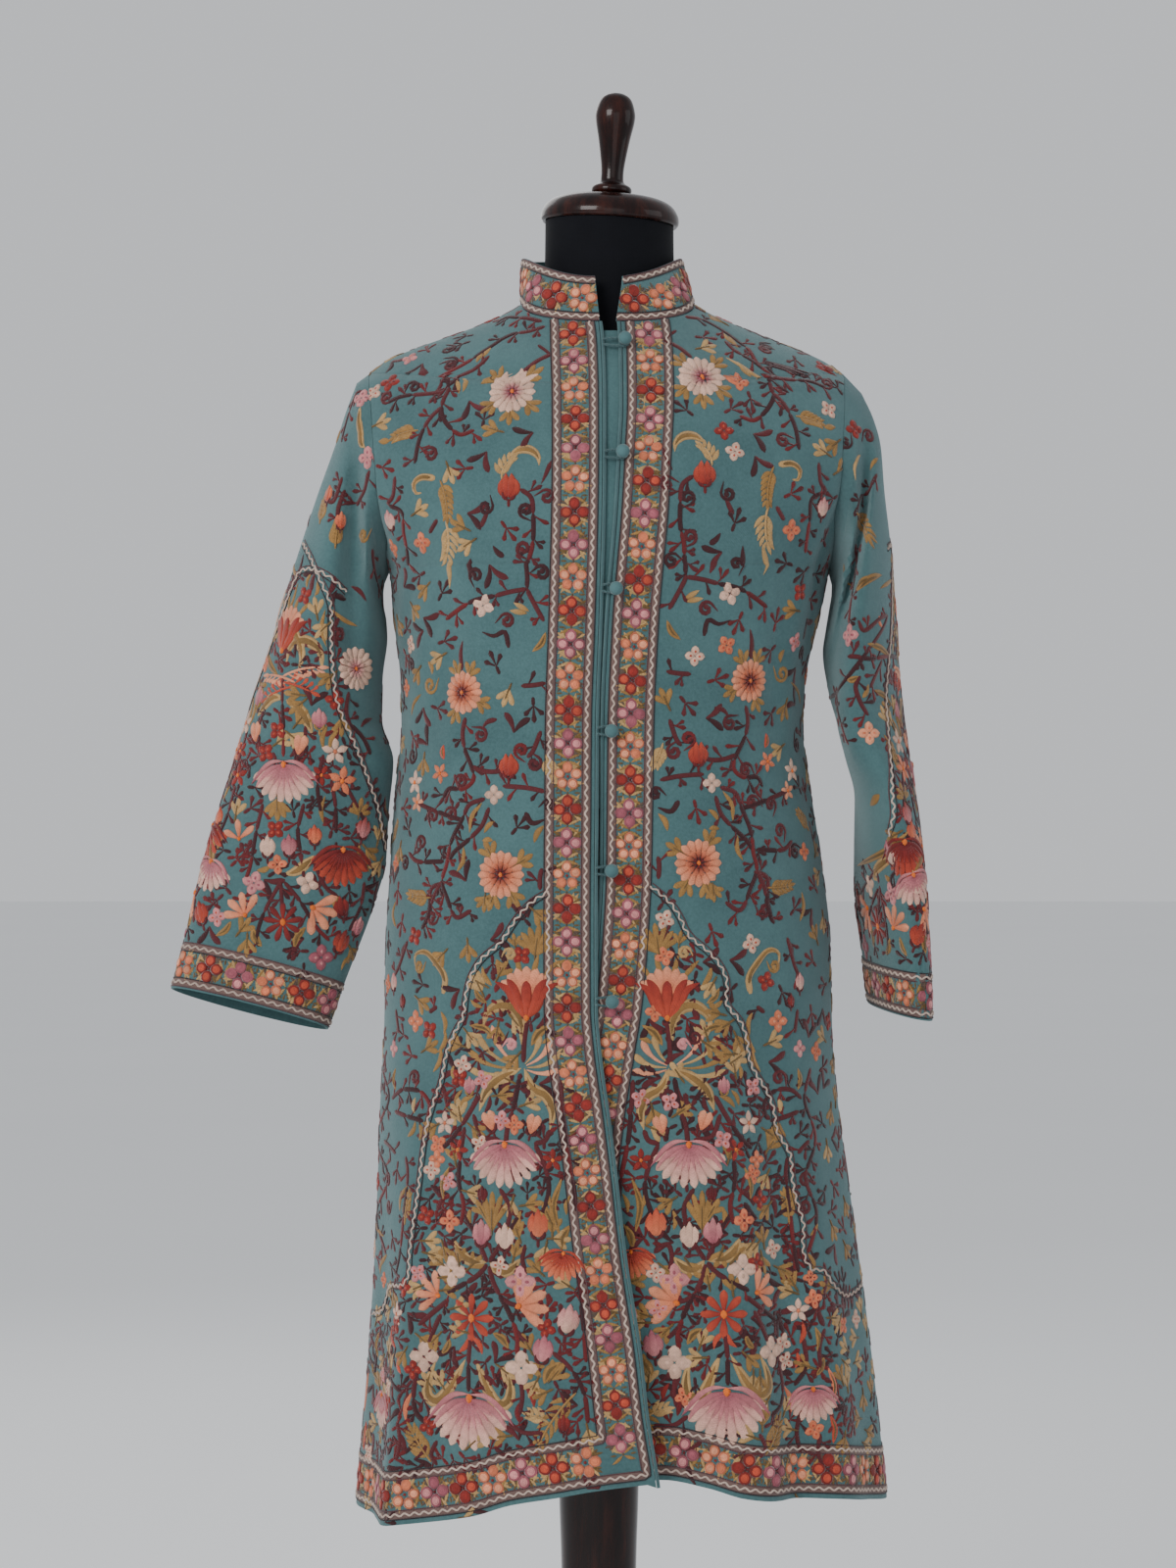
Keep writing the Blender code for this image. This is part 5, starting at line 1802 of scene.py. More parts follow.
@dataclass
class Needlework:
    """The embroidery on one cloth: strokes of yarn, made into one mesh at the end.

    Attributes:
        cloth: what it is stitched on.
        seed: fixes the small differences from stroke to stroke.
    """

    cloth: Cloth
    seed: int = 1
    strokes: dict[int, list[tuple]] = field(default_factory=dict)
    taken: list[Array] = field(default_factory=list)

    def __post_init__(self) -> None:
        """Starts the fixed run of small differences."""
        self.chance = np.random.default_rng(self.seed)

    def lay(
        self,
        places: Array,
        outline: Outline,
        width: float,
        colour: Wool,
        end: Wool | None = None,
        height: float = 0.7,
        level: float = 0.0,
    ) -> None:
        """One stroke along grid places.

        Args:
            places: rows and columns of a few marks along it.
            outline: how its width runs.
            width: its greatest width in millimetres.
            colour: the yarn at its start.
            end: the yarn at its end, the same if left out.
            height: how high it stands.
            level: how far it is raised over what lies below it.
        """
        if len(places) < 2 or self.cloth.outside(places).mean() > STROKE_OUTSIDE:
            return
        marks = self.cloth.sample(self.cloth.points, places)
        length = np.linalg.norm(np.diff(marks, axis=0), axis=-1).sum()
        count = int(np.clip(round(length / STROKE_STEP) + STROKE_EXTRA, *STROKE_POINTS))
        spine = through(places, count)
        self.taken.append(self.cloth.sample(self.cloth.points, spine[::2]))
        tint = 1 + self.chance.normal(0, 0.07)
        first = colour.linear * tint
        last = (end or colour).linear * tint
        self.strokes.setdefault(count, []).append(
            (spine, outline, width / 2, height, level, first, last)
        )

    def stitch(
        self, pen: Pen, marks: Sequence[Sequence[float]], *look: Any, **more: Any
    ) -> None:
        """One stroke along marks in a motif's own millimetres; see lay for the rest."""
        places = pen.at(marks)
        if "width" in more:
            more["width"] *= pen.size
        look = list(look)
        if len(look) > 1:
            look[1] *= pen.size
        self.lay(places, *look, **more)

    def build(self, name: str, finish: bpy.types.Material) -> list[bpy.types.Object]:
        """All strokes, as one piece or, where they are many, shared out over a few.

        Args:
            name: the piece's name.
            finish: the yarn's material.

        Returns:
            The mesh objects.
        """
        across = len(CROSS) - 1
        whole = sum((count - 1) * across * len(rows) for count, rows in self.strokes.items())
        shares = math.ceil(whole / PIECE_FACES)
        names = [name] if shares == 1 else [f"{name}_{k + 1}" for k in range(shares)]
        return [self.share(each, finish, k, shares) for k, each in enumerate(names)]

    def share(self, name: str, finish: bpy.types.Material, first: int,
              every: int) -> bpy.types.Object:
        """One piece out of every few strokes.

        Args:
            name: the piece's name.
            finish: the yarn's material.
            first: the number of the first stroke.
            every: how many strokes lie from one to the next.

        Returns:
            The mesh object.
        """
        points, faces, runs, colours = [], [], [], []
        base = 0
        for count, rows in sorted(self.strokes.items()):
            strokes = rows[first::every]
            if not strokes:
                continue
            block = self.block(count, strokes)
            points.append(block[0].reshape(-1, 3))
            runs.append(block[1].reshape(-1, 2))
            colours.append(block[2].reshape(-1, 3))
            width = len(CROSS)
            number = np.arange(len(strokes) * count * width).reshape(len(strokes), count, width)
            number += base
            faces.append(grid_quads(number))
            base += number.size
        return new_piece(
            name,
            np.concatenate(points),
            np.concatenate(faces),
            finish,
            uv=np.concatenate(runs) * MM,
            colours=np.concatenate(colours),
            sharp=None,
        )

    def block(self, count: int, strokes: list[tuple]) -> tuple[Array, Array, Array]:
        """Points, runs and colours of all strokes with the same number of steps, the colours
        darker towards each stroke's edges as painted shade.
        """
        cloth = self.cloth
        share = np.linspace(0, 1, count)
        spine, outlines, half, height, level, first, last = zip(*strokes)
        spine, first, last = np.array(spine), np.array(first), np.array(last)
        half, height, level = (np.array(row)[:, None] for row in (half, height, level))
        half = half * np.array([np.interp(share, *zip(*one.value)) for one in outlines])
        here = cloth.sample(cloth.points, spine)
        per_mm = cloth.sideways(spine)
        along = np.zeros(here.shape[:2])
        along[:, 1:] = np.cumsum(np.linalg.norm(np.diff(here, axis=1), axis=-1), axis=1)
        low = np.minimum(1, np.minimum(share, 1 - share) / END_RUN + END_HEIGHT)[None]
        blend = share[None, :, None]
        yarn = first[:, None] * (1 - blend) + last[:, None] * blend
        points, runs, colours = [], [], []
        # Each point's colour is the yarn times its factor in CROSS: painted shade darkens the stroke's
        # edges
        for across, dome, tone in CROSS:
            place = spine + per_mm * (half * across)[..., None]
            lift = level * (dome > 0) + height * dome * low - STITCH_SINK * (dome == 0)
            out = unit(cloth.sample(cloth.normals, place))
            points.append(cloth.sample(cloth.points, place) + out * lift[..., None])
            runs.append(np.stack([along, half * across], -1))
            colours.append(yarn * tone)
        return np.stack(points, 2), np.stack(runs, 2), np.stack(colours, 2)

    def leaf(self, pen: Pen, x: float, y: float, turn: float, length: float, width: float,
             colour: Wool = Wool.GOLD, bend: float = 0.0, **more: Any) -> None:
        """A leaf from a foot at x and y.

        Args:
            pen: the motif's place.
            x: its foot's place to the right.
            y: its foot's place up.
            turn: its lean to the right in degrees.
            length: its length.
            width: its width.
            colour: its yarn.
            bend: how far its tip turns on, in degrees.
            more: as for lay.
        """
        marks, at, way = [(x, y)], np.array([x, y], float), turn
        for _ in range(3):
            a = math.radians(way)
            at = at + length / 3 * np.array([math.sin(a), math.cos(a)])
            marks.append(tuple(at))
            way += bend / 2
        more.setdefault("outline", Outline.LEAF)
        outline = more.pop("outline")
        self.stitch(pen, marks, outline, width, colour, **more)

    def dot(self, pen: Pen, x: float, y: float, wide: float, colour: Wool, **more: Any) -> None:
        """A small round knot of yarn."""
        half = wide / 2
        more.setdefault("height", 1.0)
        self.stitch(pen, [(x, y - half), (x, y), (x, y + half)], Outline.SPOT, wide, colour, **more)

    def ringed(self, pen: Pen, count: int, inner: float, outer: float, width: float,
               colour: Wool, end: Wool | None = None, start: float = 0.0, sweep: float = 360.0,
               outline: Outline = Outline.PETAL, **more: Any) -> None:
        """Petals round the motif's centre.

        Args:
            pen: the motif's place.
            count: how many.
            inner: where they begin.
            outer: where they end.
            width: their width.
            colour: their yarn.
            end: their yarn at the tip.
            start: the first one's lean.
            sweep: the angle that they fill.
            outline: their shape.
            more: as for lay.
        """
        step = sweep / count if sweep == 360 else sweep / max(count - 1, 1)
        for k in range(count):
            a = math.radians(start + k * step)
            s, c = math.sin(a), math.cos(a)
            marks = [(inner * s, inner * c), ((inner + outer) / 2 * s, (inner + outer) / 2 * c),
                     (outer * s, outer * c)]
            self.stitch(pen, marks, outline, width, colour, end, **more)

    def palmate(self, pen: Pen, colour: Wool = Wool.GOLD, lobes: int = 5, long: float = 14.0,
                spread: float = 30.0) -> None:
        """A leaf of blunt lobes that spread from its foot."""
        for k in range(lobes):
            lean = (k - (lobes - 1) / 2) * spread
            self.leaf(pen, 0, 0, lean, long * (1 - abs(lean) / 260), min(long * 0.36, 6.4), colour,
                      bend=lean * 0.35, outline=Outline.PETAL, height=0.8, level=0.05 * (k % 2))
        self.stitch(pen, [(0, -4), (0, 0), (0, long * 0.6)], Outline.ROD, 1.6, Wool.OLIVE,
                    height=0.7, level=0.4)

    def rosette(self, pen: Pen, outer: Wool, tip: Wool, ring: Wool, leaves: Sequence[float] = (),
                green: Wool = Wool.GOLD) -> None:
        """A large flower of many petals, 41 mm across, with clusters of leaves."""
        for at in leaves:
            s, c = math.sin(math.radians(at)), math.cos(math.radians(at))
            self.palmate(pen.shifted(16 * s, 16 * c, at), green, 3, 17)
        self.ringed(pen, 16, 8, 20.5, 7.8, outer, tip, height=0.9, level=0.3)
        self.ringed(pen, 11, 3.5, 11.5, 5.6, ring, outer, height=0.9, level=0.8)
        self.ringed(pen, 6, 1, 5, 3.4, Wool.CRIMSON, ring, height=0.8, level=1.1)
        self.dot(pen, 0, 0, 4.6, Wool.ORANGE, level=1.4)

    def blossom(self, pen: Pen, colour: Wool, eye: Wool, petals: int = 4, wide: float = 19.0,
                start: float = 0.0, middle: Wool | None = None) -> None:
        """A flower of round petals, each with an eye."""
        r = wide / 2
        across = r * (1.02 if petals == 4 else 0.86)
        h = across / 2
        for k in range(petals):
            a = math.radians(start + 360 * k / petals)
            away = r * 0.58
            petal = pen.shifted(away * math.sin(a), away * math.cos(a), math.degrees(a))
            self.stitch(petal, [(0, -h), (0, 0), (0, h)], Outline.SPOT, across, colour,
                        height=1.0, level=0.15)
            self.dot(petal, 0, -h * 0.2, across * 0.36, eye, level=0.8, height=0.4)
        if middle:
            self.dot(pen, 0, 0, r * 0.34, middle, level=0.9, height=0.5)

    def star(self, pen: Pen, colour: Wool, centre: Wool = Wool.ORANGE, points: int = 5,
             wide: float = 20.0, end: Wool | None = None) -> None:
        """A flower of narrow petals."""
        r = wide / 2
        self.ringed(pen, points, 0.8, r, r * 0.6 * 5 / points, colour, end, height=0.9, level=0.1,
                    outline=Outline.LEAF if points == 5 else Outline.PETAL)
        self.dot(pen, 0, 0, r * 0.36, centre, level=0.8, height=0.6)

    def tulip(self, pen: Pen, cup: Wool = Wool.RED, top: Wool = Wool.PEACH,
              tip: Wool = Wool.SALMON) -> None:
        """A flaring flower, 44 mm high, that stands on an orange knot."""
        for lean in (-34, -12, 12, 34):
            self.leaf(pen, lean * 0.35, 30, lean, 20, 5, Wool.GOLD, bend=lean * 0.4)
        self.ringed(pen.shifted(0, 17), 7, 4, 23, 8.4, top, tip, start=-60, sweep=120,
                    height=0.9, level=0.1)
        for side in (-1, 1):
            self.stitch(pen, [(side * 1, 2), (side * 8, 13), (side * 14, 22), (side * 25, 28)],
                        Outline.BLADE, 12, Wool.CORAL, cup, height=0.9, level=0.5)
            self.stitch(pen, [(side * 1, 2), (side * 6, 12), (side * 9, 22), (side * 15, 30)],
                        Outline.PETAL, 8.5, Wool.CORAL, cup, height=0.9, level=0.8)
        self.stitch(pen, [(0, 2), (0, 12), (0, 29)], Outline.PETAL, 10, Wool.CORAL, cup,
                    height=1.0, level=1.1)
        self.dot(pen, 0, 1, 5.4, Wool.ORANGE, level=1.2)

    def fan(self, pen: Pen, skirt: Wool = Wool.IVORY, shade: Wool = Wool.PINK,
            wing: Wool = Wool.MAUVE, petals: int = 10) -> None:
        """A hanging fan flower, 58 mm wide, under an orange knot."""
        for k in range(petals):
            lean = 112 + 136 * k / (petals - 1)
            s, c = math.sin(math.radians(lean)), math.cos(math.radians(lean))
            reach = 37 - 5 * abs(c + 1)
            self.stitch(pen, [(12 * s, 12 * c), (24 * s, 24 * c), (reach * s, reach * c)],
                        Outline.PETAL, 8.6, shade, skirt, height=0.9, level=0.1)
        self.ringed(pen, 9, 2, 22, 5.6, wing, shade, start=124, sweep=112, height=0.9, level=0.6,
                    outline=Outline.BLADE)
        for side in (-1, 1):
            self.stitch(pen, [(0, 0), (side * 12, -4), (side * 22, -12), (side * 28, -21)],
                        Outline.LEAF, 6.4, wing, shade, height=0.9, level=1.0)
            self.stitch(pen, [(0, 3), (side * 12, 2), (side * 22, -5), (side * 33, -18)],
                        Outline.LEAF, 5.4, shade, wing, height=0.9, level=0.7)
        self.dot(pen, 0, 0, 6.4, Wool.ORANGE, level=1.5)

    def profile(self, pen: Pen, colour: Wool = Wool.PEACH, tip: Wool = Wool.SALMON,
                petals: int = 4, long: float = 22.0, sweep: float = 116.0) -> None:
        """A flower seen from the side, its petals spread upwards from an orange knot."""
        self.ringed(pen, petals, 1.5, long, 8.4, colour, tip, start=-sweep / 2, sweep=sweep,
                    height=0.9, level=0.2)
        self.dot(pen, 0, 0, 5, Wool.ORANGE, level=1.0)

    def bud(self, pen: Pen, colour: Wool = Wool.PEACH, tip: Wool | None = None,
            sepal: Wool = Wool.MAROON, petals: int = 3) -> None:
        """A small bud, 20 mm high, on its sepals."""
        spread = {2: (-20, 20), 3: (-30, 30, 0), 4: (-44, 44, -15, 15)}[petals]
        for k, lean in enumerate(spread):
            self.leaf(pen, 0, 1, lean, 19 - abs(lean) / 12, 8.2, colour, bend=-lean * 1.1,
                      end=tip, height=1.0, level=0.2 + 0.25 * k,
                      outline=Outline.LEAF if petals > 2 else Outline.PETAL)
        for side in (-1, 1):
            self.leaf(pen, 0, -1, side * 62, 9, 3.4, sepal, bend=-side * 60, height=0.8, level=0.6)
        self.stitch(pen, [(0, -6), (0, 0)], Outline.ROD, 2.6, sepal, height=0.8)

    def fern(self, pen: Pen, length: float, bend: float = 30.0, pairs: int = 6,
             colour: Wool = Wool.GOLD, reach: float = 9.0, lean: float = 42.0,
             comb: bool = False) -> None:
        """A spray of leaflets along a curved rib, on both sides or as a comb on one."""
        x, y, way = 0.0, 0.0, 0.0
        marks = [(x, y)]
        for k in range(pairs):
            step = length / (pairs + 1)
            a = math.radians(way)
            x, y = x + step * math.sin(a), y + step * math.cos(a)
            marks.append((x, y))
            near = 1 - 0.4 * k / pairs
            long, wide = 1.4 * reach * near, 4.4 * near + 1.1
            for side in (1,) if comb else (-1, 1):
                self.leaf(pen, x, y, way + side * lean, long, wide, colour,
                          bend=-side * 20, outline=Outline.DROP if comb else Outline.LEAF)
            way += bend / pairs
        self.leaf(pen, x, y, way, 1.2 * reach, 4.4, colour)
        self.stitch(pen, marks, Outline.ROD, 2.4, colour, height=0.8, level=0.3)

    def sprig(self, pen: Pen, colour: Wool = Wool.MAROON, size: float = 1.0) -> None:
        """Three short blunt leaflets on a stalk."""
        for lean, long in ((-46, 8), (0, 10), (46, 8)):
            self.leaf(pen, 0, 3 * size, lean, long * size, 3.8 * size, colour,
                      outline=Outline.DROP)
        self.stitch(pen, [(0, -2), (0, 3 * size)], Outline.ROD, 2.4, colour)

    def curl(self, pen: Pen, wide: float = 17.0, colour: Wool = Wool.MAROON,
             thick: float = 4.4) -> None:
        """A tendril that rolls up, from its foot."""
        marks = []
        for k in range(13):
            a = math.radians(200 - k * 36)
            r = wide / 2 * (1 - k / 16)
            marks.append((wide / 2 + r * math.cos(a), wide * 0.6 + r * math.sin(a)))
        self.stitch(pen, [(0, 0), *marks], Outline.TAIL, thick, colour, height=0.8)
        self.dot(pen, marks[-1][0], marks[-1][1], thick * 1.3, colour, level=0.1)

    def scroll(self, pen: Pen, wide: float = 17.0, colour: Wool = Wool.MAROON,
               thick: float = 4.4) -> None:
        """A tendril that rolls up round the motif's centre."""
        self.curl(pen.shifted(-wide / 2, -wide * 0.6), wide, colour, thick)

    def one_of(self, *tones: Wool) -> Wool:
        """One of some yarns, by chance."""
        return tones[int(self.chance.integers(len(tones)))]

    def ribbon(self, places: Array, width: float, colour: Wool = Wool.GOLD,
               edge: Wool = Wool.OCHRE, outline: Outline = Outline.LEAF) -> None:
        """A broad band of yarn with a lighter outline."""
        self.lay(places, outline, width, edge, height=0.7)
        self.lay(through(places, 9)[1:-1], outline, width * 0.62, colour, Wool.OLIVE, height=0.45,
                 level=0.62)

    def vine(self, places: Array, width: float = 4.6, leaflets: bool = True,
             gap: float = 10.0) -> None:
        """A branching stem with short forked leaflets on both sides.

        Args:
            places: rows and columns of marks along it.
            width: the stem's width.
            leaflets: whether it carries leaflets.
            gap: how far apart they are.
        """
        if len(places) < 2:
            return
        marks = self.cloth.sample(self.cloth.points, places)
        length = np.linalg.norm(np.diff(marks, axis=0), axis=-1).sum()
        parts = max(round(length / STEM_PART), 1)
        line = through(places, parts * STEM_STEPS + 1)
        tones = (Wool.MAROON, Wool.WINE, Wool.CRIMSON, Wool.WINE)
        for k in range(parts):
            piece = line[k * STEM_STEPS : (k + 1) * STEM_STEPS + 1]
            self.lay(piece, Outline.ROD, width, tones[k % 4], height=0.85, level=0.05)
        if not leaflets:
            return
        count = max(round(length / gap), 1)
        spots = through(places, count * 2 + 1)
        for k, (knot, ahead) in enumerate(zip(spots[1::2], spots[2::2])):
            turn = self.cloth.heading(knot, ahead)
            side = 1 if k % 2 else -1
            pen = Pen(self.cloth, knot, turn + side * self.chance.uniform(38, 62))
            tone = self.one_of(Wool.MAROON, Wool.WINE, Wool.CRIMSON)
            long = self.chance.uniform(11, 17)
            self.leaf(pen, 0, 0, 0, long, 5.0, tone, outline=Outline.DROP, bend=side * 12)
            if self.chance.random() < 0.55:
                self.leaf(pen, 0, long * 0.3, side * 50, long * 0.65, 4.4, tone,
                          outline=Outline.DROP)


class Grower:
    """A geometry tree that turns guide lines or points on a cloth into finished yarn work.

    Args:
        name: the tree's name.
        sizes: named inputs with their default values.
    """

    def __init__(self, name: str, sizes: dict[str, float]) -> None:
        """Makes the tree with its named inputs."""
        self.tree = bpy.data.node_groups.new(name, "GeometryNodeTree")
        side = self.tree.interface
        side.new_socket("Geometry", in_out="INPUT", socket_type="NodeSocketGeometry")
        side.new_socket("Geometry", in_out="OUTPUT", socket_type="NodeSocketGeometry")
        self.sockets = {}
        for key, value in sizes.items():
            socket = side.new_socket(key, in_out="INPUT", socket_type="NodeSocketFloat")
            socket.default_value = value
            self.sockets[key] = socket.identifier
        self.entry = self.tree.nodes.new("NodeGroupInput")
        self.exit = self.tree.nodes.new("NodeGroupOutput")

    def size(self, name: str) -> Wire:
        """A named input as a value for expressions."""
        return Wire(self.tree, self.entry.outputs[name])

    def node(self, kind: str, settings: dict[str, Any], inputs: dict[Any, Any]) -> bpy.types.Node:
        """Any node, its settings first and then the values or links of its sockets."""
        made = self.tree.nodes.new(kind)
        for key, value in settings.items():
            setattr(made, key, value)
        for key, value in inputs.items():
            plug(self.tree, made.inputs[key], value)
        return made

    def attribute(self, name: str, kind: str = "FLOAT_VECTOR") -> Any:
        """A named attribute of the guide."""
        made = self.node("GeometryNodeInputNamedAttribute", {"data_type": kind}, {"Name": name})
        return made.outputs["Attribute"]

    def vector(self, operation: str, first: Any, second: Any = None, scale: Any = None) -> Any:
        """A Vector Math node's vector."""
        inputs = {0: first}
        if second is not None:
            inputs[1] = second
        if scale is not None:
            inputs["Scale"] = scale
        return self.node("ShaderNodeVectorMath", {"operation": operation}, inputs).outputs[0]

    def finish(self, geometry: Any, finish: bpy.types.Material) -> None:
        """Ends the tree in Realize Instances and Set Material."""
        whole = self.node("GeometryNodeRealizeInstances", {}, {0: geometry}).outputs[0]
        made = self.node("GeometryNodeSetMaterial", {}, {"Geometry": whole, "Material": finish})
        self.tree.links.new(made.outputs[0], self.exit.inputs[0])

    def grow(self, name: str, guide: bpy.types.Mesh, **sizes: float) -> bpy.types.Object:
        """Runs the tree on a guide and keeps the result as a plain mesh.

        Args:
            name: the piece's name.
            guide: the guide's mesh.
            sizes: values of the named inputs.

        Returns:
            The finished object.
        """
        carrier = bpy.data.objects.new(name + "_guide", guide)
        bpy.context.scene.collection.objects.link(carrier)
        modifier = carrier.modifiers.new("Growth", "NODES")
        modifier.node_group = self.tree
        for key, value in sizes.items():
            modifier[self.sockets[key]] = float(value)
        graph = bpy.context.evaluated_depsgraph_get()
        shown = carrier.evaluated_get(graph)
        mesh = bpy.data.meshes.new_from_object(shown, depsgraph=graph)
        carrier.modifiers.remove(modifier)
        bpy.data.objects.remove(carrier)
        mesh.name = name
        mesh.shade_smooth()
        made = bpy.data.objects.new(name, mesh)
        bpy.context.scene.collection.objects.link(made)
        LOG.info("%s: %d faces", name, len(mesh.polygons))
        return made


def line_guide(lines: Sequence[tuple[Array, Array]], name: str) -> bpy.types.Mesh:
    """A mesh of polylines with the cloth's outward way in the attribute facing.

    Args:
        lines: for each, its points in millimetres and the normals there.
        name: the mesh's name.

    Returns:
        The mesh.
    """
    points = np.concatenate([line[0] for line in lines]) * MM
    facing = np.concatenate([line[1] for line in lines])
    edges, base = [], 0
    for line, _ in lines:
        edges += [(base + i, base + i + 1) for i in range(len(line) - 1)]
        base += len(line)
    mesh = bpy.data.meshes.new(name)
    mesh.from_pydata(points.tolist(), edges, [])
    layer = mesh.attributes.new("facing", "FLOAT_VECTOR", "POINT")
    layer.data.foreach_set("vector", facing.astype(np.float32).ravel())
    return mesh


def braid_tree(finish: bpy.types.Material) -> Grower:
    """The tree for wavy braid and for plain laid cords, along lines on a cloth.

    Args:
        finish: the cord's material.

    Returns:
        The tree, with its radius, swing, wave length, step and lift as inputs in metres.
    """
    sizes = {"Radius": 0.00088, "Swing": 0.0012, "Wave": 0.009, "Step": 0.0015, "Lift": 0.0006}
    grower = Grower("wavy_braid", sizes)
    line = grower.node("GeometryNodeMeshToCurve", {}, {0: grower.entry.outputs[0]}).outputs[0]
    fine = grower.node(
        "GeometryNodeResampleCurve",
        {"mode": "LENGTH"},
        {"Curve": line, "Length": grower.size("Step")},
    ).outputs[0]
    facing = grower.vector("NORMALIZE", grower.attribute("facing"))
    tangent = grower.node("GeometryNodeInputTangent", {}, {}).outputs[0]
    side = grower.vector("NORMALIZE", grower.vector("CROSS_PRODUCT", tangent, facing))
    run = grower.node("GeometryNodeSplineParameter", {}, {}).outputs["Length"]
    phase = Wire(grower.tree, run) * (2 * math.pi) / grower.size("Wave")
    swing = phase.wave() * grower.size("Swing")
    offset = grower.vector(
        "ADD",
        grower.vector("SCALE", side, scale=swing),
        grower.vector("SCALE", facing, scale=grower.size("Lift")),
    )
    kept = grower.node(
        "GeometryNodeCaptureAttribute",
        {},
        {0: fine},
    )
    kept.capture_items.new("FLOAT", "Length")
    grower.tree.links.new(run, kept.inputs[1])
    waved = grower.node(
        "GeometryNodeSetPosition", {}, {0: kept.outputs[0], "Offset": offset}
    ).outputs[0]
    ring = grower.node(
        "GeometryNodeCurvePrimitiveCircle", {}, {"Resolution": 6, "Radius": grower.size("Radius")}
    ).outputs[0]
    around = grower.node("GeometryNodeSplineParameter", {}, {}).outputs["Length"]
    ring_kept = grower.node("GeometryNodeCaptureAttribute", {}, {0: ring})
    ring_kept.capture_items.new("FLOAT", "Round")
    grower.tree.links.new(around, ring_kept.inputs[1])
    tube = grower.node(
        "GeometryNodeCurveToMesh",
        {},
        {"Curve": waved, "Profile Curve": ring_kept.outputs[0], "Fill Caps": True},
    ).outputs[0]
    pair = grower.node("ShaderNodeCombineXYZ", {}, {0: kept.outputs[1], 1: ring_kept.outputs[1]})
    stored = grower.node(
        "GeometryNodeStoreNamedAttribute",
        {"data_type": "FLOAT2", "domain": "CORNER"},
        {"Geometry": tube, "Name": "weave", "Value": pair.outputs[0]},
    ).outputs[0]
    grower.finish(stored, finish)
    return grower


def point_guide(rows: Sequence[tuple], name: str) -> bpy.types.Mesh:
    """A mesh of loose points for knots of yarn.

    Args:
        rows: for each, its place, facing, turn, width and colour.
        name: the mesh's name.

    Returns:
        The mesh, with these kept as attributes.
    """
    mesh = bpy.data.meshes.new(name)
    mesh.from_pydata([tuple(row[0] * MM) for row in rows], [], [])
    for key, kind, index, slot in (
        ("facing", "FLOAT_VECTOR", 1, "vector"),
        ("turn", "FLOAT", 2, "value"),
        ("wide", "FLOAT", 3, "value"),
        ("long", "FLOAT", 4, "value"),
    ):
        layer = mesh.attributes.new(key, kind, "POINT")
        values = np.array([row[index] for row in rows], np.float32)
        layer.data.foreach_set(slot, values.ravel())
    layer = mesh.attributes.new("yarn", "FLOAT_COLOR", "POINT")
    rgba = np.array([(*row[5], 1.0) for row in rows], np.float32)
    layer.data.foreach_set("color", rgba.ravel())
    return mesh


def petal_tree(finish: bpy.types.Material) -> Grower:
    """The tree for rolled petals: a low oval dome of coiled yarn on each point.

    Args:
        finish: the yarn's material.

    Returns:
        The tree, with an input for how high a petal stands for its width.
    """
    grower = Grower("rolled_petals", {"Crown": 0.12})
    ball = grower.node(
        "GeometryNodeMeshUVSphere", {}, {"Segments": 9, "Rings": 4, "Radius": 0.5}
    ).outputs[0]
    place = grower.node("GeometryNodeInputPosition", {}, {}).outputs[0]
    parts = grower.node("ShaderNodeSeparateXYZ", {}, {0: place})
    x, y = (Wire(grower.tree, parts.outputs[k]) for k in range(2))
    away = (x * x + y * y).maths("SQRT") * 0.006
    around = x.maths("ARCTAN2", y) * 0.0006
    pair = grower.node("ShaderNodeCombineXYZ", {}, {0: around, 1: away}).outputs[0]
    stored = grower.node(
        "GeometryNodeStoreNamedAttribute",
        {"data_type": "FLOAT2", "domain": "CORNER"},
        {"Geometry": ball, "Name": "weave", "Value": pair},
    ).outputs[0]
    stand = grower.node(
        "FunctionNodeAlignRotationToVector",
        {"axis": "Z"},
        {"Vector": grower.attribute("facing")},
    ).outputs[0]
    spin = grower.node(
        "ShaderNodeCombineXYZ", {}, {2: grower.attribute("turn", "FLOAT")}
    ).outputs[0]
    turned_by = grower.node("FunctionNodeEulerToRotation", {}, {0: spin}).outputs[0]
    rotation = grower.node(
        "FunctionNodeRotateRotation", {"rotation_space": "LOCAL"}, {0: stand, 1: turned_by}
    ).outputs[0]
    wide = Wire(grower.tree, grower.attribute("wide", "FLOAT"))
    long = grower.attribute("long", "FLOAT")
    scale = grower.node(
        "ShaderNodeCombineXYZ", {}, {0: wide, 1: long, 2: wide * grower.size("Crown") * 2.0}
    ).outputs[0]
    set_out = grower.node(
        "GeometryNodeInstanceOnPoints",
        {},
        {"Points": grower.entry.outputs[0], "Instance": stored, "Rotation": rotation,
         "Scale": scale},
    ).outputs[0]
    grower.finish(set_out, finish)
    return grower


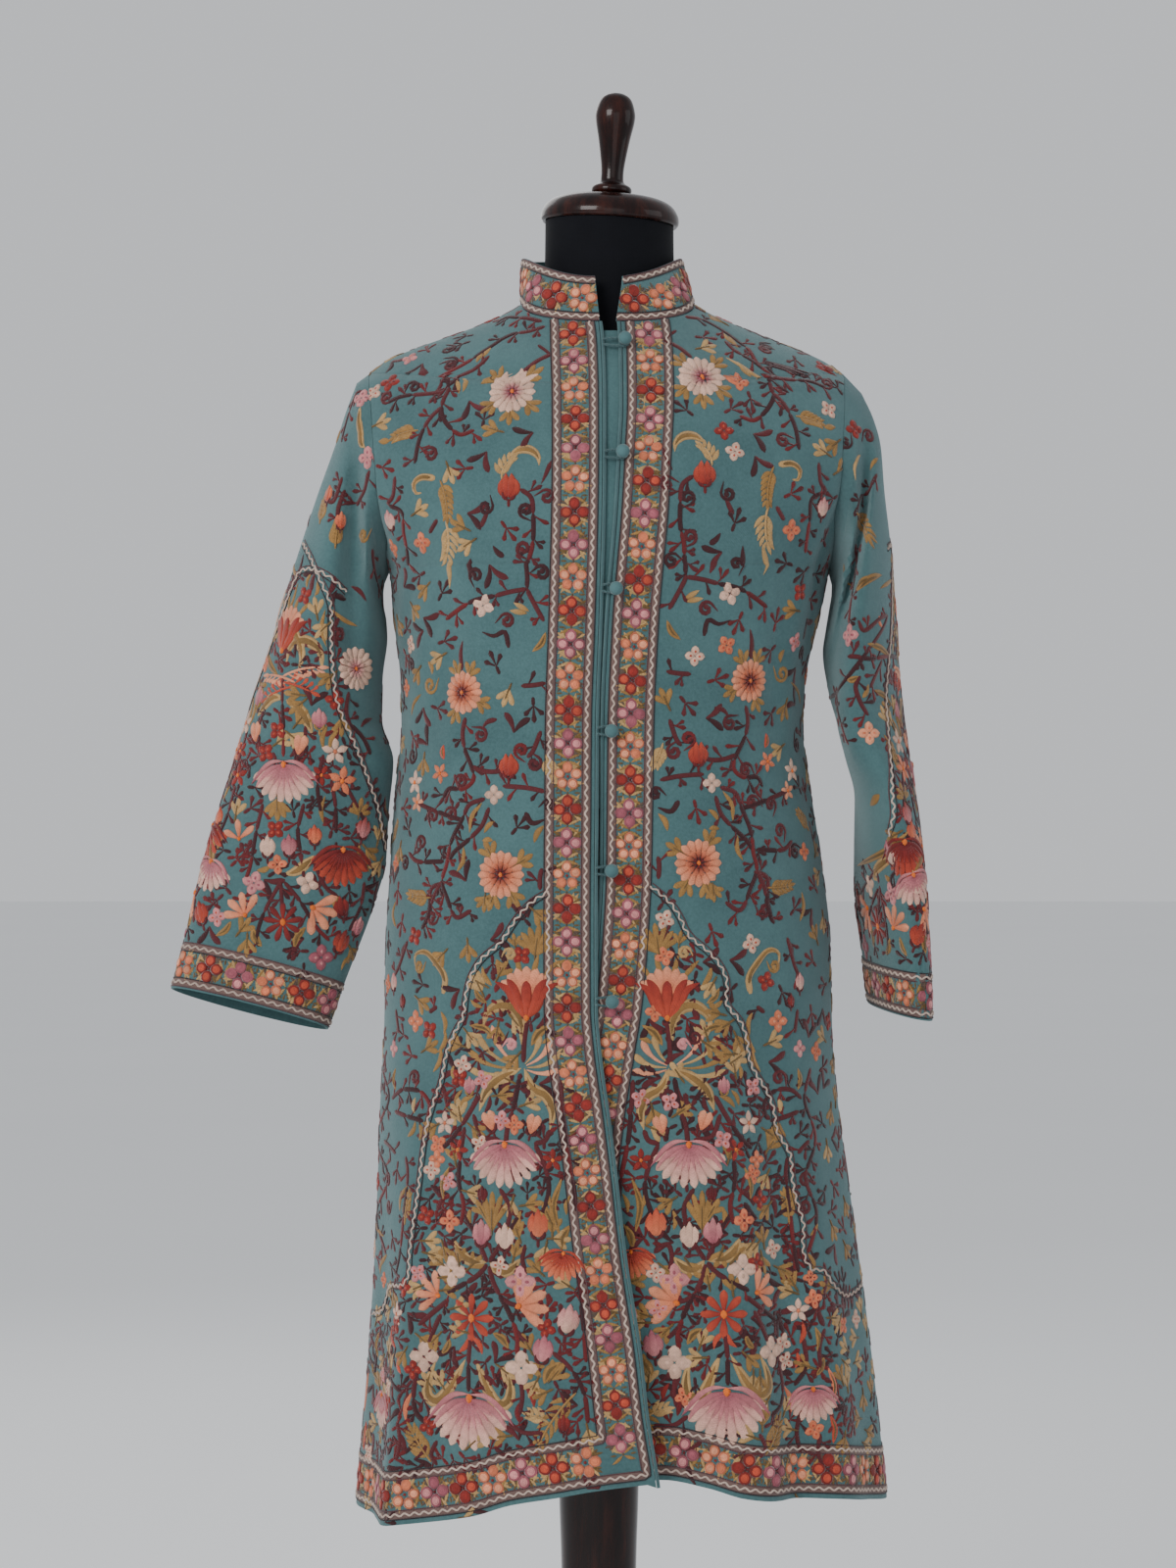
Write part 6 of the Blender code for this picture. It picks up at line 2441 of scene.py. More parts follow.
@dataclass
class Trim:
    """Everything sewn on one cloth: braids, laid cords, rolled petals and strokes.

    Attributes:
        cloth: what it is sewn on.
        seed: fixes the small differences.
        needle: its strokes.
        creams: points and normals of the cream braids' lines.
        darks: those of the black cords.
        browns: those of the brown cords.
        petals: the rolled petals, one row each.
        strips: paths and widths of the flat strips under the braids.
    """

    cloth: Cloth
    seed: int = 1
    needle: Needlework = field(init=False)
    creams: list = field(default_factory=list)
    darks: list = field(default_factory=list)
    browns: list = field(default_factory=list)
    petals: list = field(default_factory=list)
    strips: list = field(default_factory=list)

    def __post_init__(self) -> None:
        """Starts the needlework."""
        self.needle = Needlework(self.cloth, self.seed)

    def line(self, places: Array, lift: float = 0.0) -> tuple[Array, Array]:
        """Points just over the cloth along grid places, and the normals there."""
        points = self.cloth.sample(self.cloth.points, places)
        normals = unit(self.cloth.sample(self.cloth.normals, places))
        return points + lift * normals, normals

    def beside(self, places: Array, off: float) -> Array:
        """The places moved sideways, to the right of the way they run if off is positive."""
        return places + self.cloth.sideways(places) * off

    def even(self, places: Array, pitch: float) -> tuple[Array, float]:
        """Places evenly spaced along a path on the cloth, and its length."""
        here = self.cloth.sample(self.cloth.points, places)
        along = np.r_[0, np.cumsum(np.linalg.norm(np.diff(here, axis=0), axis=-1))]
        count = max(int(round(along[-1] / pitch)), 2)
        want = np.linspace(0, along[-1], count + 1)
        spaced = [np.interp(want, along, places[:, k]) for k in range(2)]
        return np.stack(spaced, -1), float(along[-1])

    def braid(self, places: Array, strip: float = 6.6, black_first: bool = True) -> None:
        """Cream wavy braid with a dark cord on each side.

        Args:
            places: its path.
            strip: width of the brown strip under it, or 0 for none.
            black_first: whether the black cord is on the right of the way it runs.
        """
        path, _ = self.even(places, 3.0)
        self.creams.append(self.line(path))
        off = strip / 2 + 0.5 if strip else 2.9
        side = 1 if black_first else -1
        self.darks.append(self.line(self.beside(path, side * off), 0.1))
        self.browns.append(self.line(self.beside(path, -side * off), 0.1))
        if strip:
            self.strips.append((path, strip))

    def rolled(self, place: Array, turn: float, out: float, wide: float, colour: Array,
               lift: float) -> None:
        """One rolled petal near a grid place.

        Args:
            place: the flower's row and column.
            turn: the petal's lean round it in degrees.
            out: how far it stands from the flower's middle.
            wide: its width, a little less than its length along its lean.
            colour: linear RGB.
            lift: how far it stands off the cloth.
        """
        a = math.radians(turn)
        offset = np.array([out * math.sin(a), out * math.cos(a)])
        spot = self.cloth.moved(place, offset)
        if self.cloth.outside(spot):
            return
        point, normal = self.line(spot[None], lift)
        up = self.cloth.sample(self.cloth.up, spot[None])[0]
        right = self.cloth.sample(self.cloth.right, spot[None])[0]
        frame_x, frame_y = plane_axes(normal[0])
        way = right * math.sin(a) + up * math.cos(a)
        angle = math.atan2(float(way @ frame_y), float(way @ frame_x)) - math.pi / 2
        tint = 1 + self.needle.chance.normal(0, 0.10)
        long = wide * 1.08
        self.petals.append((point[0], normal[0], angle, wide * MM, long * MM, colour * tint))

    def border_flower(self, place: Array, run: float, kind: int, size: float = 1.0) -> None:
        """One of the border's flowers: four rolled petals with paler hearts."""
        outer, heart, core = (
            (Wool.RED, Wool.CORAL, Wool.CRIMSON),
            (Wool.MAUVE, Wool.PINK, Wool.CRIMSON),
            (Wool.PEACH, Wool.SALMON, Wool.RED),
        )[kind % 3]
        chance = self.needle.chance
        count = 4 if kind % 3 != 2 else 5
        start = run + (0 if count == 4 else 36)
        for k in range(count):
            turn = start + 360 * k / count + chance.normal(0, 3)
            reach = (7.3 if count == 4 else 7.8) * size
            wide = (11.8 if count == 4 else 10.2) * size
            tone = heart.linear if chance.random() < 0.7 else outer.linear
            for lift, share, ink in ((0, 1, outer.linear * 0.72), (0.45, 0.74, tone),
                                     (0.95, 0.3, tone * 0.7)):
                self.rolled(place, turn, reach, wide * share, ink, lift * size)
        pen = Pen(self.cloth, place, run)
        for lean in (45, 135, 225, 315):
            for turn in (-38, -12, 14, 40):
                s, c = math.sin(math.radians(lean)), math.cos(math.radians(lean))
                tone = self.needle.one_of(Wool.OLIVE, Wool.TAUPE, Wool.OCHRE)
                self.needle.leaf(pen, 7 * s * size, 7 * c * size, lean + turn,
                                 chance.uniform(7, 10.5) * size, 3.2, tone, height=0.6)
        self.needle.dot(pen, 0, 0, 2.6 * size, core, level=0.9, height=0.5)

    def border(self, path: Array, pitch: float = 29.0, first: int = 0, size: float = 1.0,
               half: float = 12.5, shift: float = 0.5) -> None:
        """A row of flowers with crossed gold leaflets between them.

        Args:
            path: the row's middle line.
            pitch: the distance from flower to flower.
            first: which colour comes first.
            size: the flowers' scale.
            half: half the width between the braids.
            shift: how far into the pitch the first flower stands.
        """
        spots, length = self.even(path, 2.0)
        count = max(int(round(length / pitch)), 1)
        stations = (np.arange(count) + shift) / count
        whole = np.linspace(0, 1, len(spots))
        at = lambda share: np.stack([np.interp(share, whole, spots[:, k]) for k in range(2)], -1)
        for k, share in enumerate(stations):
            place, ahead = at(share), at(min(share + 0.004, 1))
            behind = at(max(share - 0.004, 0))
            turn = self.cloth.heading(behind, ahead)
            self.border_flower(place, turn, first + k, size)
            between = at(min(share + 0.5 / count, 1))
            self.leaflets(between, turn, half, size)

    def leaflets(self, place: Array, turn: float, half: float, size: float) -> None:
        """The crossed gold leaflets between two flowers of a border."""
        pen = Pen(self.cloth, place, turn)
        chance = self.needle.chance
        for side in (-1, 1):
            for way in (-1, 1):
                tone = self.needle.one_of(Wool.OCHRE, Wool.GOLD, Wool.GOLD)
                lean = 90 * side - way * side * chance.uniform(28, 42)
                long = half * chance.uniform(0.78, 0.96)
                self.needle.leaf(pen, side * 0.8, way * 0.8, lean, long, 3.3 * size, tone,
                                 bend=way * side * 14, height=0.7)
            self.needle.leaf(pen, side * half * 0.45, 0, 90 * side, half * 0.45, 2.2 * size,
                             Wool.OLIVE, height=0.5)
        self.needle.dot(pen, 0, 0, 2.0, Wool.OLIVE, height=0.6)

    def fill(self, low: Array, high: Array, gap: float = 6.6, tries: int = 4500,
             size: float = 1.5) -> None:
        """Small sprigs and leaves where the drawing leaves cloth bare.

        Args:
            low: for each row the column where the filled part begins, or nan for no filling.
            high: for each row the column where it ends.
            gap: how many millimetres have to be bare round a sprig.
            tries: how many places are looked at.
            size: how large the sprigs are.
        """
        needle, cloth = self.needle, self.cloth
        rows = np.flatnonzero(high > low)
        count = cloth.points.shape[1]
        taken = np.concatenate(needle.taken)
        for _ in range(tries):
            row = rows[needle.chance.integers(len(rows))]
            column = needle.chance.uniform(low[row], high[row])
            place = np.array([row, column % count if cloth.ring else column], float)
            here = cloth.sample(cloth.points, place[None])[0]
            if np.sum(np.square(taken - here), axis=-1).min() < gap * gap:
                continue
            before = len(needle.taken)
            pen = Pen(cloth, place, needle.chance.uniform(-180, 180), size)
            kind = needle.chance.random()
            if kind < FILL_KINDS[0]:
                needle.sprig(pen, needle.one_of(Wool.MAROON, Wool.WINE, Wool.CRIMSON))
            elif kind < FILL_KINDS[1]:
                for lean in (-28, 22):
                    needle.leaf(pen, 0, 0, lean, 13, 4.4, (Wool.MAROON, Wool.WINE)[lean > 0],
                                bend=lean, outline=Outline.PETAL)
            elif kind < FILL_KINDS[2]:
                needle.palmate(pen, (Wool.GOLD, Wool.OCHRE)[int(kind * 100) % 2], 3, 11)
            else:
                tone = (Wool.PEACH, Wool.RED, Wool.PINK, Wool.CREAM)[int(kind * 1000) % 4]
                needle.blossom(pen, tone, Wool.CORAL, 4, 11)
            taken = np.concatenate([taken, *needle.taken[before:]])

    def pieces(self, looks: "Looks") -> list[bpy.types.Object]:
        """Makes all that was collected, as pieces that ride with the cloth."""
        name, made = self.cloth.name, []
        if self.needle.strokes:
            made.extend(self.needle.build(f"embroidery_{name}", looks.yarn))
        straight = {"Swing": 0, "Step": 0.006, "Lift": 0.0003}
        for kind, lines, tree, sizes in (
            ("braid", self.creams, looks.braid, {}),
            ("dark_cord", self.darks, looks.dark, {"Radius": 0.0006, **straight}),
            ("brown_cord", self.browns, looks.brown, {"Radius": 0.00055, **straight}),
        ):
            if lines:
                guide = line_guide(lines, f"{kind}_{name}_line")
                made.append(tree.grow(f"{kind}_{name}", guide, **sizes))
        if self.petals:
            guide = point_guide(self.petals, f"petals_{name}_points")
            made.append(looks.rolled.grow(f"petals_{name}", guide))
        if self.strips:
            made.append(self.strip_piece(f"strip_{name}", looks.strip))
        for piece in made:
            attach(piece, "root")
        return made

    def strip_piece(self, name: str, finish: bpy.types.Material) -> bpy.types.Object:
        """The flat brown strips under the braids."""
        points, faces, runs, base = [], [], [], 0
        for path, wide in self.strips:
            spots, _ = self.even(path, 5.0)
            sides = [self.line(self.beside(spots, off), lift) for off, lift in (
                (-wide / 2 - 0.3, -0.1), (-wide / 2, 0.28), (0, 0.34), (wide / 2, 0.28),
                (wide / 2 + 0.3, -0.1),
            )]
            grid = np.stack([side[0] for side in sides], 1)
            rows = len(grid)
            number = base + np.arange(rows * 5).reshape(rows, 5)
            faces.append(grid_quads(number))
            points.append(grid.reshape(-1, 3))
            across = np.array([-wide / 2, -wide / 2, 0, wide / 2, wide / 2])
            runs.append(np.stack(np.broadcast_arrays(
                (np.arange(rows) * 5.0)[:, None], across[None]), -1).reshape(-1, 2))
            base += rows * 5
        made = new_piece(name, np.concatenate(points), np.concatenate(faces), finish,
                         uv=np.concatenate(runs) * MM, sharp=None)
        return made


def plane_axes(normal: Array) -> tuple[Array, Array]:
    """The x and y axes that a tracked Z axis along normal gives."""
    matrix = Vector((0, 0, 1)).rotation_difference(Vector(normal)).to_matrix()
    return np.array(matrix.col[0]), np.array(matrix.col[1])


@dataclass
class Looks:
    """The finishes and trees that all trims share."""

    yarn: bpy.types.Material
    strip: bpy.types.Material
    braid: Grower
    dark: Grower
    brown: Grower
    rolled: Grower


def column_at(cloth: Cloth, off: float, right: bool = False) -> Array:
    """For each row, the column that lies off millimetres in from the first or last column."""
    run = cloth.run[..., 0]
    columns = np.arange(run.shape[1])
    found = []
    for row in run:
        found.append(np.interp(row[-1] - off if right else off, row, columns))
    return np.array(found)


def row_at(cloth: Cloth, off: float, top: bool = False) -> Array:
    """For each column, the row that lies off millimetres up from the hem or down from the top."""
    lengths = np.linalg.norm(np.diff(cloth.points, axis=0), axis=-1)
    climb = np.vstack([np.zeros((1, lengths.shape[1])), np.cumsum(lengths, axis=0)])
    rows = np.arange(climb.shape[0])
    found = []
    for k in range(climb.shape[1]):
        found.append(np.interp(climb[-1, k] - off if top else off, climb[:, k], rows))
    return np.array(found)


def level_path(cloth: Cloth, off: float, top: bool = False) -> Array:
    """A path over all columns, off millimetres up from the hem or down from the top."""
    rows = row_at(cloth, off, top)
    return np.stack([rows, np.arange(len(rows))], -1)


def down_and_along(cloth: Cloth, inset: float, up: float) -> Array:
    """A path down the opening's edge, inset from it, then along, up over the hem."""
    columns = column_at(cloth, inset)
    rows = row_at(cloth, up)
    count = np.arange(len(columns))
    corner = np.interp(np.interp(0, count, columns), np.arange(len(rows)), rows)
    for _ in range(3):
        column = np.interp(corner, count, columns)
        corner = np.interp(column, np.arange(len(rows)), rows)
    above = count[count > corner + 0.7][::-1]
    side = np.stack([above, columns[above]], -1)
    after = np.arange(len(rows))
    after = after[after > column + 0.7]
    bottom = np.stack([rows[after], after], -1)
    return np.vstack([side, [[corner, column]], bottom])


@dataclass
class BorderPlan:
    """Where the borders of the jacket run, in millimetres from the edges."""

    inner: float = 7.2
    outer: float = 40.0
    flowers: float = 23.6
    hem_inner: float = 8.5
    hem_outer: float = 43.0
    hem_flowers: float = 25.7
    cuff_inner: float = 6.0
    cuff_outer: float = 38.0
    cuff_flowers: float = 22.0
    collar_bottom: float = 3.8
    collar_top: float = 4.2
    collar_flowers: float = 20.5

    def front(self, trim: Trim, right: bool) -> None:
        """The border down a front's edge and along its hem."""
        cloth = trim.cloth
        trim.braid(down_and_along(cloth, self.inner, self.hem_inner), black_first=not right)
        trim.braid(down_and_along(cloth, self.outer, self.hem_outer), black_first=right)
        columns = column_at(cloth, self.flowers)
        rows = np.arange(len(columns))
        last = int(row_at(cloth, self.hem_flowers)[0]) + 1
        middle = np.stack([rows, columns], -1)[last:][::-1]
        trim.border(middle, first=0 if right else 1, shift=0.45)
        path = level_path(cloth, self.hem_flowers)
        start = int(np.interp(self.outer + 3, cloth.run[0, :, 0], np.arange(len(path)))) + 1
        trim.border(path[start:], first=2, size=1.08)

    def hem(self, trim: Trim) -> None:
        """The border along the back's hem."""
        for off, black in ((self.hem_inner, False), (self.hem_outer, True)):
            trim.braid(level_path(trim.cloth, off), black_first=black)
        trim.border(level_path(trim.cloth, self.hem_flowers), size=1.08)

    def cuff(self, trim: Trim) -> None:
        """The border round a cuff."""
        for off, black in ((self.cuff_inner, False), (self.cuff_outer, True)):
            trim.braid(self.round(trim.cloth, off), black_first=black)
        trim.border(self.round(trim.cloth, self.cuff_flowers), first=2, size=1.0)

    @staticmethod
    def round(cloth: Cloth, off: float) -> Array:
        """A closed path round a sleeve, off millimetres from its cuff."""
        rows = row_at(cloth, off)
        columns = np.arange(len(rows) + 1)
        return np.stack([np.append(rows, rows[0]), columns], -1)

    def collar(self, trim: Trim) -> None:
        """The borders along a collar's two long edges, and flowers between them."""
        for off, top in ((self.collar_bottom, False), (self.collar_top, True)):
            trim.braid(level_path(trim.cloth, off, top), strip=5.6, black_first=not top)
        path = level_path(trim.cloth, self.collar_flowers)
        trim.border(path, pitch=27, first=2, size=1.04, half=9.5, shift=0.5)


# A short name for the yarns in the drawing's tables
W = Wool


@dataclass
class Sheet:
    """One half of the front's drawing, put on a cloth straight or mirrored.

    Attributes:
        trim: what it is stitched on.
        flip: whether it is mirrored.
        back: whether it goes on the back.
    """

    trim: Trim
    flip: bool = False
    back: bool = False

    def places(self, marks: Sequence[Sequence[float]]) -> Array:
        """Grid places of marks on the drawing."""
        marks = np.array(marks, float)
        if self.back:
            marks = marks - [BACK_SHIFT, 0]
            if self.flip:
                marks[:, 0] = 2 * BACK_CENTRE_X - marks[:, 0]
        elif self.flip:
            centre, rise = curve(LEAN_IN, marks[:, 1]).T
            marks = np.stack([2 * centre - marks[:, 0], marks[:, 1] + rise], -1)
        return self.trim.cloth.place(marks, self.back)

    def path(self, marks: Sequence[Sequence[float]]) -> Array:
        """Grid places of those marks that lie on the cloth."""
        places = self.places(marks)
        return places[places[:, 0] > AWAY / 2]

    def pen(self, x: float, y: float, turn: float = 0.0, size: float = 1.0) -> Pen:
        """A pen at a mark of the drawing."""
        return Pen(self.trim.cloth, self.places([(x, y)])[0], turn, size, self.flip)

    def vine(self, *marks: Sequence[float], **more: Any) -> None:
        """A vine through marks of the drawing."""
        self.trim.needle.vine(self.path(marks), **more)

    def vines(self, *lines: Sequence[Sequence[float]], **more: Any) -> None:
        """Several vines."""
        for line in lines:
            self.vine(*line, **more)

    def stroke(self, marks: Sequence[Sequence[float]], *look: Any, **more: Any) -> None:
        """A stroke through marks of the drawing."""
        self.trim.needle.lay(self.path(marks), *look, **more)

    def ribbon(self, marks: Sequence[Sequence[float]], width: float, *look: Any) -> None:
        """A broad gold band through marks of the drawing."""
        places = self.path(marks)
        if len(places) > 2:
            self.trim.needle.ribbon(places, width, *look)

    def leaves(self, *rows: Sequence[Any], width: float = 5.4, colour: Wool = Wool.GOLD,
               outline: Outline = Outline.LEAF) -> None:
        """Leaves from a foot's mark to a tip's mark, with an own width or yarn if given."""
        for x, y, to_x, to_y, *own in rows:
            wide = own[0] if own else width
            yarn = own[1] if len(own) > 1 else colour
            bow = (to_y - y) * 0.12, (x - to_x) * 0.12
            middle = ((x + to_x) / 2 + bow[0], (y + to_y) / 2 + bow[1])
            self.stroke([(x, y), middle, (to_x, to_y)], outline, wide, yarn, height=0.8)
            if wide > 6:
                self.stroke([((3 * x + middle[0]) / 4, (3 * y + middle[1]) / 4), middle,
                             ((middle[0] + 2 * to_x) / 3, (middle[1] + 2 * to_y) / 3)],
                            Outline.LEAF, wide * 0.42, Wool.OLIVE, height=0.4, level=0.7)

    def scrolls(self, *rows: Sequence[Any]) -> None:
        """Curled tendrils round marks, each with its turn, yarn and width."""
        for x, y, turn, *own in rows:
            tone = own[0] if own else Wool.MAROON
            wide = own[1] if len(own) > 1 else 14
            self.trim.needle.scroll(self.pen(x, y, turn), wide, tone)

    def flowers(self, kind: Callable, *rows: Sequence[Any]) -> None:
        """Motifs of one kind, each by its mark, turn, size and the motif's own settings."""
        for x, y, turn, size, *own in rows:
            kind(self.pen(x, y, turn, size), *own)


def design(trims: list[Trim]) -> None:
    """Stitches the flowers, leaves and vines on every cloth."""
    for trim, flip, arch in ((trims[0], False, RIGHT_ARCH), (trims[1], True, LEFT_ARCH)):
        sheet = Sheet(trim, flip)
        found = trim.cloth.place(arch)
        path = through(found[found[:, 0] > AWAY / 2], 60)
        trim.braid(path, strip=0, black_first=flip)
        for part in (chest, torso, skirt, lower, side_strip):
            part(sheet)
        side = within(trim, path)
        trim.fill(column_at(trim.cloth, FILL_INSIDE), side - 2, *ARCH_FILL)
        start = np.where(np.isnan(side), column_at(trim.cloth, FILL_OUTSIDE), side + 1)
        end = np.full_like(side, trim.cloth.points.shape[1] - 2.0)
        trim.fill(start, end, *FRONT_SIDE_FILL)
    sides = []
    for flip in (False, True):
        sheet = Sheet(trims[2], flip, back=True)
        path = through(sheet.path([(631, 874), (600, 884), (575, 899), *RIGHT_ARCH]), 60)
        trims[2].braid(path, strip=0, black_first=flip)
        sides.append(within(trims[2], path))
        for part in (chest, torso, skirt, lower, side_strip):
            part(sheet)
    spine(Sheet(trims[2], back=True))
    low, high = np.minimum(*sides), np.maximum(*sides)
    trims[2].fill(low, high, *BACK_ARCH_FILL)
    first, middle, last = (np.full_like(low, column) for column in BACK_FILL_COLUMNS)
    for start, end in (
        (first, np.where(np.isnan(low), middle, low - 1)),
        (np.where(np.isnan(high), middle, high + 1), last),
    ):
        trims[2].fill(start, end, *BACK_SIDE_FILL)
    sleeves(trims[3], trims[4])


def within(trim: Trim, path: Array) -> Array:
    """For each row of a cloth between its hem border and an arch's top, the arch's column."""
    order = np.argsort(path[:, 0])
    rows = np.arange(trim.cloth.points.shape[0])
    columns = np.interp(rows, path[order, 0], path[order, 1])
    border = row_at(trim.cloth, ARCH_FOOT)
    low = border[np.clip(columns.astype(int), 0, len(border) - 1)]
    return np.where((rows > low) & (rows < path[:, 0].max() - 1), columns, np.nan)


def chest(s: Sheet) -> None:
    """Shoulder and chest."""
    n = s.trim.needle
    s.vines(
        ((556, 333), (540, 338), (518, 343), (481, 367), (458, 393), (451, 413), (453, 428),
         (468, 443), (484, 439)),
        ((553, 328), (540, 325), (527, 324), (516, 324), (506, 330)),
        ((499, 363), (490, 372), (473, 382), (458, 393)),
        ((453, 400), (434, 402), (412, 404), (395, 411)),
        ((451, 415), (438, 428), (428, 448), (423, 473)),
        ((531, 499), (542, 508), (544, 525), (544, 549), (540, 569), (538, 588), (538, 601),
         (544, 614), (555, 634)),
        ((538, 601), (520, 604), (505, 608), (481, 614), (455, 632)),
        ((403, 486), (401, 506), (396, 515), (410, 523), (412, 545), (416, 577)),
    )
    s.vines(((563, 361), (547, 369), (533, 380)), ((446, 530), (438, 544)), leaflets=False)
    s.stroke([(549, 352), (556, 357), (563, 363)], Outline.ROD, 3.4, W.MAROON)
    s.stroke([(563, 470), (556, 486), (552, 494)], Outline.BLADE, 5, W.MAROON)
    s.stroke([(499, 516), (495, 528), (490, 538)], Outline.TAIL, 5, W.MAROON)
    s.stroke([(503, 557), (508, 564), (514, 568)], Outline.TAIL, 6, W.WINE)
    s.stroke([(480, 570), (480, 582), (480, 590)], Outline.TAIL, 6, W.WINE)
    for x, y, turn, tone in (
        (412, 402, 10, W.WINE), (448, 372, 60, W.MAROON), (452, 366, 80, W.WINE),
        (404, 408, -110, W.MAROON), (428, 462, 60, W.MAROON), (500, 505, 160, W.WINE),
        (543, 532, -70, W.WINE), (541, 572, -70, W.MAROON), (540, 585, 50, W.WINE),
        (545, 506, 55, W.MAROON), (484, 600, -30, W.WINE), (505, 636, 40, W.MAROON),
        (455, 352, 100, W.WINE),
    ):
        n.curl(s.pen(x, y, turn), 14, tone)
    n.rosette(s.pen(522.7, 400), W.CREAM, W.IVORY, W.MAUVE, (-48, 45, 128, 178, 232))
    s.flowers(n.blossom, (398, 390, 0, 1, W.RED, W.CRIMSON), (418, 366, 0, 0.85, W.PINK, W.PEACH),
              (493, 618, 20, 1, W.IVORY, W.CREAM), (430.5, 554, 0, 0.95, W.PEACH, W.CORAL))
    s.flowers(n.bud, (400, 541, 0, 0.9, W.IVORY, W.PINK),
              (519, 509, 0, 1.2, W.RED, W.CORAL, W.CRIMSON, 4))
    for x, y, turn in ((491, 366, 20), (486, 370, 10), (468, 402, -8), (472, 400, 14),
                       (538, 626, -80), (540, 624, -60)):
        n.leaf(s.pen(x, y), 0, 0, turn, 16, 5.6, W.GOLD, end=W.OCHRE)
    n.fern(s.pen(427, 439, -95), 26, -18, 5, W.GOLD)
    n.leaf(s.pen(398, 450), 0, 0, -88, 13, 7, W.GOLD)
    n.fern(s.pen(512, 489, 0), 22, 50, 4, W.OCHRE, 9)
    s.ribbon([(519, 466), (530, 459), (541, 459), (549, 466), (550, 475)], 9.52)
    s.ribbon([(430, 503), (424, 503), (422, 494), (430, 487), (444, 488)], 6.72, W.GOLD, W.OCHRE,
             Outline.TAIL)
    n.fern(s.pen(449, 490, 155), 36, 26, 6, W.GOLD, 9)
    n.fern(s.pen(455, 532, 168), 36, 30, 5, W.OCHRE, 12)
    n.leaf(s.pen(460, 568), 0, 0, 195, 24, 6.5, W.OCHRE)


def torso(s: Sheet) -> None:
    """From the chest down to the hip."""
    n = s.trim.needle
    s.vines(
        ((475, 732), (472, 748), (474, 764), (481, 782), (483, 796), (472, 805), (458, 805),
         (452, 815)),
        ((481, 782), (495, 787), (509, 787), (519, 782)),
        ((552, 746), (544, 766), (538, 773)), ((557, 808), (538, 804), (513, 802)),
        ((495, 815), (479, 821), (472, 835), (460, 860), (456, 881), (451, 899), (456, 916),
         (465, 936), (481, 929)),
        ((499, 824), (492, 842), (479, 856), (463, 870), (458, 879)),
        ((451, 899), (442, 916), (437, 936), (430, 948)), ((417, 870), (426, 879), (453, 879)),
        ((426, 819), (448, 829), (472, 837)), ((532, 700), (546, 699), (557, 697)),
        ((454, 901), (440, 907), (438, 928), (432, 947)), ((551, 908), (551, 895), (553, 886)),
    )
    s.stroke([(472, 654), (470, 668), (471, 684)], Outline.TAIL, 5.5, W.MAROON)
    s.stroke([(492, 645), (504, 649), (515, 645), (519, 661)], Outline.TAIL, 5, W.WINE)
    s.stroke([(557, 836), (543, 840), (536, 829)], Outline.TAIL, 5.5, W.WINE)
    s.stroke([(507, 734), (497, 737), (491, 745)], Outline.BLADE, 5.5, W.MAROON)
    s.scrolls((470, 798, 20), (532, 766, -60, W.CRIMSON), (545, 779, 120), (441, 936, 200),
              (430, 860, -20), (413, 881, 60, W.WINE), (442, 833, -30), (460, 831, 30),
              (490, 750, 90), (421, 771, 160, W.WINE, 16), (420, 679, 0, W.WINE),
              (439, 699, 200, W.GOLD, 16), (560, 822, 40, W.WINE, 12))
    s.flowers(n.rosette, (472, 706.6, 0, 0.92, W.PEACH, W.SALMON, W.CRIMSON, (-20, 25, 118, 205)),
              (511, 892.6, 0, 1.02, W.PEACH, W.SALMON, W.CRIMSON, (-28, 58, 150, 200)))
    s.flowers(n.bud, (519, 793, 0, 1.1, W.RED, W.CORAL, W.CRIMSON, 4))
    s.flowers(n.blossom, (504, 811, 0, 0.85, W.CREAM, W.IVORY), (415, 702, 0, 0.8, W.PEACH, W.RED),
              (404, 881, 0, 0.8, W.PEACH, W.CORAL))
    s.flowers(n.star, (423.6, 798.5, 0, 1.1, W.IVORY), (449, 789, 30, 0.95, W.PEACH),
              (426, 819, 10, 0.9, W.SALMON))
    s.leaves((557, 645, 543, 665, 6.5), (479, 850, 492, 819), (473, 864, 466, 890),
             (404, 946, 404, 920, 6), (437, 675, 441, 688, 6), (420, 730, 430, 708, 4.4),
             (453, 775, 453, 760, 7, W.CORAL), (494, 850, 505, 838), (492, 858, 503, 858),
             (545, 860, 556, 842, 6), (410, 980, 416, 961, 4, W.MAROON))
    n.fern(s.pen(401, 860, 42), 26, 10, 4, W.GOLD, 8)
    n.fern(s.pen(440, 916, -92), 30, 12, 5, W.GOLD, 9)
    n.palmate(s.pen(495, 915, 185), W.GOLD, 5, 14)
    n.fern(s.pen(557, 770, 165), 22, -12, 4, W.OCHRE, 8)


